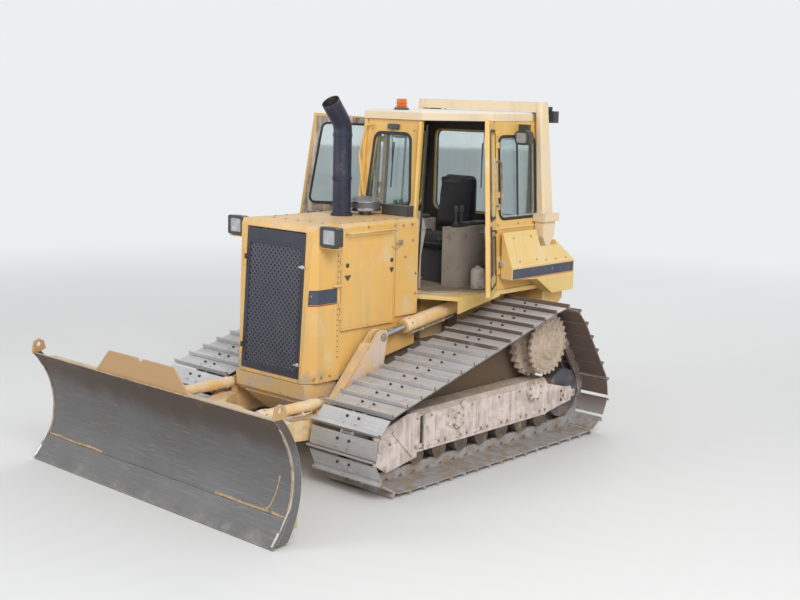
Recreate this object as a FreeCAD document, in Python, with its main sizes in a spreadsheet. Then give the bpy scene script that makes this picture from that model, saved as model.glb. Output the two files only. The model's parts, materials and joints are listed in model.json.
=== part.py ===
import FreeCAD, Part
import math
import os
import Sketcher

# A low-ground-pressure crawler dozer with raised drive sprockets, an enclosed cab and a
# six-way blade on a C-frame. +X is forward, +Y the machine's left, +Z up, z = 0 the ground.

DIMENSIONS = (
    # word, millimetres unless the word says degrees or count
    # tracks
    ("track_gauge", 2000),
    ("track_middle", -450),
    ("idler_span", 2600),
    ("idler_radius", 233),
    ("shoe_width", 740),
    ("shoe_plate", 10),
    ("grouser_height", 34),
    ("grouser_width", 12),
    ("link_above_pin", 40),
    ("link_below_pin", 40),
    ("link_width", 26),
    ("chain_width", 150),
    ("link_pitch", 172),
    ("bush_radius", 24),
    ("sprocket_setback", 880),
    ("sprocket_height", 918),
    ("sprocket_teeth_count", 23),
    ("sprocket_width", 60),
    ("final_drive_radius", 255),
    ("hub_reach", 180),
    ("roller_count", 7),
    ("roller_radius", 88),
    ("track_frame_width", 250),
    ("track_frame_top", 580),
    ("track_frame_bottom", 232),
    ("track_frame_wall", 16),
    ("running_gap", 0.3),
    # main frame and drive line
    ("frame_half_width", 360),
    ("frame_rear", -1700),
    ("frame_front", 1010),
    ("frame_bottom", 400),
    ("frame_top", 960),
    ("pivot_shaft_radius", 70),
    ("pivot_shaft_setback", 1150),
    # hood
    ("hood_half_width", 470),
    ("hood_height", 2090),
    ("hood_sheet", 10),
    ("guard_front", 1060),
    ("guard_lean", 80),
    ("guard_rear", 690),
    ("hood_rear", -280),
    ("guard_bottom", 785),
    ("guard_bevel", 85),
    ("grille_half_width", 362),
    ("grille_top", 2035),
    ("grille_bottom", 815),
    ("engine_door_rear", 20),
    ("engine_door_bottom", 1192),
    ("engine_door_top", 2000),
    ("engine_door_sheet", 14),
    ("panel_bottom", 1250),
    ("door_gap", 6),
    ("stack_x", 120),
    ("stack_y", -97),
    ("stack_radius", 82),
    ("stack_wall", 6),
    ("stack_bend_height", 2840),
    ("stack_bend_radius", 150),
    ("stack_bend_degrees", 38),
    ("stack_mouth_length", 200),
    ("cleaner_x", -130),
    ("cleaner_y", -50),
    ("cleaner_radius", 140),
    # cab
    ("cab_floor", 1400),
    ("cab_eave", 2940),
    ("roof_rise", 80),
    ("cab_wall", 40),
    ("cab_side", 773),
    ("cab_side_top", 682),
    ("cab_hinge_x", -1030),
    ("cab_rear", -1740),
    ("post_x", -312),
    ("post_top_x", -440),
    ("post_y", 386),
    ("post_top_y", 364),
    ("glass_thickness", 6),
    ("door_thickness", 38),
    ("door_clearance", 8),
    ("door_axis_out", 22),
    ("door_open_degrees", 62),
    ("rops_x", -1720),
    ("rops_top_x", -1690),
    ("rops_foot_height", 2050),
    ("rops_beam_rise", 98),
    ("rops_beam_height", 88),
    ("rops_long", 160),
    ("rops_wide", 110),
    ("rops_taper", 30),
    ("fender_side", 915),
    ("fender_front", -1075),
    ("fender_rear", -2070),
    ("fender_bottom", 1500),
    ("fender_low", 1325),
    ("fender_break", 1617),
    ("fender_top", 1932),
    # blade and its frame
    ("lift_pivot_x", -420),
    ("lift_pivot_z", 450),
    ("arm_y", 540),
    ("arm_width", 106),
    ("arm_top", 540),
    ("arm_bottom", 365),
    ("pivot_pin_radius", 40),
    ("pin_clearance", 0.05),
    ("nose_x", 1720),
    ("nose_pin_radius", 45),
    ("tower_pin_x", 280),
    ("tower_pin_z", 1110),
    ("lift_anchor_x", -850),
    ("lift_anchor_z", 1280),
    ("lift_barrel_length", 830),
    ("lift_barrel_radius", 62),
    ("lift_rod_radius", 34),
    ("lift_stroke", 250),
    ("small_pin_radius", 25),
    ("yoke_bar_x", 1960),
    ("yoke_reach", 520),
    ("angle_anchor_x", 950),
    ("angle_pin_z", 640),
    ("angle_barrel_length", 700),
    ("angle_barrel_radius", 46),
    ("angle_rod_radius", 25),
    ("angle_stroke", 235),
    ("blade_front", 2380),
    ("blade_width", 3060),
    ("blade_height", 940),
    ("blade_radius", 660),
    ("blade_skin", 14),
    ("edge_height", 200),
    ("edge_thickness", 20),
    ("tilt_pin_z", 430),
    ("tilt_pin_radius", 50),
    ("tilt_ram_x", 2056),
    ("tilt_ram_z", 700),
    ("tilt_ram_reach", 420),
    ("tilt_barrel_length", 560),
    ("tilt_barrel_radius", 40),
    ("tilt_rod_radius", 22),
    ("open_pivot_play", 4),
    # rear
    ("drawbar_rear", -2382),
    ("drawbar_height", 520),
    ("drawbar_pin_radius", 20),
)

document = FreeCAD.newDocument("crawler_dozer")
sheet = document.addObject("Spreadsheet::Sheet", "sizes")


class Size:
    """A number together with the expression that ties it to the sheet."""

    def __init__(self, number, text):
        self.number = number
        self.text = text

    @staticmethod
    def of(value):
        if isinstance(value, Size):
            return value
        return Size(float(value), f"({float(value)})")

    def join(self, other, sign, number):
        return Size(number, f"({self.text} {sign} {other.text})")

    def __add__(self, other):
        other = Size.of(other)
        return self.join(other, "+", self.number + other.number)

    def __radd__(self, other):
        return Size.of(other) + self

    def __sub__(self, other):
        other = Size.of(other)
        return self.join(other, "-", self.number - other.number)

    def __rsub__(self, other):
        return Size.of(other) - self

    def __mul__(self, other):
        other = Size.of(other)
        return self.join(other, "*", self.number * other.number)

    def __rmul__(self, other):
        return Size.of(other) * self

    def __truediv__(self, other):
        other = Size.of(other)
        return self.join(other, "/", self.number / other.number)

    def __neg__(self):
        return Size(-self.number, f"(-{self.text})")

    def root(self):
        return Size(math.sqrt(self.number), f"sqrt({self.text})")


class Sizes:
    """The sheet's sizes, each under its own word."""


def fill_sheet():
    """Write every driving dimension into the sheet and give it back as a named size."""
    sizes = Sizes()
    for row, (word, number) in enumerate(DIMENSIONS, start=1):
        sheet.set(f"A{row}", word)
        sheet.set(f"B{row}", str(number))
        sheet.setAlias(f"B{row}", word)
        setattr(sizes, word, Size(float(number), f"<<sizes>>.{word}"))
    document.recompute()
    return sizes


d = fill_sheet()
nodes = []


def bind(thing, path, value):
    """Tie one property of an object to the sheet."""
    value = Size.of(value)
    thing.setExpression(path, value.text)


def place(thing, x=0, y=0, z=0):
    """Tie an object's position to the sheet."""
    for axis, value in (("x", x), ("y", y), ("z", z)):
        bind(thing, f"Placement.Base.{axis}", value)
    return thing


def turn(thing, axis, degrees):
    """Turn an object about one axis through its own origin."""
    base = thing.Placement.Base
    thing.Placement = FreeCAD.Placement(base, FreeCAD.Rotation(FreeCAD.Vector(*axis), degrees))
    return thing


# Sketches and bodies

def new_body(name):
    return document.addObject("PartDesign::Body", name)


def new_sketch(body, role, level=None):
    """A sketch on one of the body's own planes, lifted along the plane's normal by level."""
    plane = [feature for feature in body.Origin.OriginFeatures if feature.Role == role][0]
    sketch = body.newObject("Sketcher::SketchObject", f"{body.Name}_sketch")
    sketch.AttachmentSupport = [(plane, "")]
    sketch.MapMode = "FlatFace"
    if level is not None:
        bind(sketch, "AttachmentOffset.Base.z", level)
    return sketch


def fix_point(sketch, geometry, end, x, y):
    """Hold one end of a sketch line, arc or circle at a place tied to the sheet."""
    for kind, value in (("DistanceX", x), ("DistanceY", y)):
        value = Size.of(value)
        index = sketch.addConstraint(Sketcher.Constraint(kind, -1, 1, geometry, end, value.number))
        sketch.setExpression(f"Constraints[{index}]", value.text)


def arc_between(start, finish, radius):
    """The short arc from start to finish; a positive radius has its centre on the left."""
    chord = finish - start
    height = math.sqrt(radius * radius - chord.Length * chord.Length / 4)
    left = FreeCAD.Vector(-chord.y, chord.x, 0).normalize()
    centre = (start + finish) * 0.5 + left * math.copysign(height, radius)
    first, last = (start, finish) if radius > 0 else (finish, start)
    angles = [math.atan2(point.y - centre.y, point.x - centre.x) for point in (first, last)]
    if angles[1] < angles[0]:
        angles[1] += 2 * math.pi
    circle = Part.Circle(centre, FreeCAD.Vector(0, 0, 1), abs(radius))
    return Part.ArcOfCircle(circle, angles[0], angles[1])


def draw_outline(sketch, corners):
    """A closed outline. A corner is (x, y), or (x, y, radius) when an arc leaves it."""
    corners = [(Size.of(corner[0]), Size.of(corner[1])) + tuple(corner[2:]) for corner in corners]
    spots = [FreeCAD.Vector(corner[0].number, corner[1].number, 0) for corner in corners]
    first = sketch.GeometryCount
    starts = []
    for index, corner in enumerate(corners):
        after = spots[(index + 1) % len(corners)]
        if len(corner) == 3:
            radius = Size.of(corner[2])
            number = sketch.addGeometry(arc_between(spots[index], after, radius.number), False)
            starts.append((number, 1 if radius.number > 0 else 2))
            index = sketch.addConstraint(Sketcher.Constraint("Radius", number, abs(radius.number)))
            text = radius.text if radius.number > 0 else (-radius).text
            sketch.setExpression(f"Constraints[{index}]", text)
        else:
            number = sketch.addGeometry(Part.LineSegment(spots[index], after), False)
            starts.append((number, 1))
    for index, (number, start) in enumerate(starts):
        following, next_start = starts[(index + 1) % len(starts)]
        finish = 2 if start == 1 else 1
        sketch.addConstraint(Sketcher.Constraint("Coincident", number, finish, following, next_start))
        fix_point(sketch, number, start, corners[index][0], corners[index][1])
    return first


def draw_circle(sketch, x, y, radius):
    x, y, radius = Size.of(x), Size.of(y), Size.of(radius)
    circle = Part.Circle(FreeCAD.Vector(x.number, y.number, 0), FreeCAD.Vector(0, 0, 1), radius.number)
    number = sketch.addGeometry(circle, False)
    fix_point(sketch, number, 3, x, y)
    index = sketch.addConstraint(Sketcher.Constraint("Radius", number, radius.number))
    sketch.setExpression(f"Constraints[{index}]", radius.text)


def rounded(low_x, low_y, high_x, high_y, radius):
    """The corners of a rectangle with rounded corners, counter-clockwise."""
    return [
        (low_x + radius, low_y), (high_x - radius, low_y, radius),
        (high_x, low_y + radius), (high_x, high_y - radius, radius),
        (high_x - radius, high_y), (low_x + radius, high_y, radius),
        (low_x, high_y - radius), (low_x, low_y + radius, radius),
    ]


def bevelled(low_x, low_y, high_x, high_y, bevel):
    """The corners of a rectangle with bevelled corners, counter-clockwise."""
    return [
        (low_x + bevel, low_y), (high_x - bevel, low_y), (high_x, low_y + bevel), (high_x, high_y - bevel),
        (high_x - bevel, high_y), (low_x + bevel, high_y), (low_x, high_y - bevel), (low_x, low_y + bevel),
    ]


def pad(body, sketch, length, both_ways=True, backwards=False):
    feature = body.newObject("PartDesign::Pad", f"{body.Name}_pad")
    feature.Profile = sketch
    feature.SideType = "Symmetric" if both_ways else "One side"
    feature.Reversed = backwards
    bind(feature, "Length", length)
    return feature


def pocket(body, sketch, length=None, backwards=False):
    """Cut a sketch out of a body: right through both ways, or to one depth."""
    feature = body.newObject("PartDesign::Pocket", f"{body.Name}_pocket")
    feature.Profile = sketch
    if length is None:
        feature.Type = "ThroughAll"
        feature.Midplane = True
    else:
        feature.Reversed = backwards
        bind(feature, "Length", length)
    return feature


NORMALS = {"XY_Plane": "z", "XZ_Plane": "y", "YZ_Plane": "x"}


def plate(name, role, corners, thickness, level=0, windows=(), holes=()):
    """An outline of one thickness, centred on a level of its plane's normal.

    windows are further outlines and holes are (x, y, radius), all cut right through.
    """
    body = new_body(name)
    sketch = new_sketch(body, role)
    draw_outline(sketch, corners)
    pad(body, sketch, thickness)
    if windows or holes:
        cut = new_sketch(body, role)
        for window in windows:
            draw_outline(cut, window)
        for hole in holes:
            draw_circle(cut, *hole)
        pocket(body, cut)
    if level is not None:
        bind(body, f"Placement.Base.{NORMALS[role]}", level)
    return body


def block(name, low, high):
    """A box between two corners."""
    box = document.addObject("Part::Box", name)
    for size, lower, upper in zip(("Length", "Width", "Height"), low, high):
        bind(box, size, Size.of(upper) - lower)
    return place(box, *low)


AXES = {"x": ((0, 1, 0), 90), "y": ((1, 0, 0), -90), "z": ((0, 0, 1), 0)}


def rod(name, axis, radius, length, x, y, z, bore=None):
    """A round bar along an axis, from its start at x, y, z; bore makes it a tube."""
    outer = document.addObject("Part::Cylinder", name)
    bind(outer, "Radius", radius)
    bind(outer, "Height", length)
    turn(outer, *AXES[axis])
    place(outer, x, y, z)
    if bore is None:
        return outer
    inner = document.addObject("Part::Cylinder", f"{name}_bore")
    bind(inner, "Radius", bore)
    bind(inner, "Height", length)
    turn(inner, *AXES[axis])
    place(inner, x, y, z)
    return less(f"{name}_tube", outer, inner)


def lathe(name, axis, corners, x, y, z):
    """A turned piece: corners are (radius, distance along the axis)."""
    body = new_body(name)
    sketch = new_sketch(body, "XZ_Plane")
    draw_outline(sketch, corners)
    feature = body.newObject("PartDesign::Revolution", f"{name}_turned")
    feature.Profile = sketch
    feature.ReferenceAxis = (sketch, ["V_Axis"])
    feature.Angle = 360
    turn(body, *AXES[axis])
    return place(body, x, y, z)


def bevel_edges(body, size, wanted):
    """Bevel the edges of a body that wanted(edge) picks."""
    document.recompute()
    names = [f"Edge{number}" for number, edge in enumerate(body.Tip.Shape.Edges, start=1) if wanted(edge)]
    feature = body.newObject("PartDesign::Chamfer", f"{body.Name}_bevel")
    feature.Base = (feature.BaseFeature or body.Tip, names)
    bind(feature, "Size", size)
    return feature


def less(name, base, *tools):
    """The base with each tool cut away."""
    for number, tool in enumerate(tools, start=1):
        cut = document.addObject("Part::Cut", f"{name}_{number}")
        cut.Base = base
        cut.Tool = tool
        base = cut
    return base


def joined(name, *pieces):
    fusion = document.addObject("Part::MultiFuse", name)
    fusion.Shapes = list(pieces)
    return fusion


def shared(name, first, second):
    common = document.addObject("Part::Common", name)
    common.Base = first
    common.Tool = second
    return common


def group(name, *pieces):
    """Like pieces that stand apart, kept as one sub-part."""
    compound = document.addObject("Part::Compound", name)
    compound.Links = list(pieces)
    return compound


def keep(label, piece):
    """Take a finished piece as the sub-part of that name."""
    piece.Label = label
    nodes.append(piece)
    return piece


SIDES = (("left", 1), ("right", -1))


# Tracks

def sprocket_pin_radius(pitch):
    """The radius of the pins round the sprocket, with two teeth to each link."""
    return pitch / 2 / math.sin(2 * math.pi / d.sprocket_teeth_count.number)


def idler_pin_radius(pitch):
    """The radius of the pins round an idler whose rim touches the middle of each link."""
    return math.hypot(d.idler_radius.number + d.link_below_pin.number, pitch / 2)


def idler_height():
    """The height of an idler's axle: shoe, link and wheel stand on the ground."""
    half_pitch = d.link_pitch / 2
    rim = d.idler_radius + d.link_below_pin
    return d.grouser_height + d.shoe_plate + d.link_above_pin + (rim * rim + half_pitch * half_pitch).root()


class TrackLine:
    """The closed line of pins round the rear idler, the front idler and the sprocket."""

    def __init__(self):
        low, high = d.link_pitch.number * 0.97, d.link_pitch.number * 1.03
        self.lay_out(d.link_pitch.number)
        count = round(self.length / d.link_pitch.number)
        for _ in range(30):
            pitch = (low + high) / 2
            self.lay_out(pitch)
            pins = self.march(pitch, count)
            if pins is None:
                high = pitch
            else:
                low = pitch
        self.pitch = low
        self.lay_out(low)
        self.pins = self.march(low, count)

    def lay_out(self, pitch):
        """The arcs and straights of the line for one pitch of the links."""
        middle = d.track_middle.number
        half = d.idler_span.number / 2
        height = idler_height().number
        idler = idler_pin_radius(pitch)
        wheels = (
            (middle - half, height, idler),
            (middle + half, height, idler),
            (middle - d.sprocket_setback.number, d.sprocket_height.number, sprocket_pin_radius(pitch)),
        )
        touches = []
        for number, (x, z, radius) in enumerate(wheels):
            far_x, far_z, far_radius = wheels[(number + 1) % 3]
            gap = math.hypot(far_x - x, far_z - z)
            heading = math.atan2(far_z - z, far_x - x)
            normal = heading - math.acos((radius - far_radius) / gap)
            touches.append((normal, math.sqrt(gap * gap - (radius - far_radius) ** 2)))
        self.pieces = []
        for number, (x, z, radius) in enumerate(wheels):
            before = touches[number - 1][0]
            after, length = touches[number]
            sweep = (after - before) % (2 * math.pi)
            self.pieces.append(("round", (x, z, radius, before), radius * sweep))
            self.pieces.append(("straight", (x, z, radius, after), length))
        self.length = sum(piece[2] for piece in self.pieces)
        x, z, radius, before = self.pieces[4][1]
        self.crest = sum(piece[2] for piece in self.pieces[:4])
        self.crest += radius * ((math.pi / 2 - before) % (2 * math.pi))

    def point(self, distance):
        """The point that far along the line from its crest."""
        distance = (self.crest + distance) % self.length
        for kind, values, length in self.pieces:
            if distance <= length:
                break
            distance -= length
        x, z, radius, angle = values
        if kind == "round":
            angle += distance / radius
            return FreeCAD.Vector(x + radius * math.cos(angle), 0, z + radius * math.sin(angle))
        return FreeCAD.Vector(
            x + radius * math.cos(angle) - distance * math.sin(angle), 0,
            z + radius * math.sin(angle) + distance * math.cos(angle))

    def march(self, pitch, count):
        """Lay that many equal links from the crest, or None where they overrun the line."""
        pins = [self.point(0)]
        distance = 0
        for _ in range(count):
            near, far = distance + pitch * 0.99, distance + pitch * 1.2
            for _ in range(30):
                guess = (near + far) / 2
                if (self.point(guess) - pins[-1]).Length < pitch:
                    near = guess
                else:
                    far = guess
            distance = near
            if distance > self.length + 0.01:
                return None
            pins.append(self.point(distance))
        return pins[:count]


def slab(points, width, middle):
    """A flat outline of x, z points, width across and centred on y = middle."""
    points = [FreeCAD.Vector(point.x, middle - width / 2, point.z) for point in points]
    face = Part.Face(Part.makePolygon(points + points[:1]))
    return face.extrude(FreeCAD.Vector(0, width, 0))


def along_link(pin, following, profile):
    """The points of a profile of (run along the link, rise above its pins)."""
    along = (following - pin).normalize()
    out = FreeCAD.Vector(along.z, 0, -along.x)
    return [pin + along * run + out * rise for run, rise in profile]


def build_track(side, sign):
    """One closed track: its chain of links and bushes with the shoes bolted on."""
    line = TrackLine()
    middle = sign * d.track_gauge.number / 2
    seat = d.link_above_pin.number
    face = seat + d.shoe_plate.number
    tip = face + d.grouser_height.number
    lip = d.grouser_width.number
    drop = d.link_below_pin.number
    end = drop * 0.7
    length = line.pitch
    shoe = ((2, seat), (length - 2, seat), (length - 2, face), (lip * 2, face), (lip * 1.5, tip), (2, tip))
    link = (
        (-end, -drop * 0.6), (0, -drop), (length - end + 4, -drop), (length - end + 4, 4),
        (length * 0.8, seat), (length * 0.2, seat), (-end, drop * 0.3),
    )
    link_y = d.chain_width.number / 2 - d.link_width.number / 2
    bush_length = d.chain_width.number - d.link_width.number
    pieces = []
    for number, pin in enumerate(line.pins):
        following = line.pins[(number + 1) % len(line.pins)]
        pieces.append(slab(along_link(pin, following, shoe), d.shoe_width.number, middle))
        for edge in (-link_y, link_y):
            pieces.append(slab(along_link(pin, following, link), d.link_width.number, middle + edge))
        corners = [(d.bush_radius.number * math.cos(math.radians(angle)),
                    d.bush_radius.number * math.sin(math.radians(angle))) for angle in range(0, 360, 60)]
        pieces.append(slab(along_link(pin, following, corners), bush_length, middle))
    track = document.addObject("Part::Feature", f"track_{side}")
    track.Shape = pieces[0].multiFuse(pieces[1:]).removeSplitter()
    keep(f"track_{side}", track)


def sprocket_outline():
    """The toothed rim, one tooth for each half pitch, as x, z points about its centre."""
    teeth = round(d.sprocket_teeth_count.number)
    pitch_radius = sprocket_pin_radius(TrackLine().pitch)
    root = pitch_radius - d.bush_radius.number - 3
    tip = pitch_radius + d.link_below_pin.number * 0.15
    points = []
    for number in range(teeth):
        valley = math.pi / 2 + 2 * math.pi * number / teeth
        for radius, share in ((root, -0.17), (root, 0.17), (tip, 0.42), (tip, 0.58)):
            angle = valley + 2 * math.pi * share / teeth
            points.append(FreeCAD.Vector(radius * math.cos(angle), 0, radius * math.sin(angle)))
    return points


def build_drive():
    """The sprockets, and the final drives that carry them on the main frame."""
    sprockets = []
    drives = []
    x = d.track_middle - d.sprocket_setback
    for side, sign in SIDES:
        middle = d.track_gauge / 2 * sign
        rim = document.addObject("Part::Feature", f"sprocket_rim_{side}")
        rim.Shape = slab(sprocket_outline(), d.sprocket_width.number, 0)
        place(rim, x, middle, d.sprocket_height)
        hub_length = d.sprocket_width / 2 + d.hub_reach
        hub = lathe(f"hub_{side}", "y", (
            (0, 0), (205, 0), (205, d.sprocket_width * 0.5 + 24), (150, d.sprocket_width * 0.5 + 50),
            (128, hub_length), (0, hub_length),
        ), x, middle, d.sprocket_height)
        if sign < 0:
            turn(hub, (1, 0, 0), 90)
        sprockets.append(joined(f"sprocket_{side}", rim, hub))
        inner = d.frame_half_width
        reach = d.track_gauge / 2 - d.sprocket_width / 2 - inner
        case = lathe(f"drive_case_{side}", "y", (
            (0, 0), (d.final_drive_radius * 0.86, 0), (d.final_drive_radius * 0.86, reach * 0.5),
            (d.final_drive_radius, reach * 0.5), (d.final_drive_radius, reach), (0, reach),
        ), x, inner * sign, d.sprocket_height)
        if sign < 0:
            turn(case, (1, 0, 0), 90)
        drives.append(case)
    keep("sprockets", group("sprockets", *sprockets))
    keep("final_drives", group("final_drives", *drives))


def build_track_frames():
    """The boxed frame inside each track, the wheels in it and the shaft it swings on."""
    half = d.idler_span / 2
    front = d.track_middle + half
    rear = d.track_middle - half
    wheel_height = idler_height()
    rail = d.grouser_height + d.shoe_plate + d.link_above_pin + d.link_below_pin
    roller_z = rail + d.roller_radius + d.running_gap
    beam_front = front - 370
    beam_rear = rear + 340
    count = round(d.roller_count.number)
    rollers = []
    idlers = []
    for side, sign in SIDES:
        middle = d.track_gauge / 2 * sign
        outer = d.track_frame_width / 2
        inner = outer - d.track_frame_wall
        bevel = 40
        beam = new_body(f"beam_{side}")
        sketch = new_sketch(beam, "YZ_Plane")
        draw_outline(sketch, (
            (-outer, d.track_frame_bottom), (-inner, d.track_frame_bottom),
            (-inner, d.track_frame_top - d.track_frame_wall - bevel),
            (-inner + bevel, d.track_frame_top - d.track_frame_wall),
            (inner - bevel, d.track_frame_top - d.track_frame_wall),
            (inner, d.track_frame_top - d.track_frame_wall - bevel),
            (inner, d.track_frame_bottom), (outer, d.track_frame_bottom),
            (outer, d.track_frame_top - bevel), (outer - bevel, d.track_frame_top),
            (-outer + bevel, d.track_frame_top), (-outer, d.track_frame_top - bevel),
        ))
        pad(beam, sketch, beam_front - beam_rear, both_ways=False)
        place(beam, beam_rear, middle, 0)
        parts = [beam]
        for number, edge in enumerate((-outer + d.track_frame_wall / 2, outer - d.track_frame_wall / 2)):
            parts.append(plate(f"front_fork_{side}_{number}", "XZ_Plane", (
                (beam_front - 60, d.track_frame_bottom - 40), (front - 60, 130),
                (front + 105, wheel_height - 130), (front + 95, wheel_height + 90),
                (beam_front + 60, d.track_frame_top), (beam_front - 60, d.track_frame_top),
            ), d.track_frame_wall, middle + edge))
            parts.append(plate(f"rear_fork_{side}_{number}", "XZ_Plane", (
                (rear - 60, wheel_height - 70), (beam_rear + 60, d.track_frame_bottom),
                (beam_rear + 60, d.track_frame_top - bevel), (rear + 40, wheel_height + 75),
                (rear - 60, wheel_height + 65),
            ), d.track_frame_wall, middle + edge))
        for name, x in (("front", front), ("rear", rear)):
            parts.append(rod(f"{name}_axle_{side}", "y", 36, d.track_frame_width, x, middle - outer, wheel_height))
            hub_half = inner - 14
            idlers.append(lathe(f"{name}_idler_{side}", "y", (
                (36 + d.pin_clearance, -hub_half), (84, -hub_half), (84, -62),
                (d.idler_radius - d.running_gap, -62), (d.idler_radius - d.running_gap, 62), (84, 62),
                (84, hub_half), (36 + d.pin_clearance, hub_half),
            ), x, middle, wheel_height))
        pitch = (beam_front - beam_rear - 160) / (count - 1)
        for number in range(count):
            x = beam_rear + 80 + pitch * number
            half_width = inner - d.running_gap
            rollers.append(rod(f"roller_{side}_{number}", "y", d.roller_radius, half_width * 2, x,
                               middle - half_width, roller_z))
        caps = (
            # x, z, radius, reach beyond the frame
            (d.track_middle - 720, 500, 92, 44), (d.track_middle + 360, 420, 70, 26),
        )
        for number, (x, z, radius, reach) in enumerate(caps):
            start = middle + (outer if sign > 0 else -outer - reach)
            parts.append(rod(f"cap_{side}_{number}", "y", radius, reach, x, start, z))
        keep(f"track_frame_{side}", joined(f"track_frame_{side}", *parts))
    keep("track_rollers", group("track_rollers", *rollers))
    keep("idlers", group("idlers", *idlers))


# Main frame, hood and engine

def build_main_frame():
    """The box between the tracks, with the pins and shaft that carry the rest."""
    width = d.frame_half_width * 2
    hull = plate("hull", "XZ_Plane", (
        (d.frame_rear, d.frame_bottom + 170), (d.frame_rear + 170, d.frame_bottom),
        (d.frame_front - 250, d.frame_bottom), (d.frame_front, d.frame_bottom + 200),
        (d.frame_front, d.guard_bottom - d.door_gap), (d.guard_rear, d.guard_bottom - d.door_gap),
        (d.guard_rear, d.frame_top), (d.frame_rear, d.frame_top),
    ), width)
    pan = plate("front_pan", "XZ_Plane", (
        (d.guard_rear, d.frame_bottom + 210), (d.frame_front, d.frame_bottom + 210),
        (d.guard_front - 15, d.frame_bottom + 250), (d.guard_front, d.guard_bottom - d.door_gap),
        (d.guard_rear, d.guard_bottom - d.door_gap),
    ), (d.hood_half_width - 40) * 2)
    parts = [hull, pan]
    for side, sign in SIDES:
        start = d.frame_half_width * sign
        boss = rod(f"pivot_boss_{side}", "y", 85, d.arm_y - d.arm_width / 2 - 6 - d.frame_half_width,
                   d.lift_pivot_x, start, d.lift_pivot_z)
        pin = rod(f"pivot_pin_{side}", "y", d.pivot_pin_radius, d.arm_y + d.arm_width / 2 + 6 - d.frame_half_width,
                  d.lift_pivot_x, start, d.lift_pivot_z)
        shaft_reach = d.track_gauge / 2 - d.track_frame_width / 2 - d.frame_half_width
        shaft = rod(f"pivot_shaft_{side}", "y", d.pivot_shaft_radius, shaft_reach,
                    d.track_middle - d.pivot_shaft_setback + 430, start, 500)
        anchor = plate(f"lift_anchor_{side}", "XZ_Plane", (
            (d.lift_anchor_x - 70, d.frame_top - 120), (d.lift_anchor_x + 90, d.frame_top - 120),
            (d.lift_anchor_x + 50, d.lift_anchor_z + 20), (d.lift_anchor_x + 20, d.lift_anchor_z + 50),
            (d.lift_anchor_x - 20, d.lift_anchor_z + 50), (d.lift_anchor_x - 60, d.lift_anchor_z + 10),
        ), 60, (d.frame_half_width + 30) * sign)
        lift_pin = rod(f"lift_pin_{side}", "y", d.small_pin_radius, d.arm_y + 45 - d.frame_half_width,
                       d.lift_anchor_x, start, d.lift_anchor_z)
        for piece in (boss, pin, shaft, lift_pin):
            if sign < 0:
                turn(piece, (1, 0, 0), 90)
        parts += [boss, pin, shaft, anchor, lift_pin]
    keep("main_frame", joined("main_frame", *parts))
    engine = block("engine_block", (-290, -290, d.frame_top), (620, 290, 1760))
    keep("engine_block", engine)


def build_radiator_guard():
    """The leaning front shell of the hood, open to the grille and to the rear."""
    side_profile = (
        (d.guard_rear, d.guard_bottom), (d.guard_front, d.guard_bottom),
        (d.guard_front - d.guard_lean, d.hood_height - 45), (d.guard_front - d.guard_lean - 45, d.hood_height),
        (d.guard_rear, d.hood_height),
    )
    def plan(front, half, bevel, rear):
        return (
            (rear, -half), (front - bevel * 1.4, -half), (front, -half + bevel),
            (front, half - bevel), (front - bevel * 1.4, half), (rear, half),
        )
    outside = shared(
        "guard_outside",
        plate("guard_side_profile", "XZ_Plane", side_profile, d.hood_half_width * 2),
        plate("guard_plan", "XY_Plane",
              plan(d.guard_front, d.hood_half_width, d.guard_bevel, d.guard_rear),
              d.hood_height * 2))
    sheet_thickness = d.hood_sheet
    inner_profile = (
        (d.guard_rear - 50, d.guard_bottom + 30), (d.guard_front - sheet_thickness * 4, d.guard_bottom + 30),
        (d.guard_front - d.guard_lean - sheet_thickness * 4, d.hood_height - sheet_thickness - 20),
        (d.guard_rear - 50, d.hood_height - sheet_thickness),
    )
    inside = shared(
        "guard_inside",
        plate("guard_inner_profile", "XZ_Plane", inner_profile, d.hood_half_width * 2),
        plate("guard_inner_plan", "XY_Plane",
              plan(d.guard_front - sheet_thickness, d.hood_half_width - sheet_thickness,
                   d.guard_bevel, d.guard_rear - 60),
              d.hood_height * 2))
    mouth = plate("guard_mouth", "YZ_Plane", (
        (-d.grille_half_width, d.grille_bottom), (d.grille_half_width, d.grille_bottom),
        (d.grille_half_width, d.grille_top), (-d.grille_half_width, d.grille_top),
    ), 400, d.guard_front)
    shell = less("guard_shell", outside, inside, mouth)
    knuckles = grille_hinges("guard", (0, 2))
    for side, sign in SIDES:
        knuckles += engine_door_hinges(f"guard_{side}", sign, (0, 2))
    keep("radiator_guard", joined("radiator_guard", shell, *knuckles))
    core = block("radiator_core", (d.guard_rear + 20, -d.grille_half_width - 40, d.guard_bottom + 30),
                 (d.guard_rear + 130, d.grille_half_width + 40, d.hood_height - d.hood_sheet - 90))
    keep("radiator_core", core)


def guard_slope():
    """How far the guard's face leans back for each millimetre of height."""
    return d.guard_lean / (d.hood_height - d.guard_bottom)


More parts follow.
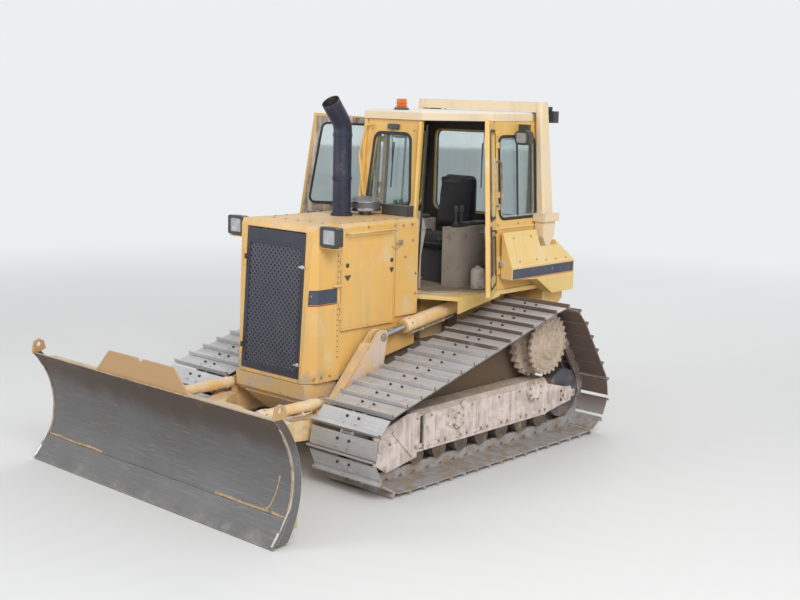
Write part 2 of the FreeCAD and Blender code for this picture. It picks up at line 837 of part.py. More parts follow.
def grille_hinges(name, rows):
    """Knuckles of the two grille hinges on the machine's right, in rows up the hinge line."""
    knuckles = []
    length = 45
    lean = math.degrees(math.atan(guard_slope().number))
    for low in (d.grille_bottom + 130, d.grille_top - 330):
        for row in rows:
            height = low + row * (length + d.running_gap)
            reach = d.guard_front - guard_slope() * (height - d.guard_bottom) + 10
            if name == "guard":
                leaf = block(f"{name}_knuckle_leaf", (-28, -22, 0), (0, 0, length))
            else:
                leaf = block(f"{name}_knuckle_leaf", (-28, 0, 0), (0, 22, length))
            barrel = rod(f"{name}_knuckle", "z", 10, length, 0, 0, 0)
            knuckle = joined(f"{name}_knuckle_solid", barrel, leaf)
            knuckle.Placement = FreeCAD.Placement(
                FreeCAD.Vector(reach.number, -d.grille_half_width.number + 3, height.number),
                FreeCAD.Rotation(FreeCAD.Vector(0, 1, 0), -lean))
            knuckles.append(knuckle)
    return knuckles


def build_grille():
    """The grille door in the guard's mouth, leaning with it."""
    gap = d.door_gap
    half = d.grille_half_width - gap
    low = d.grille_bottom + gap
    high = d.grille_top - gap
    frame = new_body("grille_frame")
    sketch = new_sketch(frame, "YZ_Plane")
    draw_outline(sketch, ((-half, low), (half, low), (half, high), (-half, high)))
    pad(frame, sketch, 18)
    recess = new_sketch(frame, "YZ_Plane", 9)
    draw_outline(recess, ((-half + 28, low + 40), (half - 28, low + 40), (half - 28, high - 110),
                          (-half + 28, high - 110)))
    pocket(frame, recess, 10)
    slope = guard_slope().number
    front = d.guard_front.number - 9 + slope * d.guard_bottom.number
    lean = FreeCAD.Rotation(FreeCAD.Vector(0, 1, 0), -math.degrees(math.atan(slope)))
    frame.Placement = FreeCAD.Placement(FreeCAD.Vector(front, 0, 0), lean)
    keep("grille_door", joined("grille_door", frame, *grille_hinges("grille", (1,))))


def build_hood():
    """The hood's top, its fixed side sheets and the hinged engine doors."""
    top_rear = d.hood_rear
    top = new_body("hood_top_body")
    sketch = new_sketch(top, "YZ_Plane")
    half = d.hood_half_width
    skirt = d.engine_door_top + d.door_gap
    draw_outline(sketch, (
        (-half, skirt), (-half + d.hood_sheet, skirt), (-half + d.hood_sheet, d.hood_height - 35),
        (-half + 35, d.hood_height - d.hood_sheet), (half - 35, d.hood_height - d.hood_sheet),
        (half - d.hood_sheet, d.hood_height - 35), (half - d.hood_sheet, skirt), (half, skirt),
        (half, d.hood_height - 28), (half - 28, d.hood_height),
        (-half + 28, d.hood_height), (-half, d.hood_height - 28),
    ))
    pad(top, sketch, d.guard_rear - top_rear, both_ways=False)
    place(top, top_rear, 0, 0)
    stack_hole = rod("stack_hole", "z", d.stack_radius + d.running_gap, 80, d.stack_x, d.stack_y, d.hood_height - 40)
    cleaner_hole = rod("cleaner_hole", "z", 58 + d.running_gap, 80, d.cleaner_x, d.cleaner_y, d.hood_height - 40)
    cowl = plate("cowl", "XZ_Plane", (
        (d.hood_rear, d.hood_height - 90), (d.hood_rear, d.hood_height),
        (front_wall_x(d.hood_height), d.hood_height), (front_wall_x(d.hood_height - 90), d.hood_height - 90),
    ), (d.post_top_y - 40) * 2)
    keep("hood_top", joined("hood_top", cowl, less("hood_shell", top, stack_hole, cleaner_hole)))
    panels = []
    for side, sign in SIDES:
        level = (d.hood_half_width - d.hood_sheet / 2) * sign
        panels.append(plate(f"rear_panel_{side}", "XZ_Plane", (
            (top_rear, d.panel_bottom), (d.engine_door_rear - d.door_gap, d.panel_bottom),
            (d.engine_door_rear - d.door_gap, d.engine_door_top + d.door_gap),
            (top_rear, d.engine_door_top + d.door_gap),
        ), d.hood_sheet, level))
        panels.append(plate(f"sill_{side}", "XZ_Plane", (
            (top_rear, d.frame_top), (d.guard_rear, d.guard_bottom + 10), (d.guard_rear, d.engine_door_bottom - 8),
            (d.engine_door_rear - d.door_gap, d.engine_door_bottom - 8),
            (d.engine_door_rear - d.door_gap, d.panel_bottom), (top_rear, d.panel_bottom),
        ), d.hood_sheet, level - 25 * sign))
        panels.append(plate(f"sill_ledge_{side}", "YZ_Plane", (
            ((d.hood_half_width - 36) * sign, d.panel_bottom - 12), ((d.hood_half_width - 36) * sign, d.panel_bottom),
            (d.hood_half_width * sign, d.panel_bottom), (d.hood_half_width * sign, d.panel_bottom - 12),
        ), d.engine_door_rear - d.door_gap - top_rear, (d.engine_door_rear - d.door_gap + top_rear) / 2))
    keep("hood_panels", joined("hood_panels", *panels))
    for side, sign in SIDES:
        door = plate(f"{side}_door_sheet", "XZ_Plane", (
            (d.engine_door_rear, d.engine_door_bottom), (d.guard_rear - d.door_gap, d.engine_door_bottom),
            (d.guard_rear - d.door_gap, d.engine_door_top), (d.engine_door_rear, d.engine_door_top),
        ), d.engine_door_sheet, (d.hood_half_width - d.engine_door_sheet / 2) * sign)
        knuckles = engine_door_hinges(f"{side}_door", sign, (1,))
        keep(f"engine_door_{side}", joined(f"engine_door_{side}", door, *knuckles))


def engine_door_hinges(name, sign, rows):
    """Knuckles of a door's two hinges at the guard's edge, in rows up the hinge line."""
    knuckles = []
    length = 50
    radius = 9
    x = d.guard_rear - d.door_gap / 2
    leaf_end = x + 28 if name.startswith("guard") else x - 28
    low_x, high_x = (x, leaf_end) if name.startswith("guard") else (leaf_end, x)
    face = d.hood_half_width if sign > 0 else -d.hood_half_width - radius
    for low in (d.engine_door_bottom + 100, d.engine_door_top - 290):
        for row in rows:
            height = low + row * (length + d.running_gap)
            barrel = rod(f"{name}_knuckle", "z", radius, length,
                         x, (d.hood_half_width + radius + d.running_gap) * sign, height)
            leaf = block(f"{name}_knuckle_leaf", (low_x, face, height), (high_x, face + radius, height + length))
            knuckles.append(joined(f"{name}_knuckle_solid", barrel, leaf))
    return knuckles


def build_exhaust():
    """The exhaust stack: a pipe that goes up and then leans forward to its open mouth."""
    stack = new_body("exhaust_stack")
    spine = new_sketch(stack, "XZ_Plane")
    lean = math.radians(d.stack_bend_degrees.number)
    bend = d.stack_bend_radius.number
    low = FreeCAD.Vector(0, d.hood_height.number - 60, 0)
    knee = FreeCAD.Vector(0, d.stack_bend_height.number, 0)
    after = knee + FreeCAD.Vector(bend * (1 - math.cos(lean)), bend * math.sin(lean), 0)
    mouth = after + FreeCAD.Vector(math.sin(lean), math.cos(lean), 0) * d.stack_mouth_length.number
    spine.addGeometry(Part.LineSegment(low, knee), False)
    centre = knee + FreeCAD.Vector(bend, 0, 0)
    circle = Part.Circle(centre, FreeCAD.Vector(0, 0, 1), bend)
    spine.addGeometry(Part.ArcOfCircle(circle, math.pi - lean, math.pi), False)
    spine.addGeometry(Part.LineSegment(after, mouth), False)
    for wall, kind in ((0, "PartDesign::AdditivePipe"), (d.stack_wall, "PartDesign::SubtractivePipe")):
        ring = new_sketch(stack, "XY_Plane", d.hood_height - 60)
        draw_circle(ring, 0, 0, d.stack_radius - wall)
        pipe = stack.newObject(kind, f"pipe_{len(stack.Group)}")
        pipe.Profile = ring
        pipe.Spine = (spine, ["Edge1", "Edge2", "Edge3"])
    place(stack, d.stack_x, d.stack_y, 0)
    keep("exhaust_stack", stack)
    cleaner = lathe("air_cleaner", "z", (
        (0, -60), (58, -60), (58, 26), (d.cleaner_radius, 34), (d.cleaner_radius, 122),
        (d.cleaner_radius * 0.8, 152), (0, 162),
    ), d.cleaner_x, d.cleaner_y, d.hood_height)
    keep("air_cleaner", cleaner)
    box = block("vent_box", (d.hood_rear - 80, 45, d.hood_height), (d.hood_rear + 30, 345, d.hood_height + 92))
    keep("vent_box", box)


def build_headlamps():
    """The two boxed lamps at the hood's front corners."""
    lamps = []
    for side, sign in SIDES:
        low = d.hood_half_width if sign > 0 else -d.hood_half_width - 118
        bracket = block(f"lamp_bracket_{side}", (770, low, 1930), (935, low + 118, 2075))
        recess = block(f"lamp_recess_{side}", (780, low + 10, 1946), (950, low + 108, 2065))
        bucket = block(f"lamp_bucket_{side}", (800, low + 9, 1945), (922, low + 109, 2066))
        lamps.append(joined(f"lamp_{side}", less(f"lamp_shell_{side}", bracket, recess), bucket))
    keep("headlamps", group("headlamps", *lamps))


# Cab

def front_wall_x(level):
    """The x of the front wall's outer face at a height above the ground."""
    return d.post_x - (d.post_x - d.post_top_x) * (Size.of(level) - d.cab_floor) / (d.cab_eave - d.cab_floor)


def cab_inset(level):
    """How far the cab's sides have leaned in at a height above the floor."""
    return (d.cab_side - d.cab_side_top) * (Size.of(level) - d.cab_floor) / (d.cab_eave - d.cab_floor)


def side_placement(sign, out=0):
    """Where a cab side's outline of (x, height above the floor) stands, leaning inwards."""
    lean = math.degrees(math.atan2((d.cab_side - d.cab_side_top).number, (d.cab_eave - d.cab_floor).number))
    return FreeCAD.Placement(
        FreeCAD.Vector(0, (d.cab_side.number + out) * sign, d.cab_floor.number),
        FreeCAD.Rotation(FreeCAD.Vector(1, 0, 0), lean * sign))


def front_placement():
    """Where the front wall's outline of (y, height above the floor) stands, leaning back."""
    lean = math.degrees(math.atan2((d.post_top_x - d.post_x).number, (d.cab_eave - d.cab_floor).number))
    return FreeCAD.Placement(
        FreeCAD.Vector(d.post_x.number, 0, d.cab_floor.number),
        FreeCAD.Rotation(FreeCAD.Vector(0, 1, 0), lean))


def roof_top():
    """The height of the cab's roof."""
    return d.cab_eave + d.roof_rise


def rops_top():
    """The height of the roll-over frame's beam."""
    return roof_top() + d.rops_beam_rise


def slope_length(run):
    """The length of a leaning wall that leans by run over the cab's height."""
    height = d.cab_eave - d.cab_floor
    return (height * height + run * run).root()


SIDE_WINDOW = (655, d.cab_eave - d.cab_floor - 140)
FRONT_WINDOW = (765, d.cab_eave - d.cab_floor - 125)


def front_window(gap, radius):
    """The windscreen's outline, gap inside its opening."""
    low, high = FRONT_WINDOW
    half_low = d.post_y - 118 - gap
    half_top = d.post_top_y - 150 - gap
    return (
        (-half_low + radius, low + gap), (half_low - radius, low + gap, radius), (half_low, low + radius),
        (half_top, high - radius, radius), (half_top - radius, high - gap), (-half_top + radius, high - gap, radius),
        (-half_top, high - radius), (-half_low, low + radius, radius),
    )


def side_window(gap, radius):
    low, high = SIDE_WINDOW
    return rounded(d.cab_rear + d.cab_wall + 60 + gap, Size.of(low) + gap, d.cab_hinge_x - 75 - gap,
                   Size.of(high) - gap, Size.of(radius))


def rear_window(gap, radius):
    return rounded(-d.cab_side_top + 100 + gap, Size.of(2020) + gap, d.cab_side_top - 100 - gap,
                   d.cab_eave - 125 - gap, Size.of(radius))


def build_cab():
    """The cab's floor, walls, roof and roll-over frame."""
    step_out = d.cab_side + 14
    floor = plate("floor", "XY_Plane", (
        (d.post_x, -430), (d.post_x, 430), (-480, step_out), (d.cab_rear, step_out), (d.cab_rear, -step_out),
        (-480, -step_out),
    ), 40, d.cab_floor - 20)
    parts = [floor]
    for side, sign in SIDES:
        parts.append(plate(f"skirt_{side}", "XZ_Plane", (
            (-480, d.cab_floor - 8), (-480, 1245), (d.fender_front, 1345), (d.fender_front, d.cab_floor - 8),
        ), 12, (step_out - 6) * sign))
    parts.append(block("platform_carrier", (d.cab_rear, -340, d.frame_top), (-480, 340, d.cab_floor - 40)))
    keep("platform", joined("platform", *parts))

    wall = d.cab_wall
    front = plate("front_wall", "YZ_Plane", (
        (-d.post_y + 36, 4), (d.post_y - 36, 4), (d.post_top_y - 36, slope_length(d.post_x - d.post_top_x)),
        (-d.post_top_y + 36, slope_length(d.post_x - d.post_top_x)),
    ), wall, None, windows=(front_window(0, 70),))
    shift = FreeCAD.Placement(FreeCAD.Vector(-wall.number / 2, 0, 0), FreeCAD.Rotation())
    front.Placement = front_placement().multiply(shift)
    keep("cab_front_wall", front)

    sides = []
    top = slope_length(d.cab_side - d.cab_side_top)
    for side, sign in SIDES:
        body = plate(f"side_wall_{side}", "XZ_Plane", (
            (d.cab_rear + wall, 3), (d.cab_hinge_x - 20, 3), (d.cab_hinge_x - 20, top), (d.cab_rear + wall, top),
        ), wall, None, windows=(side_window(0, 60),))
        shift = FreeCAD.Placement(FreeCAD.Vector(0, -wall.number / 2 * sign, 0), FreeCAD.Rotation())
        body.Placement = side_placement(sign).multiply(shift)
        leaves = group(f"wall_hinges_{side}", *cab_hinge(
            f"{side}_wall", (0, 2), *(((-60, -22), (0, -4)) if sign > 0 else ((-60, 4), (0, 22)))))
        hinge_line = FreeCAD.Placement(FreeCAD.Vector(d.cab_hinge_x.number, 0, 0), FreeCAD.Rotation())
        leaves.Placement = side_placement(sign, d.door_axis_out.number).multiply(hinge_line)
        sides.append(joined(f"hinged_wall_{side}", body, leaves))
    keep("cab_side_walls", group("cab_side_walls", *sides))

    rear = plate("rear_wall", "YZ_Plane", (
        (-d.cab_side, d.cab_floor), (d.cab_side, d.cab_floor), (d.cab_side_top, d.cab_eave),
        (-d.cab_side_top, d.cab_eave),
    ), wall, d.cab_rear + wall / 2, windows=(rear_window(0, 70),))
    keep("cab_rear_wall", rear)

    over = 22
    roof = plate("roof", "XY_Plane", (
        (d.post_top_x + over, -d.post_top_y + 10), (d.post_top_x + over, d.post_top_y - 10),
        (d.cab_hinge_x + over, d.cab_side_top + 6), (d.rops_top_x + 80, d.cab_side_top + 6),
        (d.rops_top_x + 70, d.cab_side_top - 30), (d.cab_rear - over, d.cab_side_top - 30),
        (d.cab_rear - over, -d.cab_side_top + 30), (d.rops_top_x + 70, -d.cab_side_top + 30),
        (d.rops_top_x + 80, -d.cab_side_top - 6), (d.cab_hinge_x + over, -d.cab_side_top - 6),
    ), roof_top() - d.cab_eave, (roof_top() + d.cab_eave) / 2)
    bevel_edges(roof, 16, lambda edge: edge.CenterOfMass.z > (roof_top() - d.cab_eave).number / 2 - 2)
    keep("cab_roof", roof)

    posts = []
    for side, sign in SIDES:
        posts += rops_post(side, sign)
    beam_y = d.cab_side_top - cab_inset(3060) + cab_inset(d.cab_eave) + d.rops_wide / 2
    beam = block("rops_beam", (d.rops_top_x - 55, -beam_y, rops_top() - d.rops_beam_height),
                 (d.rops_top_x + 55, beam_y, rops_top()))
    keep("rops_frame", joined("rops_frame", beam, *posts))


def rops_post(side, sign):
    """One leg of the roll-over frame: a tapering post on its collar and pointed foot."""
    low = d.rops_foot_height
    high = rops_top()
    post = new_body(f"rops_leg_{side}")
    sections = []
    for level, x, shrink in ((low, d.rops_x, 0), (high, d.rops_top_x, d.rops_taper)):
        y = (d.cab_side - cab_inset(level) + 4 + d.rops_wide / 2) * sign
        half_x = (d.rops_long - shrink) / 2
        half_y = (d.rops_wide - shrink) / 2
        section = new_sketch(post, "XY_Plane", level)
        draw_outline(section, bevelled(x - half_x, y - half_y, x + half_x, y + half_y, 24))
        sections.append(section)
    loft = post.newObject("PartDesign::AdditiveLoft", f"rops_loft_{side}")
    loft.Profile = sections[0]
    loft.Sections = sections[1:]
    outer = d.cab_side - cab_inset(low) + d.rops_wide + 34
    pieces = [post]
    for name, corners, bottom in (
            ("collar", ((-118, -45), (118, -45), (118, 30), (-118, 30)), low - 45),
            ("foot", ((-98, -45), (-84, -190), (-20, -275), (40, -275), (92, -190), (98, -45)), low - 275)):
        inner = d.cab_side - cab_inset(bottom) + 4
        outline = [(d.rops_x + along, low + rise) for along, rise in corners]
        edge = outer if name == "collar" else outer - 28
        pieces.append(plate(f"rops_{name}_{side}", "XZ_Plane", outline, edge - inner, (inner + edge) / 2 * sign))
    return pieces


def build_grab_rail():
    """The bent rail beside the windscreen on the machine's right, on two feet from the wall."""
    x = front_wall_x(d.cab_floor + 840) + 26
    spots = [FreeCAD.Vector(x.number, y, d.cab_floor.number + rise)
             for y, rise in ((-262, 1480), (-350, 1210), (-290, 840))]
    radius = 11
    pieces = []
    for number, (start, finish) in enumerate(zip(spots, spots[1:])):
        run = document.addObject("Part::Cylinder", f"rail_run_{number}")
        run.Radius = radius
        run.Height = (finish - start).Length
        run.Placement = FreeCAD.Placement(start, FreeCAD.Rotation(FreeCAD.Vector(0, 0, 1), finish - start))
        pieces.append(run)
    bend = document.addObject("Part::Sphere", "rail_bend")
    bend.Radius = radius + 0.8
    bend.Placement.Base = spots[1]
    pieces.append(bend)
    for number, spot in ((0, spots[0]), (1, spots[-1])):
        wall_x = front_wall_x(spot.z) + d.running_gap + 1
        pieces.append(rod(f"rail_foot_{number}", "x", radius + 2, x - wall_x, wall_x, spot.y, spot.z))
    keep("grab_rail", joined("grab_rail", *pieces))


def build_glass():
    """The cab's fixed panes, each a little smaller than its opening."""
    gap = 0.5
    wall = d.cab_wall.number
    thickness = d.glass_thickness
    screen = plate("front_glass", "YZ_Plane", front_window(gap, 70), thickness, None)
    shift = FreeCAD.Placement(FreeCAD.Vector(-wall / 2, 0, 0), FreeCAD.Rotation())
    screen.Placement = front_placement().multiply(shift)
    panes = [screen, plate("rear_glass", "YZ_Plane", rear_window(gap, 70), thickness, d.cab_rear + wall / 2)]
    for side, sign in SIDES:
        pane = plate(f"side_glass_{side}", "XZ_Plane", side_window(gap, 60), thickness, None)
        shift = FreeCAD.Placement(FreeCAD.Vector(0, -wall / 2 * sign, 0), FreeCAD.Rotation())
        pane.Placement = side_placement(sign).multiply(shift)
        panes.append(pane)
    keep("cab_glass", group("cab_glass", *panes))


class DoorFrame:
    """The slanting plane of a cab door: from its leaning hinge line to the front post."""

    def __init__(self, sign):
        self.sign = sign
        floor, eave = d.cab_floor.number, d.cab_eave.number
        hinge_low = FreeCAD.Vector(d.cab_hinge_x.number, d.cab_side.number * sign, floor)
        hinge_top = FreeCAD.Vector(d.cab_hinge_x.number, d.cab_side_top.number * sign, eave)
        post_low = FreeCAD.Vector(d.post_x.number, d.post_y.number * sign, floor)
        post_top = FreeCAD.Vector(d.post_top_x.number, d.post_top_y.number * sign, eave)
        self.up = (hinge_top - hinge_low).normalize()
        across = post_low - hinge_low
        self.along = (across - self.up * across.dot(self.up)).normalize()
        self.out = self.along.cross(self.up) * -sign
        self.origin = hinge_low + FreeCAD.Vector(0, d.door_axis_out.number * sign, 0)
        self.height = (hinge_top - hinge_low).Length
        self.low = (post_low - self.origin).dot(self.along), (post_low - self.origin).dot(self.up)
        self.top = (post_top - self.origin).dot(self.along), (post_top - self.origin).dot(self.up)

    def placement(self, degrees):
        """The door's place when it has swung open by so many degrees."""
        closed = FreeCAD.Matrix(
            self.along.x, self.out.x * self.sign, self.up.x, 0,
            self.along.y, self.out.y * self.sign, self.up.y, 0,
            self.along.z, self.out.z * self.sign, self.up.z, 0,
            0, 0, 0, 1)
        swing = FreeCAD.Rotation(FreeCAD.Vector(0, 0, 1), degrees * self.sign)
        return FreeCAD.Placement(self.origin, FreeCAD.Placement(closed).Rotation.multiply(swing))


def cab_hinge(name, rows, leaf_low, leaf_high):
    """Knuckles on a door's hinge line, in its own outline, each with a leaf."""
    knuckles = []
    length = 55
    tall = (d.cab_eave - d.cab_floor).number
    for low in (150, tall / 2 - 30, tall - 240):
        for row in rows:
            height = low + row * (length + d.running_gap)
            barrel = rod(f"{name}_knuckle", "z", 11, length, 0, 0, height)
            leaf = block(f"{name}_leaf", (leaf_low[0], leaf_low[1], height),
                         (leaf_high[0], leaf_high[1], height + length))
            knuckles.append(joined(f"{name}_knuckle_solid", barrel, leaf))
    return knuckles


def inset_outline(corners, margin, radius):
    """An outline with rounded corners inside a four-cornered one, counter-clockwise."""
    points = [FreeCAD.Vector(x, y, 0) for x, y in corners]
    lines = []
    for number, point in enumerate(points):
        after = points[(number + 1) % 4]
        along = (after - point).normalize()
        left = FreeCAD.Vector(-along.y, along.x, 0)
        lines.append((point + left * margin[number], along))
    spots = []
    for number in range(4):
        (base, along), (other, across) = lines[number - 1], lines[number]
        share = (other - base).cross(across).z / along.cross(across).z
        spots.append(base + along * share)
    outline = []
    for number, spot in enumerate(spots):
        before = (spot - spots[number - 1]).normalize()
        after = (spots[(number + 1) % 4] - spot).normalize()
        reach = radius * math.tan(before.getAngle(after) / 2)
        start, finish = spot - before * reach, spot + after * reach
        outline += [(start.x, start.y, radius), (finish.x, finish.y)]
    return outline


def build_cab_doors():
    """The two cab doors, hinged at their rear edges and standing open."""
    gap = d.door_clearance.number
    for side, sign in SIDES:
        frame = DoorFrame(sign)
        low_x, low_z = frame.low
        top_x, top_z = frame.top
        corners = ((14, 16), (low_x - gap, low_z + 16), (top_x - gap, top_z - gap - 6), (14, frame.height - gap - 6))
        middle = 600
        slope = (top_x - low_x) / (top_z - low_z)
        split = low_x - gap + slope * (middle - low_z)
        upper = ((14, middle), (split, middle), corners[2], corners[3])
        lower = (corners[0], corners[1], (split, middle), (14, middle))
        outlines = ((upper, (70, 75, 75, 85)), (lower, (130, 90, 40, 85)))
        level = -(d.door_thickness.number / 2 + 3) * sign
        shift = FreeCAD.Placement(FreeCAD.Vector(0, level, 0), FreeCAD.Rotation())
        where = frame.placement(d.door_open_degrees.number).multiply(shift)
        leaf = plate(f"{side}_leaf", "XZ_Plane", corners, d.door_thickness, None,
                     windows=[inset_outline(outline, margin, 60) for outline, margin in outlines])
        leaf.Placement = shift
        straps = cab_hinge(f"{side}_strap", (1,), *(((0, -3), (70, 8)) if sign > 0 else ((0, -8), (70, 3))))
        door = joined(f"{side}_door_solid", leaf, *straps)
        door.Placement = frame.placement(d.door_open_degrees.number)
        panes = []
        for number, (outline, margin) in enumerate(outlines):
            inner = inset_outline(outline, [value + 0.5 for value in margin], 60)
            panes.append(plate(f"{side}_pane_{number}", "XZ_Plane", inner, d.glass_thickness, None))
        glass = group(f"{side}_door_glass", *panes)
        glass.Placement = where
        keep(f"{side}_door", door)
        keep(f"{side}_door_glass", glass)


def build_cab_inside():
    """The seat, its base, the consoles, the dash and the levers."""
    base = block("seat_base", (-1330, -210, d.cab_floor), (-930, 210, d.cab_floor + 330))
    keep("seat_base", base)
    cushion = block("seat_squab", (-1330, -245, d.cab_floor + 330.3), (-850, 245, d.cab_floor + 450))
    back = plate("seat_back", "XZ_Plane", (
        (-1350, d.cab_floor + 450.3), (-1235, d.cab_floor + 450.3), (-1330, d.cab_floor + 1030),
        (-1440, d.cab_floor + 1030),
    ), 440)
    keep("seat_cushions", group("seat_cushions", cushion, back))
    boxes = []
    for side, sign in SIDES:
        low = 290 if sign > 0 else -470
        boxes.append(block(f"console_{side}", (-1400, low, d.cab_floor), (-820, low + 180, d.cab_floor + 560)))
    keep("consoles", group("consoles", *boxes))
    dash = plate("dash", "XZ_Plane", (
        (-560, d.cab_floor), (d.post_x - d.cab_wall - 20, d.cab_floor), (d.post_x - d.cab_wall - 80, 2120),
        (-540, 2120), (-620, 1960), (-560, 1700),
    ), 520)
    keep("dash", dash)
    levers = []
    for number, (x, y) in enumerate(((-900, 380), (-980, 380), (-900, -380), (-980, -380))):
        stick = rod(f"lever_{number}", "z", 9, 150, x, y, d.cab_floor + 560)
        knob = rod(f"knob_{number}", "z", 20, 55, x, y, d.cab_floor + 700)
        levers.append(joined(f"lever_set_{number}", stick, knob))
    keep("levers", group("levers", *levers))


def build_rear():
    """The fenders beside the cab, the fuel tank behind it and the drawbar."""
    fenders = []
    inner = d.cab_side + 16
    for side, sign in SIDES:
        across = plate(f"fender_section_{side}", "YZ_Plane", (
            (inner * sign, d.fender_low), (d.fender_side * sign, d.fender_low),
            (d.fender_side * sign, d.fender_break), ((inner + 8) * sign, d.fender_top), (inner * sign, d.fender_top),
        ), d.fender_front - d.fender_rear, (d.fender_front + d.fender_rear) / 2)
        along = plate(f"fender_outline_{side}", "XZ_Plane", (
            (d.fender_front, d.fender_bottom + 8), (d.fender_front, d.fender_top + 5),
            (d.cab_rear + 20, d.fender_top + 5), (d.fender_rear, d.fender_break), (d.fender_rear, d.fender_low + 4),
            (d.cab_rear + 20, d.fender_low), (-1470, d.fender_bottom - 15),
        ), 400, (d.cab_side + 150) * sign)
        post_y = (d.cab_side - cab_inset(d.rops_foot_height) + 4 + d.rops_wide / 2) * sign
        post_gap = block(f"post_gap_{side}", (d.rops_x - 130, post_y - 92, d.rops_foot_height - 275),
                         (d.rops_x + 130, post_y + 92, 2200))
        fenders.append(less(f"fender_{side}", shared(f"fender_block_{side}", across, along), post_gap))
    tank = plate("tank_body", "XZ_Plane", (
        (d.cab_rear, 1130), (d.fender_rear + 120, 1130), (d.fender_rear, 1230), (d.fender_rear, d.fender_break),
        (d.cab_rear - 20, d.fender_top), (d.cab_rear, d.fender_top),
    ), inner * 2)
    gaps = []
    for side, sign in SIDES:
        post_y = (d.cab_side - cab_inset(d.rops_foot_height) + 4 + d.rops_wide / 2) * sign
        gaps.append(block(f"tank_gap_{side}", (d.rops_x - 130, post_y - 92, d.rops_foot_height - 275),
                          (d.rops_x + 130, post_y + 92, 2200)))
    keep("fenders", group("fenders", *fenders))
    keep("fuel_tank", less("fuel_tank", tank, *gaps))
    bar = plate("drawbar_body", "XZ_Plane", (
        (d.drawbar_rear, d.drawbar_height - 30), (d.frame_rear - 120, d.drawbar_height - 30),
        (d.frame_rear, d.frame_bottom + 172), (d.frame_rear, d.drawbar_height + 230),
        (d.frame_rear - 120, d.drawbar_height + 210), (d.frame_rear - 300, d.drawbar_height + 30),
        (d.drawbar_rear, d.drawbar_height + 30),
    ), 120)
    hole = rod("drawbar_hole", "z", d.drawbar_pin_radius, 200, d.drawbar_rear + 70, 0, d.drawbar_height - 100)
    keep("drawbar", less("drawbar", bar, hole))


# Blade, its frame and its cylinders

def build_c_frame():
    """The C-frame: two arms, the nose that they meet in and the lift towers."""
    parts = []
    for side, sign in SIDES:
        parts.append(plate(f"arm_{side}", "XZ_Plane", (
            (d.lift_pivot_x - 90, d.lift_pivot_z - 50), (d.lift_pivot_x - 40, d.arm_bottom),
            (1030, d.arm_bottom), (1120, d.arm_bottom + 20), (1120, d.arm_top),
            (d.lift_pivot_x - 40, d.arm_top), (d.lift_pivot_x - 90, d.lift_pivot_z + 40),
        ), d.arm_width, d.arm_y * sign,
            holes=((d.lift_pivot_x, d.lift_pivot_z, d.pivot_pin_radius + d.pin_clearance),)))
        inner_edge = (d.arm_y - d.arm_width / 2) * sign
        outer_edge = (d.arm_y + d.arm_width / 2) * sign
        parts.append(plate(f"leg_{side}", "XY_Plane", (
            (1120, outer_edge), (1000, outer_edge), (1000, inner_edge),
            (1150, inner_edge - 60 * sign), (d.nose_x - 140, 20 * sign), (d.nose_x - 60, 110 * sign),
            (1300, outer_edge - 60 * sign),
        ), d.arm_top - d.arm_bottom, (d.arm_top + d.arm_bottom) / 2))
        for number, offset in enumerate((-d.arm_width / 2 + 8, d.arm_width / 2 - 8)):
            parts.append(plate(f"tower_{side}_{number}", "XZ_Plane", (
                (330, d.arm_top - 20), (880, d.arm_top - 20), (860, d.arm_top + 60),
                (d.tower_pin_x + 75, d.tower_pin_z + 45), (d.tower_pin_x + 25, d.tower_pin_z + 62),
                (d.tower_pin_x - 40, d.tower_pin_z + 55), (d.tower_pin_x - 60, d.tower_pin_z + 15),
                (d.tower_pin_x - 40, d.tower_pin_z - 60),
            ), 16, (d.arm_y + offset) * sign))
        parts.append(plate(f"tower_web_{side}", "XZ_Plane", (
            (800, d.arm_top - 10), (880, d.arm_top - 10), (860, d.arm_top + 60),
            (d.tower_pin_x + 150, d.tower_pin_z - 34), (d.tower_pin_x + 122, d.tower_pin_z - 60),
        ), d.arm_width, d.arm_y * sign))
        parts.append(plate(f"angle_lug_{side}", "XY_Plane", (
            (d.angle_anchor_x - 60, inner_edge + 12 * sign), (d.angle_anchor_x + 30, inner_edge + 12 * sign),
            (d.angle_anchor_x + 30, outer_edge - 12 * sign), (d.angle_anchor_x - 60, outer_edge - 12 * sign),
        ), d.angle_pin_z - 34 - d.arm_top + 20, (d.angle_pin_z - 34 + d.arm_top - 20) / 2))
        parts.append(rod(f"angle_pin_{side}", "z", d.small_pin_radius, d.angle_pin_z + 34 - d.arm_top,
                         d.angle_anchor_x, d.arm_y * sign, d.arm_top))
    for number, low in enumerate((d.arm_bottom - 75, d.arm_top + 0)):
        parts.append(plate(f"nose_{number}", "XY_Plane", (
            (d.nose_x - 260, -150), (d.nose_x - 20, -95), (d.nose_x + 55, -60), (d.nose_x + 80, 0),
            (d.nose_x + 55, 60), (d.nose_x - 20, 95), (d.nose_x - 260, 150),
        ), 76, low + 38))
    parts.append(rod("nose_pin", "z", d.nose_pin_radius, d.arm_top - d.arm_bottom + 20,
                     d.nose_x, 0, d.arm_bottom - 10))
    keep("c_frame", joined("c_frame", *parts))


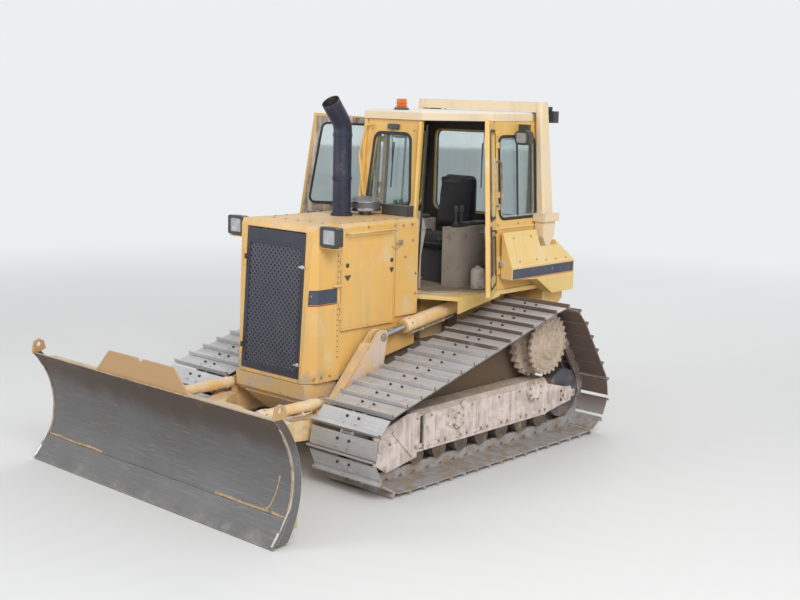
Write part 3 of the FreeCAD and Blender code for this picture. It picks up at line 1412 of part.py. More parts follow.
def build_yoke():
    """The yoke that swings on the nose pin and carries the blade on its tilt pin."""
    low = d.arm_bottom + 6
    high = d.arm_top - 6
    hub = rod("yoke_hub", "z", 92, high - low, d.nose_x, 0, low)
    neck = block("yoke_neck", (d.nose_x + 40, -88, low), (d.yoke_bar_x - 38, 88, high))
    bar = plate("yoke_bar", "YZ_Plane", (
        (-d.yoke_reach - 30, d.angle_pin_z - 105), (-d.yoke_reach + 80, d.angle_pin_z - 150), (-140, low),
        (140, low), (d.yoke_reach - 80, d.angle_pin_z - 150), (d.yoke_reach + 30, d.angle_pin_z - 105),
        (d.yoke_reach + 30, d.angle_pin_z - 38), (d.yoke_reach - 100, d.angle_pin_z - 38),
        (110, d.angle_pin_z + 30), (80, d.angle_pin_z + 130), (-80, d.angle_pin_z + 130),
        (-110, d.angle_pin_z + 30), (-d.yoke_reach + 100, d.angle_pin_z - 38),
        (-d.yoke_reach - 30, d.angle_pin_z - 38),
    ), 60, d.yoke_bar_x - 10)
    pin = rod("tilt_pin", "x", d.tilt_pin_radius, 120, d.yoke_bar_x - 10, 0, d.tilt_pin_z)
    bore = rod("yoke_bore", "z", d.nose_pin_radius + d.pin_clearance, high - low + 200, d.nose_x, 0, low - 100)
    pins = []
    for side, sign in SIDES:
        pins.append(rod(f"yoke_end_pad_{side}", "z", d.small_pin_radius + 15, 15, d.yoke_bar_x,
                        d.yoke_reach * sign, d.angle_pin_z - 50))
    pins.append(rod("tilt_anchor_pin", "x", d.small_pin_radius, d.tilt_ram_x + 30 - d.yoke_bar_x,
                    d.yoke_bar_x, -d.tilt_ram_reach, d.tilt_ram_z))
    pins.append(plate("tilt_anchor", "YZ_Plane", (
        (-d.tilt_ram_reach - 50, d.angle_pin_z - 60), (-d.tilt_ram_reach + 70, d.angle_pin_z - 60),
        (-d.tilt_ram_reach + 45, d.tilt_ram_z + 50), (-d.tilt_ram_reach - 45, d.tilt_ram_z + 50),
    ), 60, d.yoke_bar_x - 10))
    solid = joined("yoke_solid", hub, neck, bar, pin, *pins)
    keep("angle_yoke", less("angle_yoke", solid, bore))


def blade_x(height, extra=0):
    """The x of the moldboard's curve at a height, or of a curve extra further back."""
    radius = d.blade_radius + extra
    centre_z = d.blade_height / 2
    depth = Size.of(height) - centre_z
    centre_x = d.blade_front + (d.blade_radius * d.blade_radius - centre_z * centre_z).root()
    return centre_x - (radius * radius - depth * depth).root()


def build_blade():
    """The moldboard with its cutting edge, end plates, back boxes and guard."""
    low = d.edge_height * 0.35
    high = d.blade_height
    back = d.blade_radius + d.blade_skin
    skin = plate("skin", "XZ_Plane", (
        (blade_x(low), low), (blade_x(low, d.blade_skin), low, -back),
        (blade_x(high, d.blade_skin), high), (blade_x(high), high, d.blade_radius),
    ), d.blade_width)
    parts = [skin]
    for side, sign in SIDES:
        level = (d.blade_width / 2 - 10) * sign
        parts.append(plate(f"end_plate_{side}", "XZ_Plane", (
            (blade_x(30, 1), 30), (blade_x(30, 85), 30, -(d.blade_radius + 85)),
            (blade_x(high, 60), high), (blade_x(high, 95), high + 20), (blade_x(high, 80), high + 88),
            (blade_x(high, 48), high + 108), (blade_x(high, 12), high + 88), (blade_x(high, 1), high, d.blade_radius + 1),
        ), 20, level, holes=((blade_x(high, 46), high + 62, 22),)))
    parts.append(plate("spill_guard", "YZ_Plane", (
        (-600, d.blade_height - 6), (600, d.blade_height - 6), (410, d.blade_height + 190),
        (30, d.blade_height + 190), (18, d.blade_height + 168), (-18, d.blade_height + 168),
        (-30, d.blade_height + 190), (-410, d.blade_height + 190),
    ), d.blade_skin, blade_x(high, 7)))
    keep("moldboard", joined("moldboard", *parts))

    boxes = []
    for name, z, depth, tall in (("top_box", d.blade_height - 110, 95, 130), ("low_box", 170, 95, 150),
                                 ("mid_box", d.tilt_pin_z + 30, 70, 140)):
        boxes.append(plate(name, "XZ_Plane", (
            (blade_x(z - tall / 2, d.blade_skin + 0.2), z - tall / 2),
            (blade_x(z, d.blade_skin + depth), z - tall / 2 + 12),
            (blade_x(z, d.blade_skin + depth), z + tall / 2 - 12),
            (blade_x(z + tall / 2, d.blade_skin + 0.2), z + tall / 2, d.blade_radius + d.blade_skin + 0.2),
        ), d.blade_width - 44))
    for number, y in enumerate((-1100, -700, -330, 330, 700, 1100)):
        boxes.append(plate(f"rib_{number}", "XZ_Plane", (
            (blade_x(120, d.blade_skin + 0.2), 120), (blade_x(120, d.blade_skin + 92), 120),
            (blade_x(830, d.blade_skin + 92), 830),
            (blade_x(830, d.blade_skin + 0.2), 830, d.blade_radius + d.blade_skin + 0.2),
        ), 20, y))
    boxes.append(rod("tilt_lug_pin", "x", d.small_pin_radius - d.open_pivot_play, 110, d.tilt_ram_x - 30,
                     d.tilt_ram_reach, d.tilt_ram_z))
    boxes.append(plate("tilt_lug", "YZ_Plane", (
        (d.tilt_ram_reach - 60, d.tilt_ram_z - 200), (d.tilt_ram_reach + 60, d.tilt_ram_z - 200),
        (d.tilt_ram_reach + 50, d.tilt_ram_z + 60), (d.tilt_ram_reach - 50, d.tilt_ram_z + 60),
    ), 70, d.tilt_ram_x + 73))
    boss = block("tilt_boss", (d.yoke_bar_x + 30, -105, d.tilt_pin_z - 105),
                 (blade_x(d.tilt_pin_z, d.blade_skin + 60), 105, d.tilt_pin_z + 105))
    socket = rod("tilt_socket", "x", d.tilt_pin_radius + d.pin_clearance, 200, d.yoke_bar_x - 40, 0, d.tilt_pin_z)
    keep("blade_back", less("blade_back", joined("blade_back_solid", boss, *boxes), socket))

    edge = plate("cutting_edge", "XZ_Plane", (
        (d.blade_front - 4, 0), (d.blade_front + 4, 12),
        (blade_x(d.edge_height, -d.edge_thickness), d.edge_height),
        (blade_x(d.edge_height, -0.3), d.edge_height, d.blade_radius - 0.3), (blade_x(12, -0.3), 12),
    ), d.blade_width)
    keep("cutting_edge", edge)


def build_tilt():
    """The tilt cylinder across the blade's back, from the yoke's right to the blade's left."""
    ram("tilt", (d.tilt_ram_x.number, -d.tilt_ram_reach.number, d.tilt_ram_z.number),
        (d.tilt_ram_x.number, d.tilt_ram_reach.number, d.tilt_ram_z.number), d.tilt_barrel_length.number,
        d.tilt_barrel_radius.number, d.tilt_rod_radius.number, 60, 40, 50, "y")


def ram(name, start, finish, barrel_length, barrel_radius, rod_radius, stroke, eye_radius, eye_width, axis,
        pinned=False):
    """A hydraulic cylinder from its anchor pin to its rod pin, as a barrel and a rod.

    Stroke is how far the rod can run in from where it stands. A pinned rod keeps its pin in its eye.
    """
    start = FreeCAD.Vector(*start)
    finish = FreeCAD.Vector(*finish)
    reach = (finish - start).Length
    bore = d.small_pin_radius + d.pin_clearance
    barrel = lathe(f"{name}_tube", "x", (
        (0, eye_radius * 0.6), (barrel_radius * 0.7, eye_radius * 0.6), (barrel_radius, eye_radius + 22),
        (barrel_radius, barrel_length), (rod_radius + 0.1, barrel_length),
        (rod_radius + 0.1, eye_radius + 60), (0, eye_radius + 60),
    ), 0, 0, 0)
    eye = rod(f"{name}_eye", "y", eye_radius, eye_width, 0, -Size.of(eye_width) / 2, 0)
    hole = rod(f"{name}_eye_bore", "y", bore, eye_width * 3, 0, -Size.of(eye_width) * 1.5, 0)
    barrel_node = less(f"{name}_barrel", joined(f"{name}_barrel_solid", barrel, eye), hole)
    inner = eye_radius + 68 + stroke
    stem = rod(f"{name}_stem", "x", rod_radius, reach - inner, inner, 0, 0)
    rod_eye = rod(f"{name}_rod_eye", "y", eye_radius, eye_width, reach, -Size.of(eye_width) / 2, 0)
    if pinned:
        rod_pin = rod(f"{name}_rod_pin", "y", d.small_pin_radius - 5, eye_width + 14, reach,
                      -Size.of(eye_width) / 2 - 6, 0)
        rod_node = joined(f"{name}_rod", stem, rod_eye, rod_pin)
    else:
        rod_hole = rod(f"{name}_rod_eye_bore", "y", bore, eye_width * 3, reach, -Size.of(eye_width) * 1.5, 0)
        rod_node = less(f"{name}_rod", joined(f"{name}_rod_solid", stem, rod_eye), rod_hole)
    heading = FreeCAD.Rotation(FreeCAD.Vector(1, 0, 0), finish - start)
    if axis != "y":
        heading = heading.multiply(FreeCAD.Rotation(FreeCAD.Vector(1, 0, 0), 90))
    for label, piece in ((f"{name}_barrel", barrel_node), (f"{name}_rod", rod_node)):
        piece.Placement = FreeCAD.Placement(start, heading)
        keep(label, piece)


def build_cylinders():
    """The lift pair, the angle pair and the tilt cylinder."""
    for side, sign in SIDES:
        y = d.arm_y.number * sign
        ram(f"lift_{side}", (d.lift_anchor_x.number, y, d.lift_anchor_z.number),
            (d.tower_pin_x.number, y, d.tower_pin_z.number), d.lift_barrel_length.number,
            d.lift_barrel_radius.number, d.lift_rod_radius.number, d.lift_stroke.number, 50, 60, "y")
        ram(f"angle_{side}", (d.angle_anchor_x.number, y, d.angle_pin_z.number),
            (d.yoke_bar_x.number, d.yoke_reach.number * sign, d.angle_pin_z.number),
            d.angle_barrel_length.number, d.angle_barrel_radius.number, d.angle_rod_radius.number,
            d.angle_stroke.number, 42, 56, "z", pinned=True)


def build_fittings():
    """The beacon, the work lamps and the grab rail."""
    beacon = lathe("beacon", "z", ((0, 0), (60, 0), (60, 24), (46, 24), (46, 102), (0, 102)),
                   -680, -130, roof_top())
    keep("beacon", beacon)
    lamps = []
    for side, sign in SIDES:
        y = (d.cab_side_top + 96) * sign
        low_y = d.cab_side - cab_inset(d.cab_eave - 78) + d.running_gap
        stem_low, stem_high = (low_y, d.cab_side_top + 100) if sign > 0 else (-d.cab_side_top - 100, -low_y)
        head = lathe(f"side_lamp_{side}", "x", (
            (0, 0), (34, 8), (66, 50), (76, 92), (76, 100), (0, 100)), -1440, y, d.cab_eave - 140)
        stem = block(f"side_lamp_stem_{side}", (-1440, stem_low, d.cab_eave - 78),
                     (-1400, stem_high, d.cab_eave - 28))
        hanger = block(f"side_lamp_hanger_{side}", (-1440, y - 20, d.cab_eave - 130),
                       (-1400, y + 20, d.cab_eave - 28))
        lamps.append(joined(f"side_lamp_set_{side}", head, stem, hanger))
        rear_y = (d.cab_side_top + 50) * sign
        case = block(f"rear_lamp_{side}", (-1880, rear_y - 62, d.cab_eave - 15),
                     (-1800, rear_y + 62, d.cab_eave + 95))
        arm = block(f"rear_lamp_arm_{side}", (-1800, rear_y - 20, d.cab_eave + 105),
                    (d.rops_top_x - 68, rear_y + 20, d.cab_eave + 135))
        rear_hanger = block(f"rear_lamp_hanger_{side}", (-1835, rear_y - 20, roof_top()),
                            (-1800, rear_y + 20, d.cab_eave + 135))
        lamps.append(joined(f"rear_lamp_set_{side}", case, arm, rear_hanger))
    keep("work_lamps", group("work_lamps", *lamps))


def check_and_write():
    """Check every object and sub-part, then write each sub-part to its own file."""
    document.recompute()
    for thing in document.Objects:
        if "Invalid" in thing.State or "Error" in thing.State:
            raise RuntimeError(f"{thing.Name} did not build: {thing.State}")
    os.makedirs("parts", exist_ok=True)
    for node in nodes:
        if node.Shape.isNull() or not node.Shape.isValid():
            raise RuntimeError(f"{node.Label} has no valid shape")
        node.Shape.exportStep(os.path.join("parts", f"{node.Label}.step"))


for side_name, side_sign in SIDES:
    build_track(side_name, side_sign)
build_drive()
build_track_frames()
build_main_frame()
build_radiator_guard()
build_grille()
build_hood()
build_exhaust()
build_headlamps()
build_cab()
build_grab_rail()
build_glass()
build_cab_doors()
build_cab_inside()
build_rear()
build_c_frame()
build_yoke()
build_blade()
build_cylinders()
build_tilt()
build_fittings()
check_and_write()
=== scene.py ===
"""The looks of a crawler bulldozer with wide tracks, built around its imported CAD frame.

Every length is in metres, in the frame of the CAD: +X to the blade, +Y to the machine's left,
+Z up, with z = 0 on the ground.
"""
import json
import logging
import math
import random
from dataclasses import dataclass
from enum import Enum

import bmesh
import bpy
from mathutils import Matrix, Vector

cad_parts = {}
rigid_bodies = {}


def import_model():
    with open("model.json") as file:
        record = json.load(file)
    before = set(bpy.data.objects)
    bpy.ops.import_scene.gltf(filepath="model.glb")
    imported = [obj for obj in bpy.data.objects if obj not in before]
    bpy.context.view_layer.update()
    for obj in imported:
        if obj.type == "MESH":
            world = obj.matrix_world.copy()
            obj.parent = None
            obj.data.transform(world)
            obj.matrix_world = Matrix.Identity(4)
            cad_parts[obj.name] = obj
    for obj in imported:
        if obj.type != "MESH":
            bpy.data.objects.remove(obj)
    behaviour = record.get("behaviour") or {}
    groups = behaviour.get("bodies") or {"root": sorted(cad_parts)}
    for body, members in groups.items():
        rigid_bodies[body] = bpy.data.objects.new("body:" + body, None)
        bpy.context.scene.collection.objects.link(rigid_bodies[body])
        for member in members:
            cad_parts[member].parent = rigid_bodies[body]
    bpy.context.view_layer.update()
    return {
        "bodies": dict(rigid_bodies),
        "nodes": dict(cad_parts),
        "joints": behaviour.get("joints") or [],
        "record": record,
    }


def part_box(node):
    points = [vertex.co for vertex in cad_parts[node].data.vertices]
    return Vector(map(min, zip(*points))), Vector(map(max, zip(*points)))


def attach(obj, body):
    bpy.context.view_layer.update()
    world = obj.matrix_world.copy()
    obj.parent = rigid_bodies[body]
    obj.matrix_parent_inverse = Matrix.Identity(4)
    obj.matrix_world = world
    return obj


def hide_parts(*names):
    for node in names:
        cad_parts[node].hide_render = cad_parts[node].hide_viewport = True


LOG = logging.getLogger("bulldozer")
Colour = tuple[float, float, float]
Point = tuple[float, float, float]
Spot = tuple[float, float]
Outline = list[Spot]
SIDES = (("left", 1.0), ("right", -1.0))
TRACK_MIDDLE: Point = (-0.45, 0.0, 0.55)


# Node trees


class Graph:
    """Adds nodes and links to one node tree."""

    def __init__(self, tree: bpy.types.NodeTree) -> None:
        """Starts on a tree.

        Args:
            tree: the material's or group's node tree.
        """
        self.tree = tree

    def node(self, kind: str, inputs: dict | None = None, **settings) -> bpy.types.Node:
        """Adds a node.

        Args:
            kind: Blender's name of the node's type.
            inputs: values or sockets, by the input's name or number.
            settings: attributes of the node itself.

        Returns:
            The new node.
        """
        made = self.tree.nodes.new(kind)
        for name, value in settings.items():
            setattr(made, name, value)
        for name, value in (inputs or {}).items():
            self.feed(made.inputs[name], value)
        return made

    def feed(self, socket: bpy.types.NodeSocket, value) -> None:
        """Links a socket into an input, or sets the input's value."""
        if isinstance(value, bpy.types.NodeSocket):
            self.tree.links.new(value, socket)
        elif isinstance(value, tuple) and len(value) == 3 and socket.type == "RGBA":
            socket.default_value = (*value, 1.0)
        else:
            socket.default_value = value

    def math(self, operation: str, first, second=0.0) -> bpy.types.NodeSocket:
        """Combines two values and returns the result's socket."""
        return self.node("ShaderNodeMath", {0: first, 1: second}, operation=operation).outputs[0]

    def times(self, first, second) -> bpy.types.NodeSocket:
        """Multiplies two values."""
        return self.math("MULTIPLY", first, second)

    def mix(self, factor, first, second) -> bpy.types.NodeSocket:
        """Mixes two colours and returns the result's socket."""
        return self.node("ShaderNodeMix", {0: factor, 6: first, 7: second},
            data_type="RGBA").outputs[2]

    def blend(self, factor, first, second) -> bpy.types.NodeSocket:
        """Mixes two values and returns the result's socket."""
        return self.node("ShaderNodeMix", {0: factor, 2: first, 3: second}).outputs[0]

    def noise(self, vector, scale, detail: float = 4.0,
            roughness: float = 0.6) -> bpy.types.NodeSocket:
        """Returns a noise value between 0 and 1 over a vector."""
        made = self.node("ShaderNodeTexNoise", {"Vector": vector, "Scale": scale, "Detail": detail,
                                                "Roughness": roughness})
        return made.outputs[0]

    def ramp(self, value, low, high) -> bpy.types.NodeSocket:
        """Returns 0 where the value is under low, 1 over high and a smooth rise between."""
        return self.node("ShaderNodeMapRange", {0: value, 1: low, 2: high},
                         interpolation_type="SMOOTHSTEP").outputs[0]

    def under(self, value, low, high) -> bpy.types.NodeSocket:
        """Returns 1 where the value is under low, 0 over high and a smooth fall between."""
        return self.math("SUBTRACT", 1.0, self.ramp(value, low, high))

    def swing(self, noise, share: float) -> bpy.types.NodeSocket:
        """Returns a noise moved to lie about 0, and made that large."""
        return self.times(self.math("SUBTRACT", noise, 0.5), share)

    def place(self) -> bpy.types.NodeSocket:
        """Returns the point's place in the row frame at rest."""
        return self.node("ShaderNodeTexCoord").outputs["Object"]

    def part(self, vector, axis: int) -> bpy.types.NodeSocket:
        """Returns a vector's x, y or z."""
        return self.node("ShaderNodeSeparateXYZ", {0: vector}).outputs[axis]

    def facing(self) -> bpy.types.NodeSocket:
        """Returns the surface's normal."""
        return self.node("ShaderNodeNewGeometry").outputs["Normal"]

    def dot(self, first, second) -> bpy.types.NodeSocket:
        """Returns the dot product of two vectors."""
        made = self.node("ShaderNodeVectorMath", {0: first, 1: second}, operation="DOT_PRODUCT")
        return made.outputs["Value"]

    def stretched(self, vector, scale: Point) -> bpy.types.NodeSocket:
        """Returns a vector scaled along the three axes."""
        return self.node("ShaderNodeMapping", {"Vector": vector, "Scale": scale}).outputs[0]


class Effect(Enum):
    """What can lie over, or be worn into, a finish."""

    EDGES = "Worn edges"
    DUST = "Settled dust"
    MUD = "Mud from below"
    ABOVE = "Coat over a height"
    STREAKS = "Run streaks"
    PATCHES = "Blotches"
    SCRATCHES = "Scratches"
    SPECKS = "Chips"
    # INWARD: dirt and painted shade on what looks into the track's loop.
    INWARD = "Inside of the track"
    # BEHIND: dirt and painted shade over what lies behind a place along the machine.
    BEHIND = "Dirt and painted shade to the rear"


class EffectLibrary:
    """The node groups that give each effect's mask, each one built once."""

    @classmethod
    def group(cls, effect: Effect) -> bpy.types.NodeTree:
        """Returns an effect's node group, which has Scale, Amount, Low and High and gives Mask."""
        found = bpy.data.node_groups.get(effect.value)
        if found:
            return found
        tree = bpy.data.node_groups.new(effect.value, "ShaderNodeTree")
        for name, value in (("Scale", 4.0), ("Amount", 0.5), ("Low", 0.0), ("High", 1.0)):
            socket = tree.interface.new_socket(name, in_out="INPUT", socket_type="NodeSocketFloat")
            socket.default_value = value
        tree.interface.new_socket("Mask", in_out="OUTPUT", socket_type="NodeSocketFloat")
        graph = Graph(tree)
        given = graph.node("NodeGroupInput").outputs
        result = graph.node("NodeGroupOutput")
        mask = getattr(cls, effect.name.lower())(graph, given)
        graph.feed(result.inputs["Mask"], mask)
        return tree

    @staticmethod
    def cut(graph: Graph, noise, amount, softness: float = 0.12) -> bpy.types.NodeSocket:
        """Returns a mask that covers more of the surface as the amount grows."""
        level = graph.math("SUBTRACT", 0.82, graph.times(amount, 0.64))
        return graph.ramp(noise, graph.math("SUBTRACT", level, softness),
                          graph.math("ADD", level, softness))

    @classmethod
    def edges(cls, graph: Graph, given) -> bpy.types.NodeSocket:
        """Bare metal and rubbed paint along convex edges; Low is the width in metres."""
        rounded_normal = graph.node("ShaderNodeBevel", {"Radius": given["Low"]},
            samples=4).outputs[0]
        bend = graph.math("SUBTRACT", 1.0, graph.dot(rounded_normal, graph.facing()))
        rough = graph.noise(graph.place(), given["Scale"], 5.0, 0.7)
        wear = graph.math("ADD", graph.times(bend, 5.0), graph.math("SUBTRACT", rough, 0.5))
        level = graph.math("SUBTRACT", 1.05, given["Amount"])
        return graph.ramp(wear, level, graph.math("ADD", level, 0.25))

    @classmethod
    def dust(cls, graph: Graph, given) -> bpy.types.NodeSocket:
        """Dust on what faces up."""
        upward = graph.ramp(graph.part(graph.facing(), 2), 0.15, 0.95)
        noise = graph.noise(graph.place(), given["Scale"], 6.0, 0.65)
        return graph.times(upward, cls.cut(graph, noise, given["Amount"], 0.22))

    @classmethod
    def mud(cls, graph: Graph, given) -> bpy.types.NodeSocket:
        """Mud that thins out between the heights Low and High."""
        place = graph.place()
        below = graph.under(graph.part(place, 2), given["Low"], given["High"])
        noise = graph.noise(place, given["Scale"], 7.0, 0.65)
        level = graph.math("ADD", graph.times(below, given["Amount"]), graph.swing(noise, 1.1))
        return graph.ramp(level, 0.32, 0.62)

    @classmethod
    def above(cls, graph: Graph, given) -> bpy.types.NodeSocket:
        """A coat that begins between the heights Low and High and covers what is over them."""
        place = graph.place()
        over = graph.ramp(graph.part(place, 2), given["Low"], given["High"])
        noise = graph.noise(graph.stretched(place, (1.0, 1.0, 0.5)), given["Scale"], 6.0, 0.6)
        level = graph.math("ADD", graph.times(over, given["Amount"]), graph.swing(noise, 0.9))
        return graph.ramp(level, 0.25, 0.7)

    @classmethod
    def streaks(cls, graph: Graph, given) -> bpy.types.NodeSocket:
        """Narrow streaks that run down."""
        place = graph.stretched(graph.place(), (1.0, 1.0, 0.1))
        return cls.cut(graph, graph.noise(place, given["Scale"], 5.0, 0.6), given["Amount"])

    @classmethod
    def patches(cls, graph: Graph, given) -> bpy.types.NodeSocket:
        """Soft blotches."""
        noise = graph.noise(graph.place(), given["Scale"], 6.0, 0.62)
        return cls.cut(graph, noise, given["Amount"], 0.1)

    @classmethod
    def specks(cls, graph: Graph, given) -> bpy.types.NodeSocket:
        """Small chips with sharp edges."""
        noise = graph.noise(graph.place(), given["Scale"], 3.0, 0.5)
        return cls.cut(graph, noise, given["Amount"], 0.02)

    @classmethod
    def inward(cls, graph: Graph, given) -> bpy.types.NodeSocket:
        """Dirt and painted shade on what looks into the track's loop, such as the grousers' rear
        faces; Low and High are the edge of the mask.
        """
        away = graph.node("ShaderNodeVectorMath", {0: graph.place(), 1: TRACK_MIDDLE},
                          operation="SUBTRACT").outputs[0]
        level = graph.dot(graph.stretched(away, (1.0, 0.0, 1.0)), graph.facing())
        noise = graph.swing(graph.noise(graph.place(), given["Scale"]), 0.2)
        inside = graph.under(graph.math("ADD", level, noise), given["Low"], given["High"])
        raised = graph.blend(graph.ramp(graph.part(graph.place(), 2), 0.10, 0.34), 0.30, 1.0)
        return graph.times(graph.times(inside, raised), given["Amount"])

    @classmethod
    def behind(cls, graph: Graph, given) -> bpy.types.NodeSocket:
        """Dirt and painted shade that cover what lies behind the places Low to High along the
        machine.
        """
        place = graph.place()
        noise = graph.swing(graph.noise(place, given["Scale"]), 0.5)
        along = graph.math("ADD", graph.part(place, 0), noise)
        return graph.times(graph.under(along, given["Low"], given["High"]), given["Amount"])

    @classmethod
    def scratches(cls, graph: Graph, given) -> bpy.types.NodeSocket:
        """Long thin scratches that lie along the ground."""
        bent = graph.node("ShaderNodeMapping", {"Vector": graph.place(), "Scale": (1.0, 0.05, 1.0),
                                                "Rotation": (0.12, 0.0, 0.0)}).outputs[0]
        noise = graph.noise(bent, given["Scale"], 6.0, 0.7)
        return cls.cut(graph, noise, given["Amount"], 0.08)


# Finishes


@dataclass(frozen=True)
class Coat:
    """One layer over a finish.

    Low and high are heights for mud and stains, and low is the width for worn edges.
    """

    effect: Effect
    colour: Colour
    amount: float = 0.5
    scale: float = 4.0
    low: float = 0.0
    high: float = 1.0
    roughness: float = 0.85
    metallic: float = 0.0
    relief: float = 0.0


@dataclass(frozen=True)
class Finish:
    """A surface: its own colour, and the coats that lie over it in order."""

    name: str
    slot: str
    colour: Colour
    tint: Colour
    roughness: float = 0.5
    metallic: float = 0.0
    tint_scale: float = 2.5
    grain: float = 0.12
    grain_scale: float = 90.0
    gloss: float = 0.0
    clearness: float = 0.0
    coats: tuple[Coat, ...] = ()

    def material(self) -> bpy.types.Material:
        """Returns this finish's material, which is made on the first call."""
        label = f"{self.name}_finish"
        found = bpy.data.materials.get(label)
        if found:
            return found
        made = bpy.data.materials.new(label)
        made.use_nodes = True
        made.node_tree.nodes.clear()
        graph = Graph(made.node_tree)
        place = graph.place()
        shader = graph.node("ShaderNodeBsdfPrincipled")
        drift = graph.ramp(graph.noise(place, self.tint_scale, 5.0, 0.6), 0.3, 0.7)
        colour = graph.mix(drift, self.colour, self.tint)
        roughness = graph.blend(drift, self.roughness, min(1.0, self.roughness * 1.2))
        metallic = None
        height = graph.times(graph.noise(place, self.grain_scale, 5.0, 0.65), self.grain)
        for coat in self.coats:
            group = graph.node("ShaderNodeGroup", node_tree=EffectLibrary.group(coat.effect))
            for name, value in (("Scale", coat.scale), ("Amount", coat.amount), ("Low", coat.low),
                                ("High", coat.high)):
                group.inputs[name].default_value = value
            mask = group.outputs["Mask"]
            colour = graph.mix(mask, colour, coat.colour)
            roughness = graph.blend(mask, roughness, coat.roughness)
            if coat.metallic != self.metallic or metallic is not None:
                metallic = graph.blend(mask, self.metallic if metallic is None else metallic,
                    coat.metallic)
            if coat.relief:
                height = graph.math("ADD", height, graph.times(mask, coat.relief))
        bump = graph.node("ShaderNodeBump", {"Height": height, "Strength": 0.6, "Distance": 0.004})
        graph.feed(shader.inputs["Base Color"], colour)
        graph.feed(shader.inputs["Roughness"], roughness)
        graph.feed(shader.inputs["Metallic"], self.metallic if metallic is None else metallic)
        graph.feed(shader.inputs["Normal"], bump.outputs[0])
        if self.gloss:
            shader.inputs["Coat Weight"].default_value = self.gloss
            shader.inputs["Coat Roughness"].default_value = 0.12
        if self.clearness:
            shader.inputs["Transmission Weight"].default_value = self.clearness
            shader.inputs["IOR"].default_value = 1.45
        output = graph.node("ShaderNodeOutputMaterial")
        made.node_tree.links.new(shader.outputs[0], output.inputs[0])
        return made


EDGES, DUST, MUD, ABOVE, STREAKS, PATCHES, SCRATCHES, SPECKS, INWARD, BEHIND = Effect
EARTH: Colour = (0.46, 0.34, 0.22)
PALE_EARTH: Colour = (0.60, 0.49, 0.38)
BARE: Colour = (0.46, 0.43, 0.40)

PANEL = Finish(
    "panel_yellow", "body_yellow", (0.755, 0.435, 0.115), (0.785, 0.485, 0.165), 0.42, gloss=0.15,
    tint_scale=1.4, grain=0.05,
    coats=(
        Coat(STREAKS, (0.64, 0.42, 0.16), 0.32, 7.0, roughness=0.6),
        Coat(PATCHES, (0.72, 0.53, 0.28), 0.30, 2.6, roughness=0.7),
        Coat(DUST, PALE_EARTH, 0.40, 9.0),
        Coat(MUD, EARTH, 0.45, 9.0, 0.78, 1.15, relief=0.3),
        Coat(EDGES, (0.40, 0.29, 0.16), 0.40, 30.0, 0.005, roughness=0.6),
        Coat(SPECKS, (0.28, 0.19, 0.10), 0.05, 38.0),
    ))
CAB_PANEL = Finish(
    "cab_yellow", "body_yellow", (0.73, 0.43, 0.10), (0.77, 0.48, 0.145), 0.40, gloss=0.15,
    tint_scale=1.4, grain=0.05,
    coats=(
        Coat(STREAKS, (0.66, 0.45, 0.17), 0.28, 8.0, roughness=0.6),
        Coat(PATCHES, (0.72, 0.56, 0.32), 0.26, 3.1, roughness=0.7),
        Coat(DUST, PALE_EARTH, 0.45, 8.0),
        Coat(EDGES, (0.42, 0.31, 0.18), 0.36, 30.0, 0.005, roughness=0.6),
        Coat(SPECKS, (0.30, 0.20, 0.11), 0.04, 33.0),
    ))
# Yellow paint made lighter and more lemon than the hood's: painted sunlight, on every piece in this
# finish.
SUNLIT_FENDER = Finish(
    "fender_yellow_sunlit", "body_yellow", (0.79, 0.52, 0.15), (0.80, 0.56, 0.22), 0.50, gloss=0.08,
    tint_scale=1.8, grain=0.1,
    coats=(
        Coat(PATCHES, (0.80, 0.60, 0.34), 0.34, 3.4, roughness=0.75),
        Coat(STREAKS, (0.68, 0.50, 0.26), 0.24, 9.0, roughness=0.7),
        Coat(DUST, (0.78, 0.66, 0.46), 0.42, 6.0, relief=0.1),
        Coat(MUD, (0.66, 0.47, 0.31), 0.52, 10.0, 1.05, 1.55, relief=0.2),
        Coat(EDGES, (0.42, 0.30, 0.18), 0.40, 30.0, 0.006, roughness=0.6),
    ))
ROOF = Finish(
    "roof_faded", "body_yellow", (0.80, 0.62, 0.38), (0.78, 0.64, 0.46), 0.58,
    tint_scale=2.2, grain=0.08,
    coats=(
        Coat(PATCHES, (0.70, 0.58, 0.42), 0.30, 3.0, roughness=0.8),
        Coat(PATCHES, (0.54, 0.41, 0.28), 0.16, 8.0, roughness=0.85),
        Coat(DUST, (0.76, 0.70, 0.62), 0.80, 7.0),
        Coat(EDGES, (0.34, 0.24, 0.18), 0.40, 26.0, 0.006, roughness=0.7),
    ))
FRAME = Finish(
    "frame_yellow", "frame_yellow", (0.80, 0.48, 0.15), (0.76, 0.52, 0.26), 0.55,
    tint_scale=2.2, grain=0.2,
    coats=(
        Coat(PATCHES, (0.80, 0.60, 0.38), 0.42, 5.0, roughness=0.8),
        Coat(STREAKS, (0.78, 0.60, 0.40), 0.30, 9.0, roughness=0.8),
        Coat(DUST, (0.70, 0.58, 0.44), 0.50, 6.0, relief=0.3),
        Coat(MUD, (0.50, 0.37, 0.25), 0.50, 7.0, 0.30, 0.85, relief=0.4),
        Coat(EDGES, (0.40, 0.29, 0.19), 0.38, 22.0, 0.007, roughness=0.55, metallic=0.4),
        Coat(SPECKS, (0.25, 0.16, 0.09), 0.08, 30.0),
    ))
SHADED_UNDERSIDE = Finish(
    "underside_mud_and_shade", "frame_yellow", (0.70, 0.45, 0.17), (0.64, 0.44, 0.22), 0.65,
    tint_scale=2.2, grain=0.3,
    coats=(
        Coat(PATCHES, (0.56, 0.43, 0.31), 0.46, 5.0, roughness=0.8),
        Coat(DUST, PALE_EARTH, 0.45, 6.0, relief=0.3),
        # Near-black brown over all behind the frame's front part: mud and painted shade of the
        # machine's shaded underside.
        Coat(BEHIND, (0.155, 0.105, 0.072), 0.93, 3.0, 0.25, 0.75, roughness=0.9, relief=0.6),
        Coat(SPECKS, (0.32, 0.23, 0.16), 0.20, 18.0),
    ))
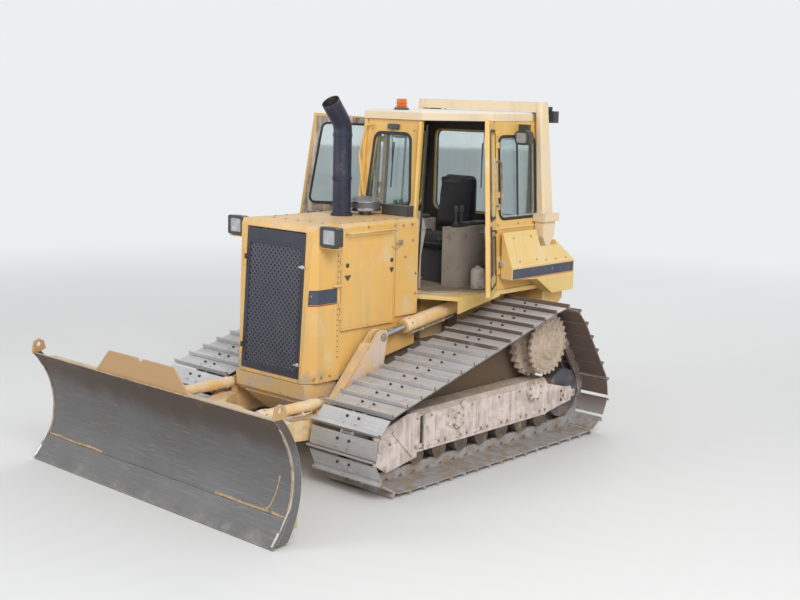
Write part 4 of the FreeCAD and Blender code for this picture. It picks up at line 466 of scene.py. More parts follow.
TOWER = Finish(
    "tower_dust", "frame_yellow", (0.66, 0.52, 0.43), (0.60, 0.46, 0.37), 0.78,
    tint_scale=3.0, grain=0.3,
    coats=(
        Coat(PATCHES, (0.74, 0.48, 0.20), 0.30, 4.0, roughness=0.6),
        Coat(STREAKS, (0.50, 0.38, 0.30), 0.26, 20.0),
        Coat(EDGES, (0.34, 0.24, 0.17), 0.40, 22.0, 0.007, roughness=0.6),
    ))
ROLLER_FRAME = Finish(
    "roller_frame_mud", "frame_yellow", (0.58, 0.48, 0.43), (0.52, 0.42, 0.35), 0.85,
    tint_scale=3.5, grain=0.5, grain_scale=45.0,
    coats=(
        Coat(PATCHES, (0.72, 0.62, 0.57), 0.50, 7.0, relief=0.15),
        Coat(STREAKS, (0.76, 0.68, 0.63), 0.36, 26.0, relief=0.1),
        Coat(STREAKS, (0.36, 0.26, 0.20), 0.26, 34.0),
        Coat(PATCHES, (0.30, 0.21, 0.15), 0.20, 13.0, relief=0.2),
        Coat(SPECKS, (0.22, 0.15, 0.11), 0.16, 40.0),
        Coat(MUD, (0.30, 0.22, 0.17), 0.50, 9.0, 0.10, 0.34, relief=0.5),
        Coat(DUST, (0.50, 0.38, 0.28), 0.60, 8.0),
        Coat(EDGES, (0.72, 0.66, 0.62), 0.34, 22.0, 0.008, roughness=0.6, metallic=0.2),
    ))
SHOE = Finish(
    "shoe_steel", "track_steel", (0.56, 0.555, 0.56), (0.49, 0.48, 0.48), 0.42, metallic=0.35,
    tint_scale=4.0, grain=0.12,
    coats=(
        Coat(PATCHES, (0.36, 0.30, 0.26), 0.24, 5.0, roughness=0.8),
        Coat(SCRATCHES, (0.66, 0.66, 0.665), 0.34, 60.0, roughness=0.35, metallic=0.5),
        Coat(SPECKS, (0.30, 0.22, 0.17), 0.14, 30.0),
        Coat(MUD, (0.36, 0.27, 0.19), 0.46, 9.0, 0.02, 0.52, relief=0.3),
        # Dirt and painted shade on the faces inside the track's loop, the grousers' rear faces
        # among them.
        Coat(INWARD, (0.135, 0.085, 0.062), 0.95, 9.0, -0.02, 0.09, roughness=0.9, relief=0.3),
        Coat(EDGES, (0.76, 0.75, 0.74), 0.42, 24.0, 0.004, roughness=0.32, metallic=0.6),
    ))
CHAIN = Finish(
    "chain_mud", "roller_steel", (0.44, 0.34, 0.25), (0.34, 0.255, 0.18), 0.78, metallic=0.1,
    tint_scale=7.0, grain=0.4,
    coats=(
        Coat(PATCHES, (0.27, 0.155, 0.09), 0.40, 12.0),
        Coat(PATCHES, (0.56, 0.46, 0.37), 0.34, 5.0, relief=0.5),
        Coat(MUD, (0.36, 0.265, 0.18), 0.45, 11.0, 0.1, 0.7, relief=0.5),
        Coat(EDGES, BARE, 0.42, 25.0, 0.005, roughness=0.45, metallic=0.7),
    ))
DRIVE = Finish(
    "drive_dust", "roller_steel", (0.54, 0.43, 0.335), (0.46, 0.36, 0.27), 0.8,
    tint_scale=6.0, grain=0.25,
    coats=(
        Coat(PATCHES, (0.38, 0.28, 0.20), 0.26, 11.0),
        Coat(EDGES, (0.66, 0.57, 0.48), 0.40, 25.0, 0.005, roughness=0.6, metallic=0.2),
    ))
ROLLER = Finish(
    "roller_mud", "roller_steel", (0.155, 0.115, 0.085), (0.105, 0.08, 0.06), 0.85,
    tint_scale=7.0, grain=0.4,
    coats=(
        Coat(PATCHES, (0.28, 0.215, 0.165), 0.30, 12.0, relief=0.4),
        Coat(EDGES, (0.42, 0.37, 0.33), 0.35, 25.0, 0.005, roughness=0.5, metallic=0.4),
    ))
IDLER = Finish(
    "idler_steel", "roller_steel", (0.17, 0.175, 0.205), (0.13, 0.13, 0.145), 0.42, metallic=0.5,
    tint_scale=6.0, grain=0.15,
    coats=(
        Coat(PATCHES, (0.26, 0.19, 0.14), 0.34, 7.0),
        Coat(STREAKS, (0.40, 0.34, 0.30), 0.20, 22.0),
        Coat(MUD, (0.30, 0.22, 0.16), 0.42, 11.0, 0.05, 0.40, relief=0.3),
    ))
# Dark worn steel, made darker still as painted shade over the blade's front.
BLADE = Finish(
    "blade_worn", "blade_steel", (0.165, 0.160, 0.160), (0.140, 0.133, 0.130), 0.58, metallic=0.25,
    tint_scale=0.9, grain=0.08,
    coats=(
        Coat(SCRATCHES, (0.195, 0.190, 0.190), 0.36, 90.0, roughness=0.52, metallic=0.3),
        Coat(SCRATCHES, (0.115, 0.105, 0.097), 0.24, 30.0, roughness=0.65, metallic=0.2),
        Coat(PATCHES, (0.20, 0.155, 0.12), 0.20, 2.2, roughness=0.75),
        # A darker coat over the upper part of the blade.
        Coat(ABOVE, (0.090, 0.066, 0.052), 0.80, 1.6, 0.38, 0.92, roughness=0.7),
        Coat(ABOVE, (0.20, 0.130, 0.078), 0.32, 7.0, 0.62, 0.95, roughness=0.8),
        Coat(MUD, (0.24, 0.222, 0.205), 0.40, 5.0, 0.0, 0.26),
        Coat(ABOVE, (0.47, 0.285, 0.135), 1.3, 6.0, 0.936, 0.944, roughness=0.75),
        Coat(EDGES, (0.60, 0.57, 0.54), 0.36, 20.0, 0.006, roughness=0.45, metallic=0.4),
    ))
BLADE_BACK = Finish(
    "blade_back_paint", "frame_yellow", (0.60, 0.41, 0.17), (0.52, 0.38, 0.20), 0.65,
    tint_scale=2.4, grain=0.3,
    coats=(
        Coat(PATCHES, (0.40, 0.30, 0.21), 0.46, 4.0),
        Coat(DUST, PALE_EARTH, 0.65, 6.0, relief=0.6),
        Coat(MUD, EARTH, 0.60, 7.0, 0.1, 0.7, relief=0.8),
        Coat(EDGES, BARE, 0.45, 22.0, 0.008, roughness=0.45, metallic=0.7),
    ))
WELD = Finish(
    "weld_seam", "blade_steel", (0.56, 0.40, 0.25), (0.44, 0.29, 0.165), 0.75, metallic=0.1,
    tint_scale=14.0, grain=0.8, grain_scale=120.0,
    coats=(Coat(PATCHES, (0.22, 0.12, 0.07), 0.35, 22.0),))
WORN = Finish(
    "worn_steel", "blade_steel", (0.62, 0.60, 0.58), (0.50, 0.48, 0.46), 0.38, metallic=0.5,
    tint_scale=9.0, grain=0.2,
    coats=(Coat(PATCHES, (0.36, 0.29, 0.235), 0.38, 11.0, roughness=0.8),))
BOLT = Finish(
    "bolt_heads", "frame_yellow", (0.50, 0.34, 0.14), (0.38, 0.27, 0.15), 0.6, metallic=0.2,
    tint_scale=9.0, grain=0.2,
    coats=(Coat(EDGES, (0.30, 0.22, 0.15), 0.55, 30.0, 0.003, roughness=0.5, metallic=0.5),))
# Near-black bolt heads: dark steel, and the painted shade of the shoes' bolt holes.
SHADED_SHOE_BOLT = Finish(
    "shaded_shoe_bolts", "track_steel", (0.045, 0.038, 0.034), (0.075, 0.062, 0.055), 0.6, metallic=0.3,
    tint_scale=12.0, grain=0.2,
    coats=(Coat(PATCHES, (0.12, 0.075, 0.05), 0.45, 18.0, roughness=0.8),))
ROD = Finish(
    "rod_chrome", "rod_chrome", (0.72, 0.72, 0.73), (0.62, 0.61, 0.60), 0.14, metallic=1.0,
    tint_scale=12.0, grain=0.02,
    coats=(Coat(PATCHES, (0.30, 0.24, 0.18), 0.18, 9.0, roughness=0.6),))
SILVER = Finish(
    "zinc_fittings", "rod_chrome", (0.62, 0.60, 0.56), (0.50, 0.47, 0.43), 0.34, metallic=0.85,
    tint_scale=14.0, grain=0.08,
    coats=(Coat(PATCHES, (0.42, 0.33, 0.22), 0.32, 14.0, roughness=0.7),))
CHROME = Finish("cover_chrome", "cleaner_chrome", (0.66, 0.66, 0.68), (0.50, 0.49, 0.50), 0.16,
                metallic=1.0, grain=0.02,
                coats=(Coat(DUST, PALE_EARTH, 0.3, 16.0),))
CLEANER = Finish("cleaner_dark", "cleaner_chrome", (0.13, 0.135, 0.165), (0.19, 0.185, 0.20), 0.34,
                 metallic=0.55, grain=0.04,
                 coats=(Coat(DUST, (0.36, 0.33, 0.32), 0.45, 12.0),))
LINING = Finish("cab_lining", "seat_plastic", (0.060, 0.048, 0.045), (0.085, 0.068, 0.062), 0.85,
                tint_scale=4.0, grain=0.4, grain_scale=200.0,
                coats=(Coat(DUST, (0.26, 0.21, 0.17), 0.4, 8.0),))
DOOR_TRIM = Finish("door_trim_worn", "trim_beige", (0.44, 0.35, 0.28), (0.30, 0.24, 0.20), 0.6,
                   tint_scale=6.0, grain=0.2,
                   coats=(
                       Coat(PATCHES, (0.15, 0.115, 0.095), 0.46, 9.0),
                       Coat(STREAKS, (0.62, 0.55, 0.48), 0.34, 14.0, roughness=0.45)))
STACK = Finish(
    "stack_black", "stack_steel", (0.022, 0.027, 0.052), (0.040, 0.043, 0.066), 0.40, metallic=0.3,
    tint_scale=5.0, grain=0.1,
    coats=(
        Coat(ABOVE, (0.12, 0.075, 0.055), 0.50, 9.0, 2.8, 3.2, roughness=0.8),
        Coat(PATCHES, (0.13, 0.09, 0.07), 0.22, 13.0),
    ))
PIPE = Finish("pipe_pale", "frame_yellow", (0.62, 0.52, 0.42), (0.50, 0.36, 0.20), 0.6,
              tint_scale=12.0, grain=0.15, coats=(Coat(PATCHES, (0.36, 0.27, 0.20), 0.35, 16.0),))
# Near-black strips on the roller frames: the front one is painted shadow beside the flange.
DARK_MARKS = Finish("dark_marks_black", "lamp_black", (0.035, 0.034, 0.034), (0.07, 0.062, 0.055), 0.6,
              tint_scale=9.0, grain=0.5, grain_scale=300.0,
              coats=(Coat(DUST, (0.36, 0.29, 0.22), 0.5, 16.0),))
BLACK = Finish("lamp_black", "lamp_black", (0.045, 0.045, 0.048), (0.07, 0.068, 0.066), 0.50,
               coats=(Coat(DUST, (0.30, 0.25, 0.20), 0.40, 14.0),))
SOOT = Finish("fittings_dark", "lamp_black", (0.06, 0.05, 0.042), (0.10, 0.082, 0.065), 0.65,
              tint_scale=12.0, grain=0.2, coats=(Coat(PATCHES, (0.20, 0.14, 0.09), 0.3, 20.0),))
RUBBER = Finish("seal_rubber", "lamp_black", (0.020, 0.020, 0.022), (0.032, 0.032, 0.032), 0.62,
                coats=(Coat(DUST, (0.22, 0.19, 0.16), 0.35, 18.0),))
GRILLE = Finish(
    "grille_dark", "dark_paint", (0.030, 0.032, 0.046), (0.050, 0.051, 0.066), 0.5, metallic=0.15,
    tint_scale=4.0, grain=0.1,
    coats=(
        Coat(MUD, (0.36, 0.27, 0.16), 0.50, 7.0, 0.74, 0.94),
        Coat(EDGES, (0.20, 0.20, 0.23), 0.35, 30.0, 0.003, roughness=0.5),
    ))
MESH = Finish(
    "grille_mesh", "dark_paint", (0.080, 0.081, 0.110), (0.108, 0.108, 0.130), 0.5, metallic=0.2,
    tint_scale=3.0, grain=0.1,
    coats=(Coat(MUD, (0.28, 0.225, 0.17), 0.50, 5.0, 0.80, 1.05),))
STRIPE = Finish(
    "stripe_blue", "dark_paint", (0.045, 0.052, 0.085), (0.065, 0.072, 0.105), 0.42, gloss=0.2,
    tint_scale=3.0, grain=0.05,
    coats=(
        Coat(SCRATCHES, (0.40, 0.32, 0.22), 0.20, 40.0, roughness=0.7),
        Coat(SPECKS, (0.62, 0.44, 0.20), 0.16, 26.0),
    ))
RED = Finish("stripe_red", "dark_paint", (0.42, 0.065, 0.030), (0.50, 0.12, 0.055), 0.45,
    gloss=0.15, tint_scale=3.0, grain=0.05, coats=(Coat(SPECKS, (0.62, 0.44, 0.20), 0.2, 30.0),))
CORE = Finish("core_dark", "dark_paint", (0.022, 0.023, 0.030), (0.045, 0.043, 0.045), 0.8,
              tint_scale=5.0, coats=(Coat(SPECKS, (0.05, 0.045, 0.045), 0.2, 20.0),))
ENGINE = Finish("engine_dusty", "engine_grey", (0.30, 0.26, 0.20), (0.22, 0.19, 0.15), 0.8,
                tint_scale=4.0, grain=0.4, coats=(Coat(DUST, EARTH, 0.6, 8.0),))
GLASS = Finish("cab_glass", "clear_glass", (0.78, 0.86, 0.86), (0.70, 0.80, 0.80), 0.04,
               clearness=0.94, grain=0.0)
BEACON = Finish("beacon_orange", "beacon_orange", (0.90, 0.22, 0.02), (0.80, 0.16, 0.01), 0.18,
                gloss=0.6, clearness=0.25, grain=0.0)
LENS = Finish("lamp_lens", "clear_glass", (0.50, 0.52, 0.54), (0.40, 0.41, 0.42), 0.12, gloss=0.9,
              metallic=0.2, grain=0.35, grain_scale=130.0)
TRIM = Finish("trim_beige", "trim_beige", (0.46, 0.39, 0.325), (0.38, 0.32, 0.265), 0.7,
              grain=0.3, grain_scale=260.0, coats=(Coat(DUST, PALE_EARTH, 0.45, 8.0),
                                                   Coat(PATCHES, (0.22, 0.17, 0.13), 0.3, 7.0)))
FLOOR_MAT = Finish("floor_grey", "lamp_black", (0.26, 0.20, 0.15), (0.20, 0.155, 0.12), 0.85,
                   grain=0.4, grain_scale=120.0, coats=(Coat(DUST, (0.34, 0.26, 0.19), 0.6, 9.0),))
DARK_PLASTIC = Finish("seat_plastic", "seat_plastic", (0.045, 0.045, 0.047), (0.07, 0.067, 0.065),
    0.55, grain=0.3, grain_scale=240.0, coats=(Coat(DUST, (0.30, 0.24, 0.18), 0.5, 9.0),))
CANISTER = Finish("canister_white", "seat_plastic", (0.74, 0.73, 0.70), (0.64, 0.62, 0.58), 0.45,
                  grain=0.05, coats=(Coat(PATCHES, (0.45, 0.37, 0.28), 0.3, 9.0),))
SEAT = Finish("seat_fabric", "seat_fabric", (0.040, 0.038, 0.042), (0.028, 0.027, 0.030), 0.9,
              grain=0.8, grain_scale=420.0, coats=(Coat(DUST, (0.20, 0.16, 0.125), 0.36, 7.0),))

NODE_FINISHES: dict[Finish, tuple[str, ...]] = {PANEL: ("hood_panels", "hood_top", "radiator_guard",
    "engine_door_left", "engine_door_right", "fuel_tank"),
    CAB_PANEL: ("cab_front_wall", "cab_rear_wall", "cab_side_walls", "left_door", "right_door",
    "grab_rail", "headlamps"), SUNLIT_FENDER: ("fenders", "platform"), ROOF: ("cab_roof", "rops_frame"),
    SHADED_UNDERSIDE: ("main_frame", "final_drives", "drawbar"),
    FRAME: ("c_frame", "angle_yoke", "lift_left_barrel", "lift_right_barrel", "angle_left_barrel",
    "angle_right_barrel", "tilt_barrel"), ROLLER_FRAME: ("track_frame_left", "track_frame_right"),
    SHOE: ("track_left", "track_right"), DRIVE: ("sprockets",), ROLLER: ("track_rollers",),
    IDLER: ("idlers",), BLADE: ("moldboard", "cutting_edge"), BLADE_BACK: ("blade_back",),
    ROD: ("lift_left_rod", "lift_right_rod", "angle_left_rod", "angle_right_rod", "tilt_rod"),
    CLEANER: ("air_cleaner",), STACK: ("exhaust_stack",), BLACK: ("vent_box", "work_lamps"),
    GRILLE: ("grille_door",), CORE: ("radiator_core",), ENGINE: ("engine_block",),
    GLASS: ("cab_glass", "left_door_glass", "right_door_glass"), BEACON: ("beacon",),
    TRIM: ("consoles", "dash"), DARK_PLASTIC: ("seat_base", "levers"), SEAT: ("seat_cushions",),}

ROUNDED_NODES: dict[str, float] = {"hood_panels": 0.008, "radiator_guard": 0.009, "hood_top": 0.008,
    "cab_roof": 0.014, "cab_front_wall": 0.006, "cab_rear_wall": 0.006, "cab_side_walls": 0.006,
    "fenders": 0.009, "platform": 0.006, "rops_frame": 0.024, "fuel_tank": 0.014, "c_frame": 0.006,
    "engine_door_left": 0.004, "engine_door_right": 0.004, "left_door": 0.004, "right_door": 0.004,
    "consoles": 0.014, "dash": 0.014, "headlamps": 0.004, "vent_box": 0.006, "blade_back": 0.005,
    "angle_yoke": 0.005, "track_frame_left": 0.005, "track_frame_right": 0.005,
    "grille_door": 0.003,}


# Shapes


@dataclass(frozen=True)
class Plane:
    """A flat place on the machine with its own directions."""

    origin: Vector
    along: Vector
    up: Vector
    out: Vector

    def at(self, along: float, up: float, out: float = 0.0) -> Vector:
        """Returns a point that far along, up and out of the plane."""
        return self.origin + self.along * along + self.up * up + self.out * out

    def points(self, outline: Outline, out: float = 0.0) -> list[Vector]:
        """Returns an outline's points on the plane."""
        return [self.at(along, up, out) for along, up in outline]


def leaning(origin: Point, along: Point, up: Point, out: Point) -> Plane:
    """Returns a plane from plain numbers, its directions brought to length 1."""
    return Plane(Vector(origin), *(Vector(way).normalized() for way in (along, up, out)))


GRILLE_LEAN = 0.0613
GRILLE_PLANE = leaning((1.09912, 0, 0), (0, 1, 0), (-GRILLE_LEAN, 0, 1), (1, 0, GRILLE_LEAN))
FRONT_LEAN = 0.128 / 1.54
FRONT_PLANE = leaning((-0.312, 0, 1.40), (0, 1, 0), (-FRONT_LEAN, 0, 1), (1, 0, FRONT_LEAN))
SIDE_LEAN = 0.091 / 1.54


def side_plane(sign: float) -> Plane:
    """Returns a cab side wall's outer face."""
    return leaning((0, 0.773 * sign, 1.40), (1, 0, 0), (0, -SIDE_LEAN * sign, 1),
        (0, sign, SIDE_LEAN))


def door_plane(sign: float, degrees: float = 62.0) -> Plane:
    """Returns the plane of a cab door that stands open.

    Args:
        sign: 1 for the left door and -1 for the right one.
        degrees: how far it is open.

    Returns:
        The plane through the hinge line, out of the cab along its out.
    """
    low, top = Vector((-1.03, 0.773 * sign, 1.40)), Vector((-1.03, 0.682 * sign, 2.94))
    post = Vector((-0.312, 0.386 * sign, 1.40))
    up = (top - low).normalized()
    across = post - low
    along = (across - up * across.dot(up)).normalized()
    out = along.cross(up) * -sign
    swing = Matrix.Rotation(math.radians(degrees * sign), 3, up)
    return Plane(low + Vector((0, 0.022 * sign, 0)), swing @ along, up, swing @ out)


def rounded(corners: Outline, radius: float, steps: int = 6) -> Outline:
    """Returns an outline with its corners rounded.

    Args:
        corners: the outline's corners, counter-clockwise.
        radius: the corners' radius.
        steps: points in each corner.

    Returns:
        The points of the rounded outline.
    """
    points = []
    for number, corner in enumerate(corners):
        here = Vector(corner)
        before = (Vector(corners[number - 1]) - here).normalized()
        after = (Vector(corners[(number + 1) % len(corners)]) - here).normalized()
        half = before.angle(after) / 2
        reach = radius / math.tan(half)
        centre = here + (before + after).normalized() * (radius / math.sin(half))
        start, end = here + before * reach - centre, here + after * reach - centre
        sweep = start.angle_signed(end)
        for step in range(steps + 1):
            turn = Matrix.Rotation(-sweep * step / steps, 2)
            points.append(tuple(centre + turn @ start))
    return points


def offset(outline: Outline, distance: float) -> Outline:
    """Returns a counter-clockwise outline moved outward by a distance."""
    moved = []
    for number, point in enumerate(outline):
        here = Vector(point)
        before = (here - Vector(outline[number - 1])).normalized()
        after = (Vector(outline[(number + 1) % len(outline)]) - here).normalized()
        normal = Vector((before.y + after.y, -before.x - after.x))
        if normal.length < 1e-6:
            normal = Vector((after.y, -after.x))
        normal.normalize()
        share = max(0.5, normal.dot(Vector((after.y, -after.x))))
        moved.append(tuple(here + normal * distance / share))
    return moved


def mirrored(outline: Outline, sign: float) -> Outline:
    """Returns an outline for the left side as it is, and turned over for the right side."""
    return outline if sign > 0 else [(-across, up) for across, up in reversed(outline)]


def oblong(low_x: float, low_y: float, high_x: float, high_y: float) -> Outline:
    """Returns a rectangle's corners, counter-clockwise."""
    return [(low_x, low_y), (high_x, low_y), (high_x, high_y), (low_x, high_y)]


class Shape:
    """Gathers solids in the row frame and makes one Blender piece of them."""

    def __init__(self, name: str) -> None:
        """Starts an empty shape.

        Args:
            name: the piece's name.
        """
        self.name = name
        self.mesh = bmesh.new()

    @staticmethod
    def turned(direction: Vector) -> Matrix:
        """Returns the rotation that lays the z axis along a direction."""
        return Vector(direction).to_track_quat("Z", "Y").to_matrix().to_4x4()

    def box(self, centre: Point, size: Point, turn: Matrix | None = None) -> None:
        """Adds a box about a centre, turned by a matrix."""
        place = Matrix.Translation(centre) @ (turn
            or Matrix.Identity(4)) @ Matrix.Diagonal((*size, 1.0))
        bmesh.ops.create_cube(self.mesh, size=1.0, matrix=place)

    def bar(self, start: Point, end: Point, radius: float, end_radius: float | None = None,
            sides: int = 16) -> None:
        """Adds a round bar or cone between two points."""
        first, last = Vector(start), Vector(end)
        run = last - first
        place = Matrix.Translation((first + last) / 2) @ self.turned(run)
        bmesh.ops.create_cone(self.mesh, cap_ends=True, segments=sides, radius1=radius,
            radius2=radius if end_radius is None else end_radius, depth=run.length, matrix=place)

    def bolt(self, at: Point, normal: Point, across: float = 0.022, height: float = 0.013,
            turn: float = 0.0) -> None:
        """Adds a hexagon head on its washer, standing on a face."""
        base, up = Vector(at), Vector(normal).normalized()
        self.bar(base - up * 0.002, base + up * height * 0.25, across * 0.72, sides=14)
        place = (Matrix.Translation(base + up * height * 0.6) @ self.turned(up)
            @ Matrix.Rotation(turn, 4, "Z"))
        bmesh.ops.create_cone(self.mesh, cap_ends=True, segments=6, radius1=across * 0.577,
            radius2=across * 0.52, depth=height * 0.8, matrix=place)

    def tube(self, points: list[Point], radius: float, sides: int = 10,
            closed: bool = False) -> None:
        """Adds a tube along a smooth line through points."""
        path = [Vector(point) for point in points]
        count = len(path)
        rings = []
        side = None
        for number, point in enumerate(path):
            before = path[number - 1] if number or closed else point
            after = path[(number + 1) % count] if number < count - 1 or closed else point
            along = (after - before).normalized()
            if side is None:
                side = along.orthogonal().normalized()
            side = (side - along * side.dot(along)).normalized()
            other = along.cross(side)
            rings.append([self.mesh.verts.new(point + (side * math.cos(turn) + other
                * math.sin(turn)) * radius) for turn in (2 * math.pi * step / sides
                for step in range(sides))])
        pairs = list(zip(rings, rings[1:])) + ([(rings[-1], rings[0])] if closed else [])
        for one, two in pairs:
            for step in range(sides):
                self.mesh.faces.new((one[step], one[(step + 1) % sides], two[(step + 1) % sides],
                    two[step]))
        if not closed:
            self.mesh.faces.new(list(reversed(rings[0])))
            self.mesh.faces.new(rings[-1])

    def plate(self, plane: Plane, outline: Outline, thick: float, out: float = 0.0) -> None:
        """Adds a plate that stands on a plane."""
        self.sheet(plane.points(outline, out), plane.out * thick)

    def pipe(self, plane: Plane, points: list[Point], radius: float, sides: int = 10) -> None:
        """Adds a tube through points that are given along, up and out of a plane."""
        self.tube([plane.at(*point) for point in points], radius, sides)

    def screw(self, plane: Plane, at: tuple, across: float = 0.022, height: float = 0.013,
            turn: float = 0.0) -> None:
        """Adds a hexagon head at a point of a plane."""
        self.bolt(plane.at(*at), plane.out, across, height, turn)

    def knob(self, plane: Plane, at: tuple, profile: Outline, sides: int = 32) -> None:
        """Adds a turned solid that stands out of a plane."""
        self.lathe(plane.at(*at), plane.out, profile, sides)

    def lathe(self, at: Point, axis: Point, profile: Outline, sides: int = 32,
            hollow: bool = False) -> None:
        """Adds a turned solid, or a ring if hollow, from a profile of (radius, along) points."""
        place = Matrix.Translation(at) @ self.turned(Vector(axis))
        rings = []
        for radius, along in profile:
            if radius < 1e-6:
                rings.append([self.mesh.verts.new(place @ Vector((0, 0, along)))])
                continue
            rings.append([self.mesh.verts.new(place @ Vector((radius * math.cos(turn),
                radius * math.sin(turn), along))) for turn in (2 * math.pi * step / sides
                for step in range(sides))])
        for one, two in zip(rings, rings[1:] + (rings[:1] if hollow else [])):
            for step in range(sides):
                after = (step + 1) % sides
                corners = [one[step % len(one)], one[after % len(one)], two[after % len(two)],
                    two[step % len(two)]]
                self.mesh.faces.new(list(dict.fromkeys(corners)))
        for ring, flip in ((rings[0], True), (rings[-1], False)):
            if len(ring) > 1 and not hollow:
                self.mesh.faces.new(list(reversed(ring)) if flip else ring)

    def sheet(self, corners: list[Point], depth: Point) -> None:
        """Adds a flat plate: its corners in order, and the vector of its thickness."""
        low = [self.mesh.verts.new(Vector(corner)) for corner in corners]
        high = [self.mesh.verts.new(Vector(corner) + Vector(depth)) for corner in corners]
        self.mesh.faces.new(list(reversed(low)))
        self.mesh.faces.new(high)
        for number in range(len(corners)):
            after = (number + 1) % len(corners)
            self.mesh.faces.new((low[number], low[after], high[after], high[number]))

    def ring(self, plane: Plane, inside: Outline, outside: Outline, low: float,
            high: float) -> None:
        """Adds a flat frame between two outlines of as many points, from low to high."""
        rows = [[self.mesh.verts.new(point) for point in plane.points(outline, level)] for outline,
            level in ((inside, low), (outside, low), (outside, high), (inside, high))]
        for row, after in zip(rows, rows[1:] + rows[:1]):
            for number in range(len(row)):
                far = (number + 1) % len(row)
                self.mesh.faces.new((row[number], row[far], after[far], after[number]))

    def bead(self, points: list[Point], radius: float) -> None:
        """Adds a weld's bead along straight runs, with the ripples of its passes."""
        for start, end in zip(points, points[1:]):
            first, run = Vector(start), Vector(end) - Vector(start)
            count = max(2, round(run.length / (radius * 1.6)))
            side = run.orthogonal().normalized()
            other = run.normalized().cross(side)
            rings = []
            for number in range(count + 1):
                wide = radius * (1.0 if number % 2 else 0.78) * random.uniform(0.88, 1.1)
                at = first + run * (number / count)
                rings.append([self.mesh.verts.new(at + (side * math.cos(turn) + other
                    * math.sin(turn)) * wide) for turn in (2 * math.pi * step / 6
                    for step in range(6))])
            for one, two in zip(rings, rings[1:]):
                for step in range(6):
                    self.mesh.faces.new((one[step], one[(step + 1) % 6], two[(step + 1) % 6],
                        two[step]))
            self.mesh.faces.new(list(reversed(rings[0])))
            self.mesh.faces.new(rings[-1])

    def make(self, finish: Finish, bevel: float = 0.0, segments: int = 2,
            body: str = "base") -> bpy.types.Object:
        """Makes the Blender piece.

        Args:
            finish: its surface.
            bevel: width of the rounding of its edges, in metres.
            segments: steps of that rounding.
            body: the CAD body that it rides on.

        Returns:
            The new object.
        """
        bmesh.ops.recalc_face_normals(self.mesh, faces=self.mesh.faces)
        data = bpy.data.meshes.new(self.name)
        self.mesh.to_mesh(data)
        self.mesh.free()
        piece = bpy.data.objects.new(self.name, data)
        bpy.context.scene.collection.objects.link(piece)
        if bevel:
            bevelled(piece, bevel, segments, 40.0)
        dress(piece, finish)
        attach(piece, body)
        LOG.info("%s on %s: %d faces", self.name, body, len(data.polygons))
        return piece


def bevelled(piece: bpy.types.Object, width: float, segments: int,
        degrees: float) -> bpy.types.Modifier:
    """Gives a piece a Bevel modifier for its edges sharper than an angle."""
    rounding = piece.modifiers.new("rounding", "BEVEL")
    rounding.width, rounding.segments = width, segments
    rounding.limit_method, rounding.angle_limit = "ANGLE", math.radians(degrees)
    return rounding


def dress(piece: bpy.types.Object, finish: Finish) -> None:
    """Gives a piece its material, and smooth shading across shallow edges."""
    piece.data.materials.clear()
    piece.data.materials.append(finish.material())
    for face in piece.data.polygons:
        face.material_index = 0
        face.use_smooth = True
    piece.data.set_sharp_from_angle(angle=math.radians(32))


def round_edges(piece: bpy.types.Object, width: float) -> None:
    """Rounds a CAD node's edges as the folded and welded plates of the real one are."""
    rounding = bevelled(piece, width, 2 if width < 0.02 else 4, 35.0)
    rounding.use_clamp_overlap = True
    rounding.harden_normals = True


# Sub-assemblies


@dataclass
class FlatFace:
    """One flat face of a CAD node."""

    middle: Vector
    normal: Vector
    corners: list[Vector]
    area: float

    def reach(self, direction: Vector) -> tuple[float, float]:
        """Returns the face's lowest and highest extent along a direction."""
        values = [corner.dot(direction) for corner in self.corners]
        return min(values), max(values)


def flat_faces(node: bpy.types.Object) -> list[FlatFace]:
    """Groups a CAD node's triangles into its flat faces.

    Args:
        node: the CAD object.

    Returns:
        One entry for each plane of neighbouring triangles.
    """
    mesh = bmesh.new()
    mesh.from_mesh(node.data)
    bmesh.ops.remove_doubles(mesh, verts=mesh.verts, dist=1e-5)
    seen: set[int] = set()
    found = []
    for start in mesh.faces:
        if start.index in seen:
            continue
        seen.add(start.index)
        heap, group = [start], []
        while heap:
            face = heap.pop()
            group.append(face)
            for edge in face.edges:
                for other in edge.link_faces:
                    if other.index not in seen and other.normal.dot(start.normal) > 0.9999:
                        seen.add(other.index)
                        heap.append(other)
        area = sum(face.calc_area() for face in group)
        middle = sum((face.calc_center_median() * face.calc_area() for face in group),
            Vector()) / max(area, 1e-9)
        corners = [vert.co.copy() for face in group for vert in face.verts]
        found.append(FlatFace(middle, start.normal.copy(), corners, area))
    mesh.free()
    return found


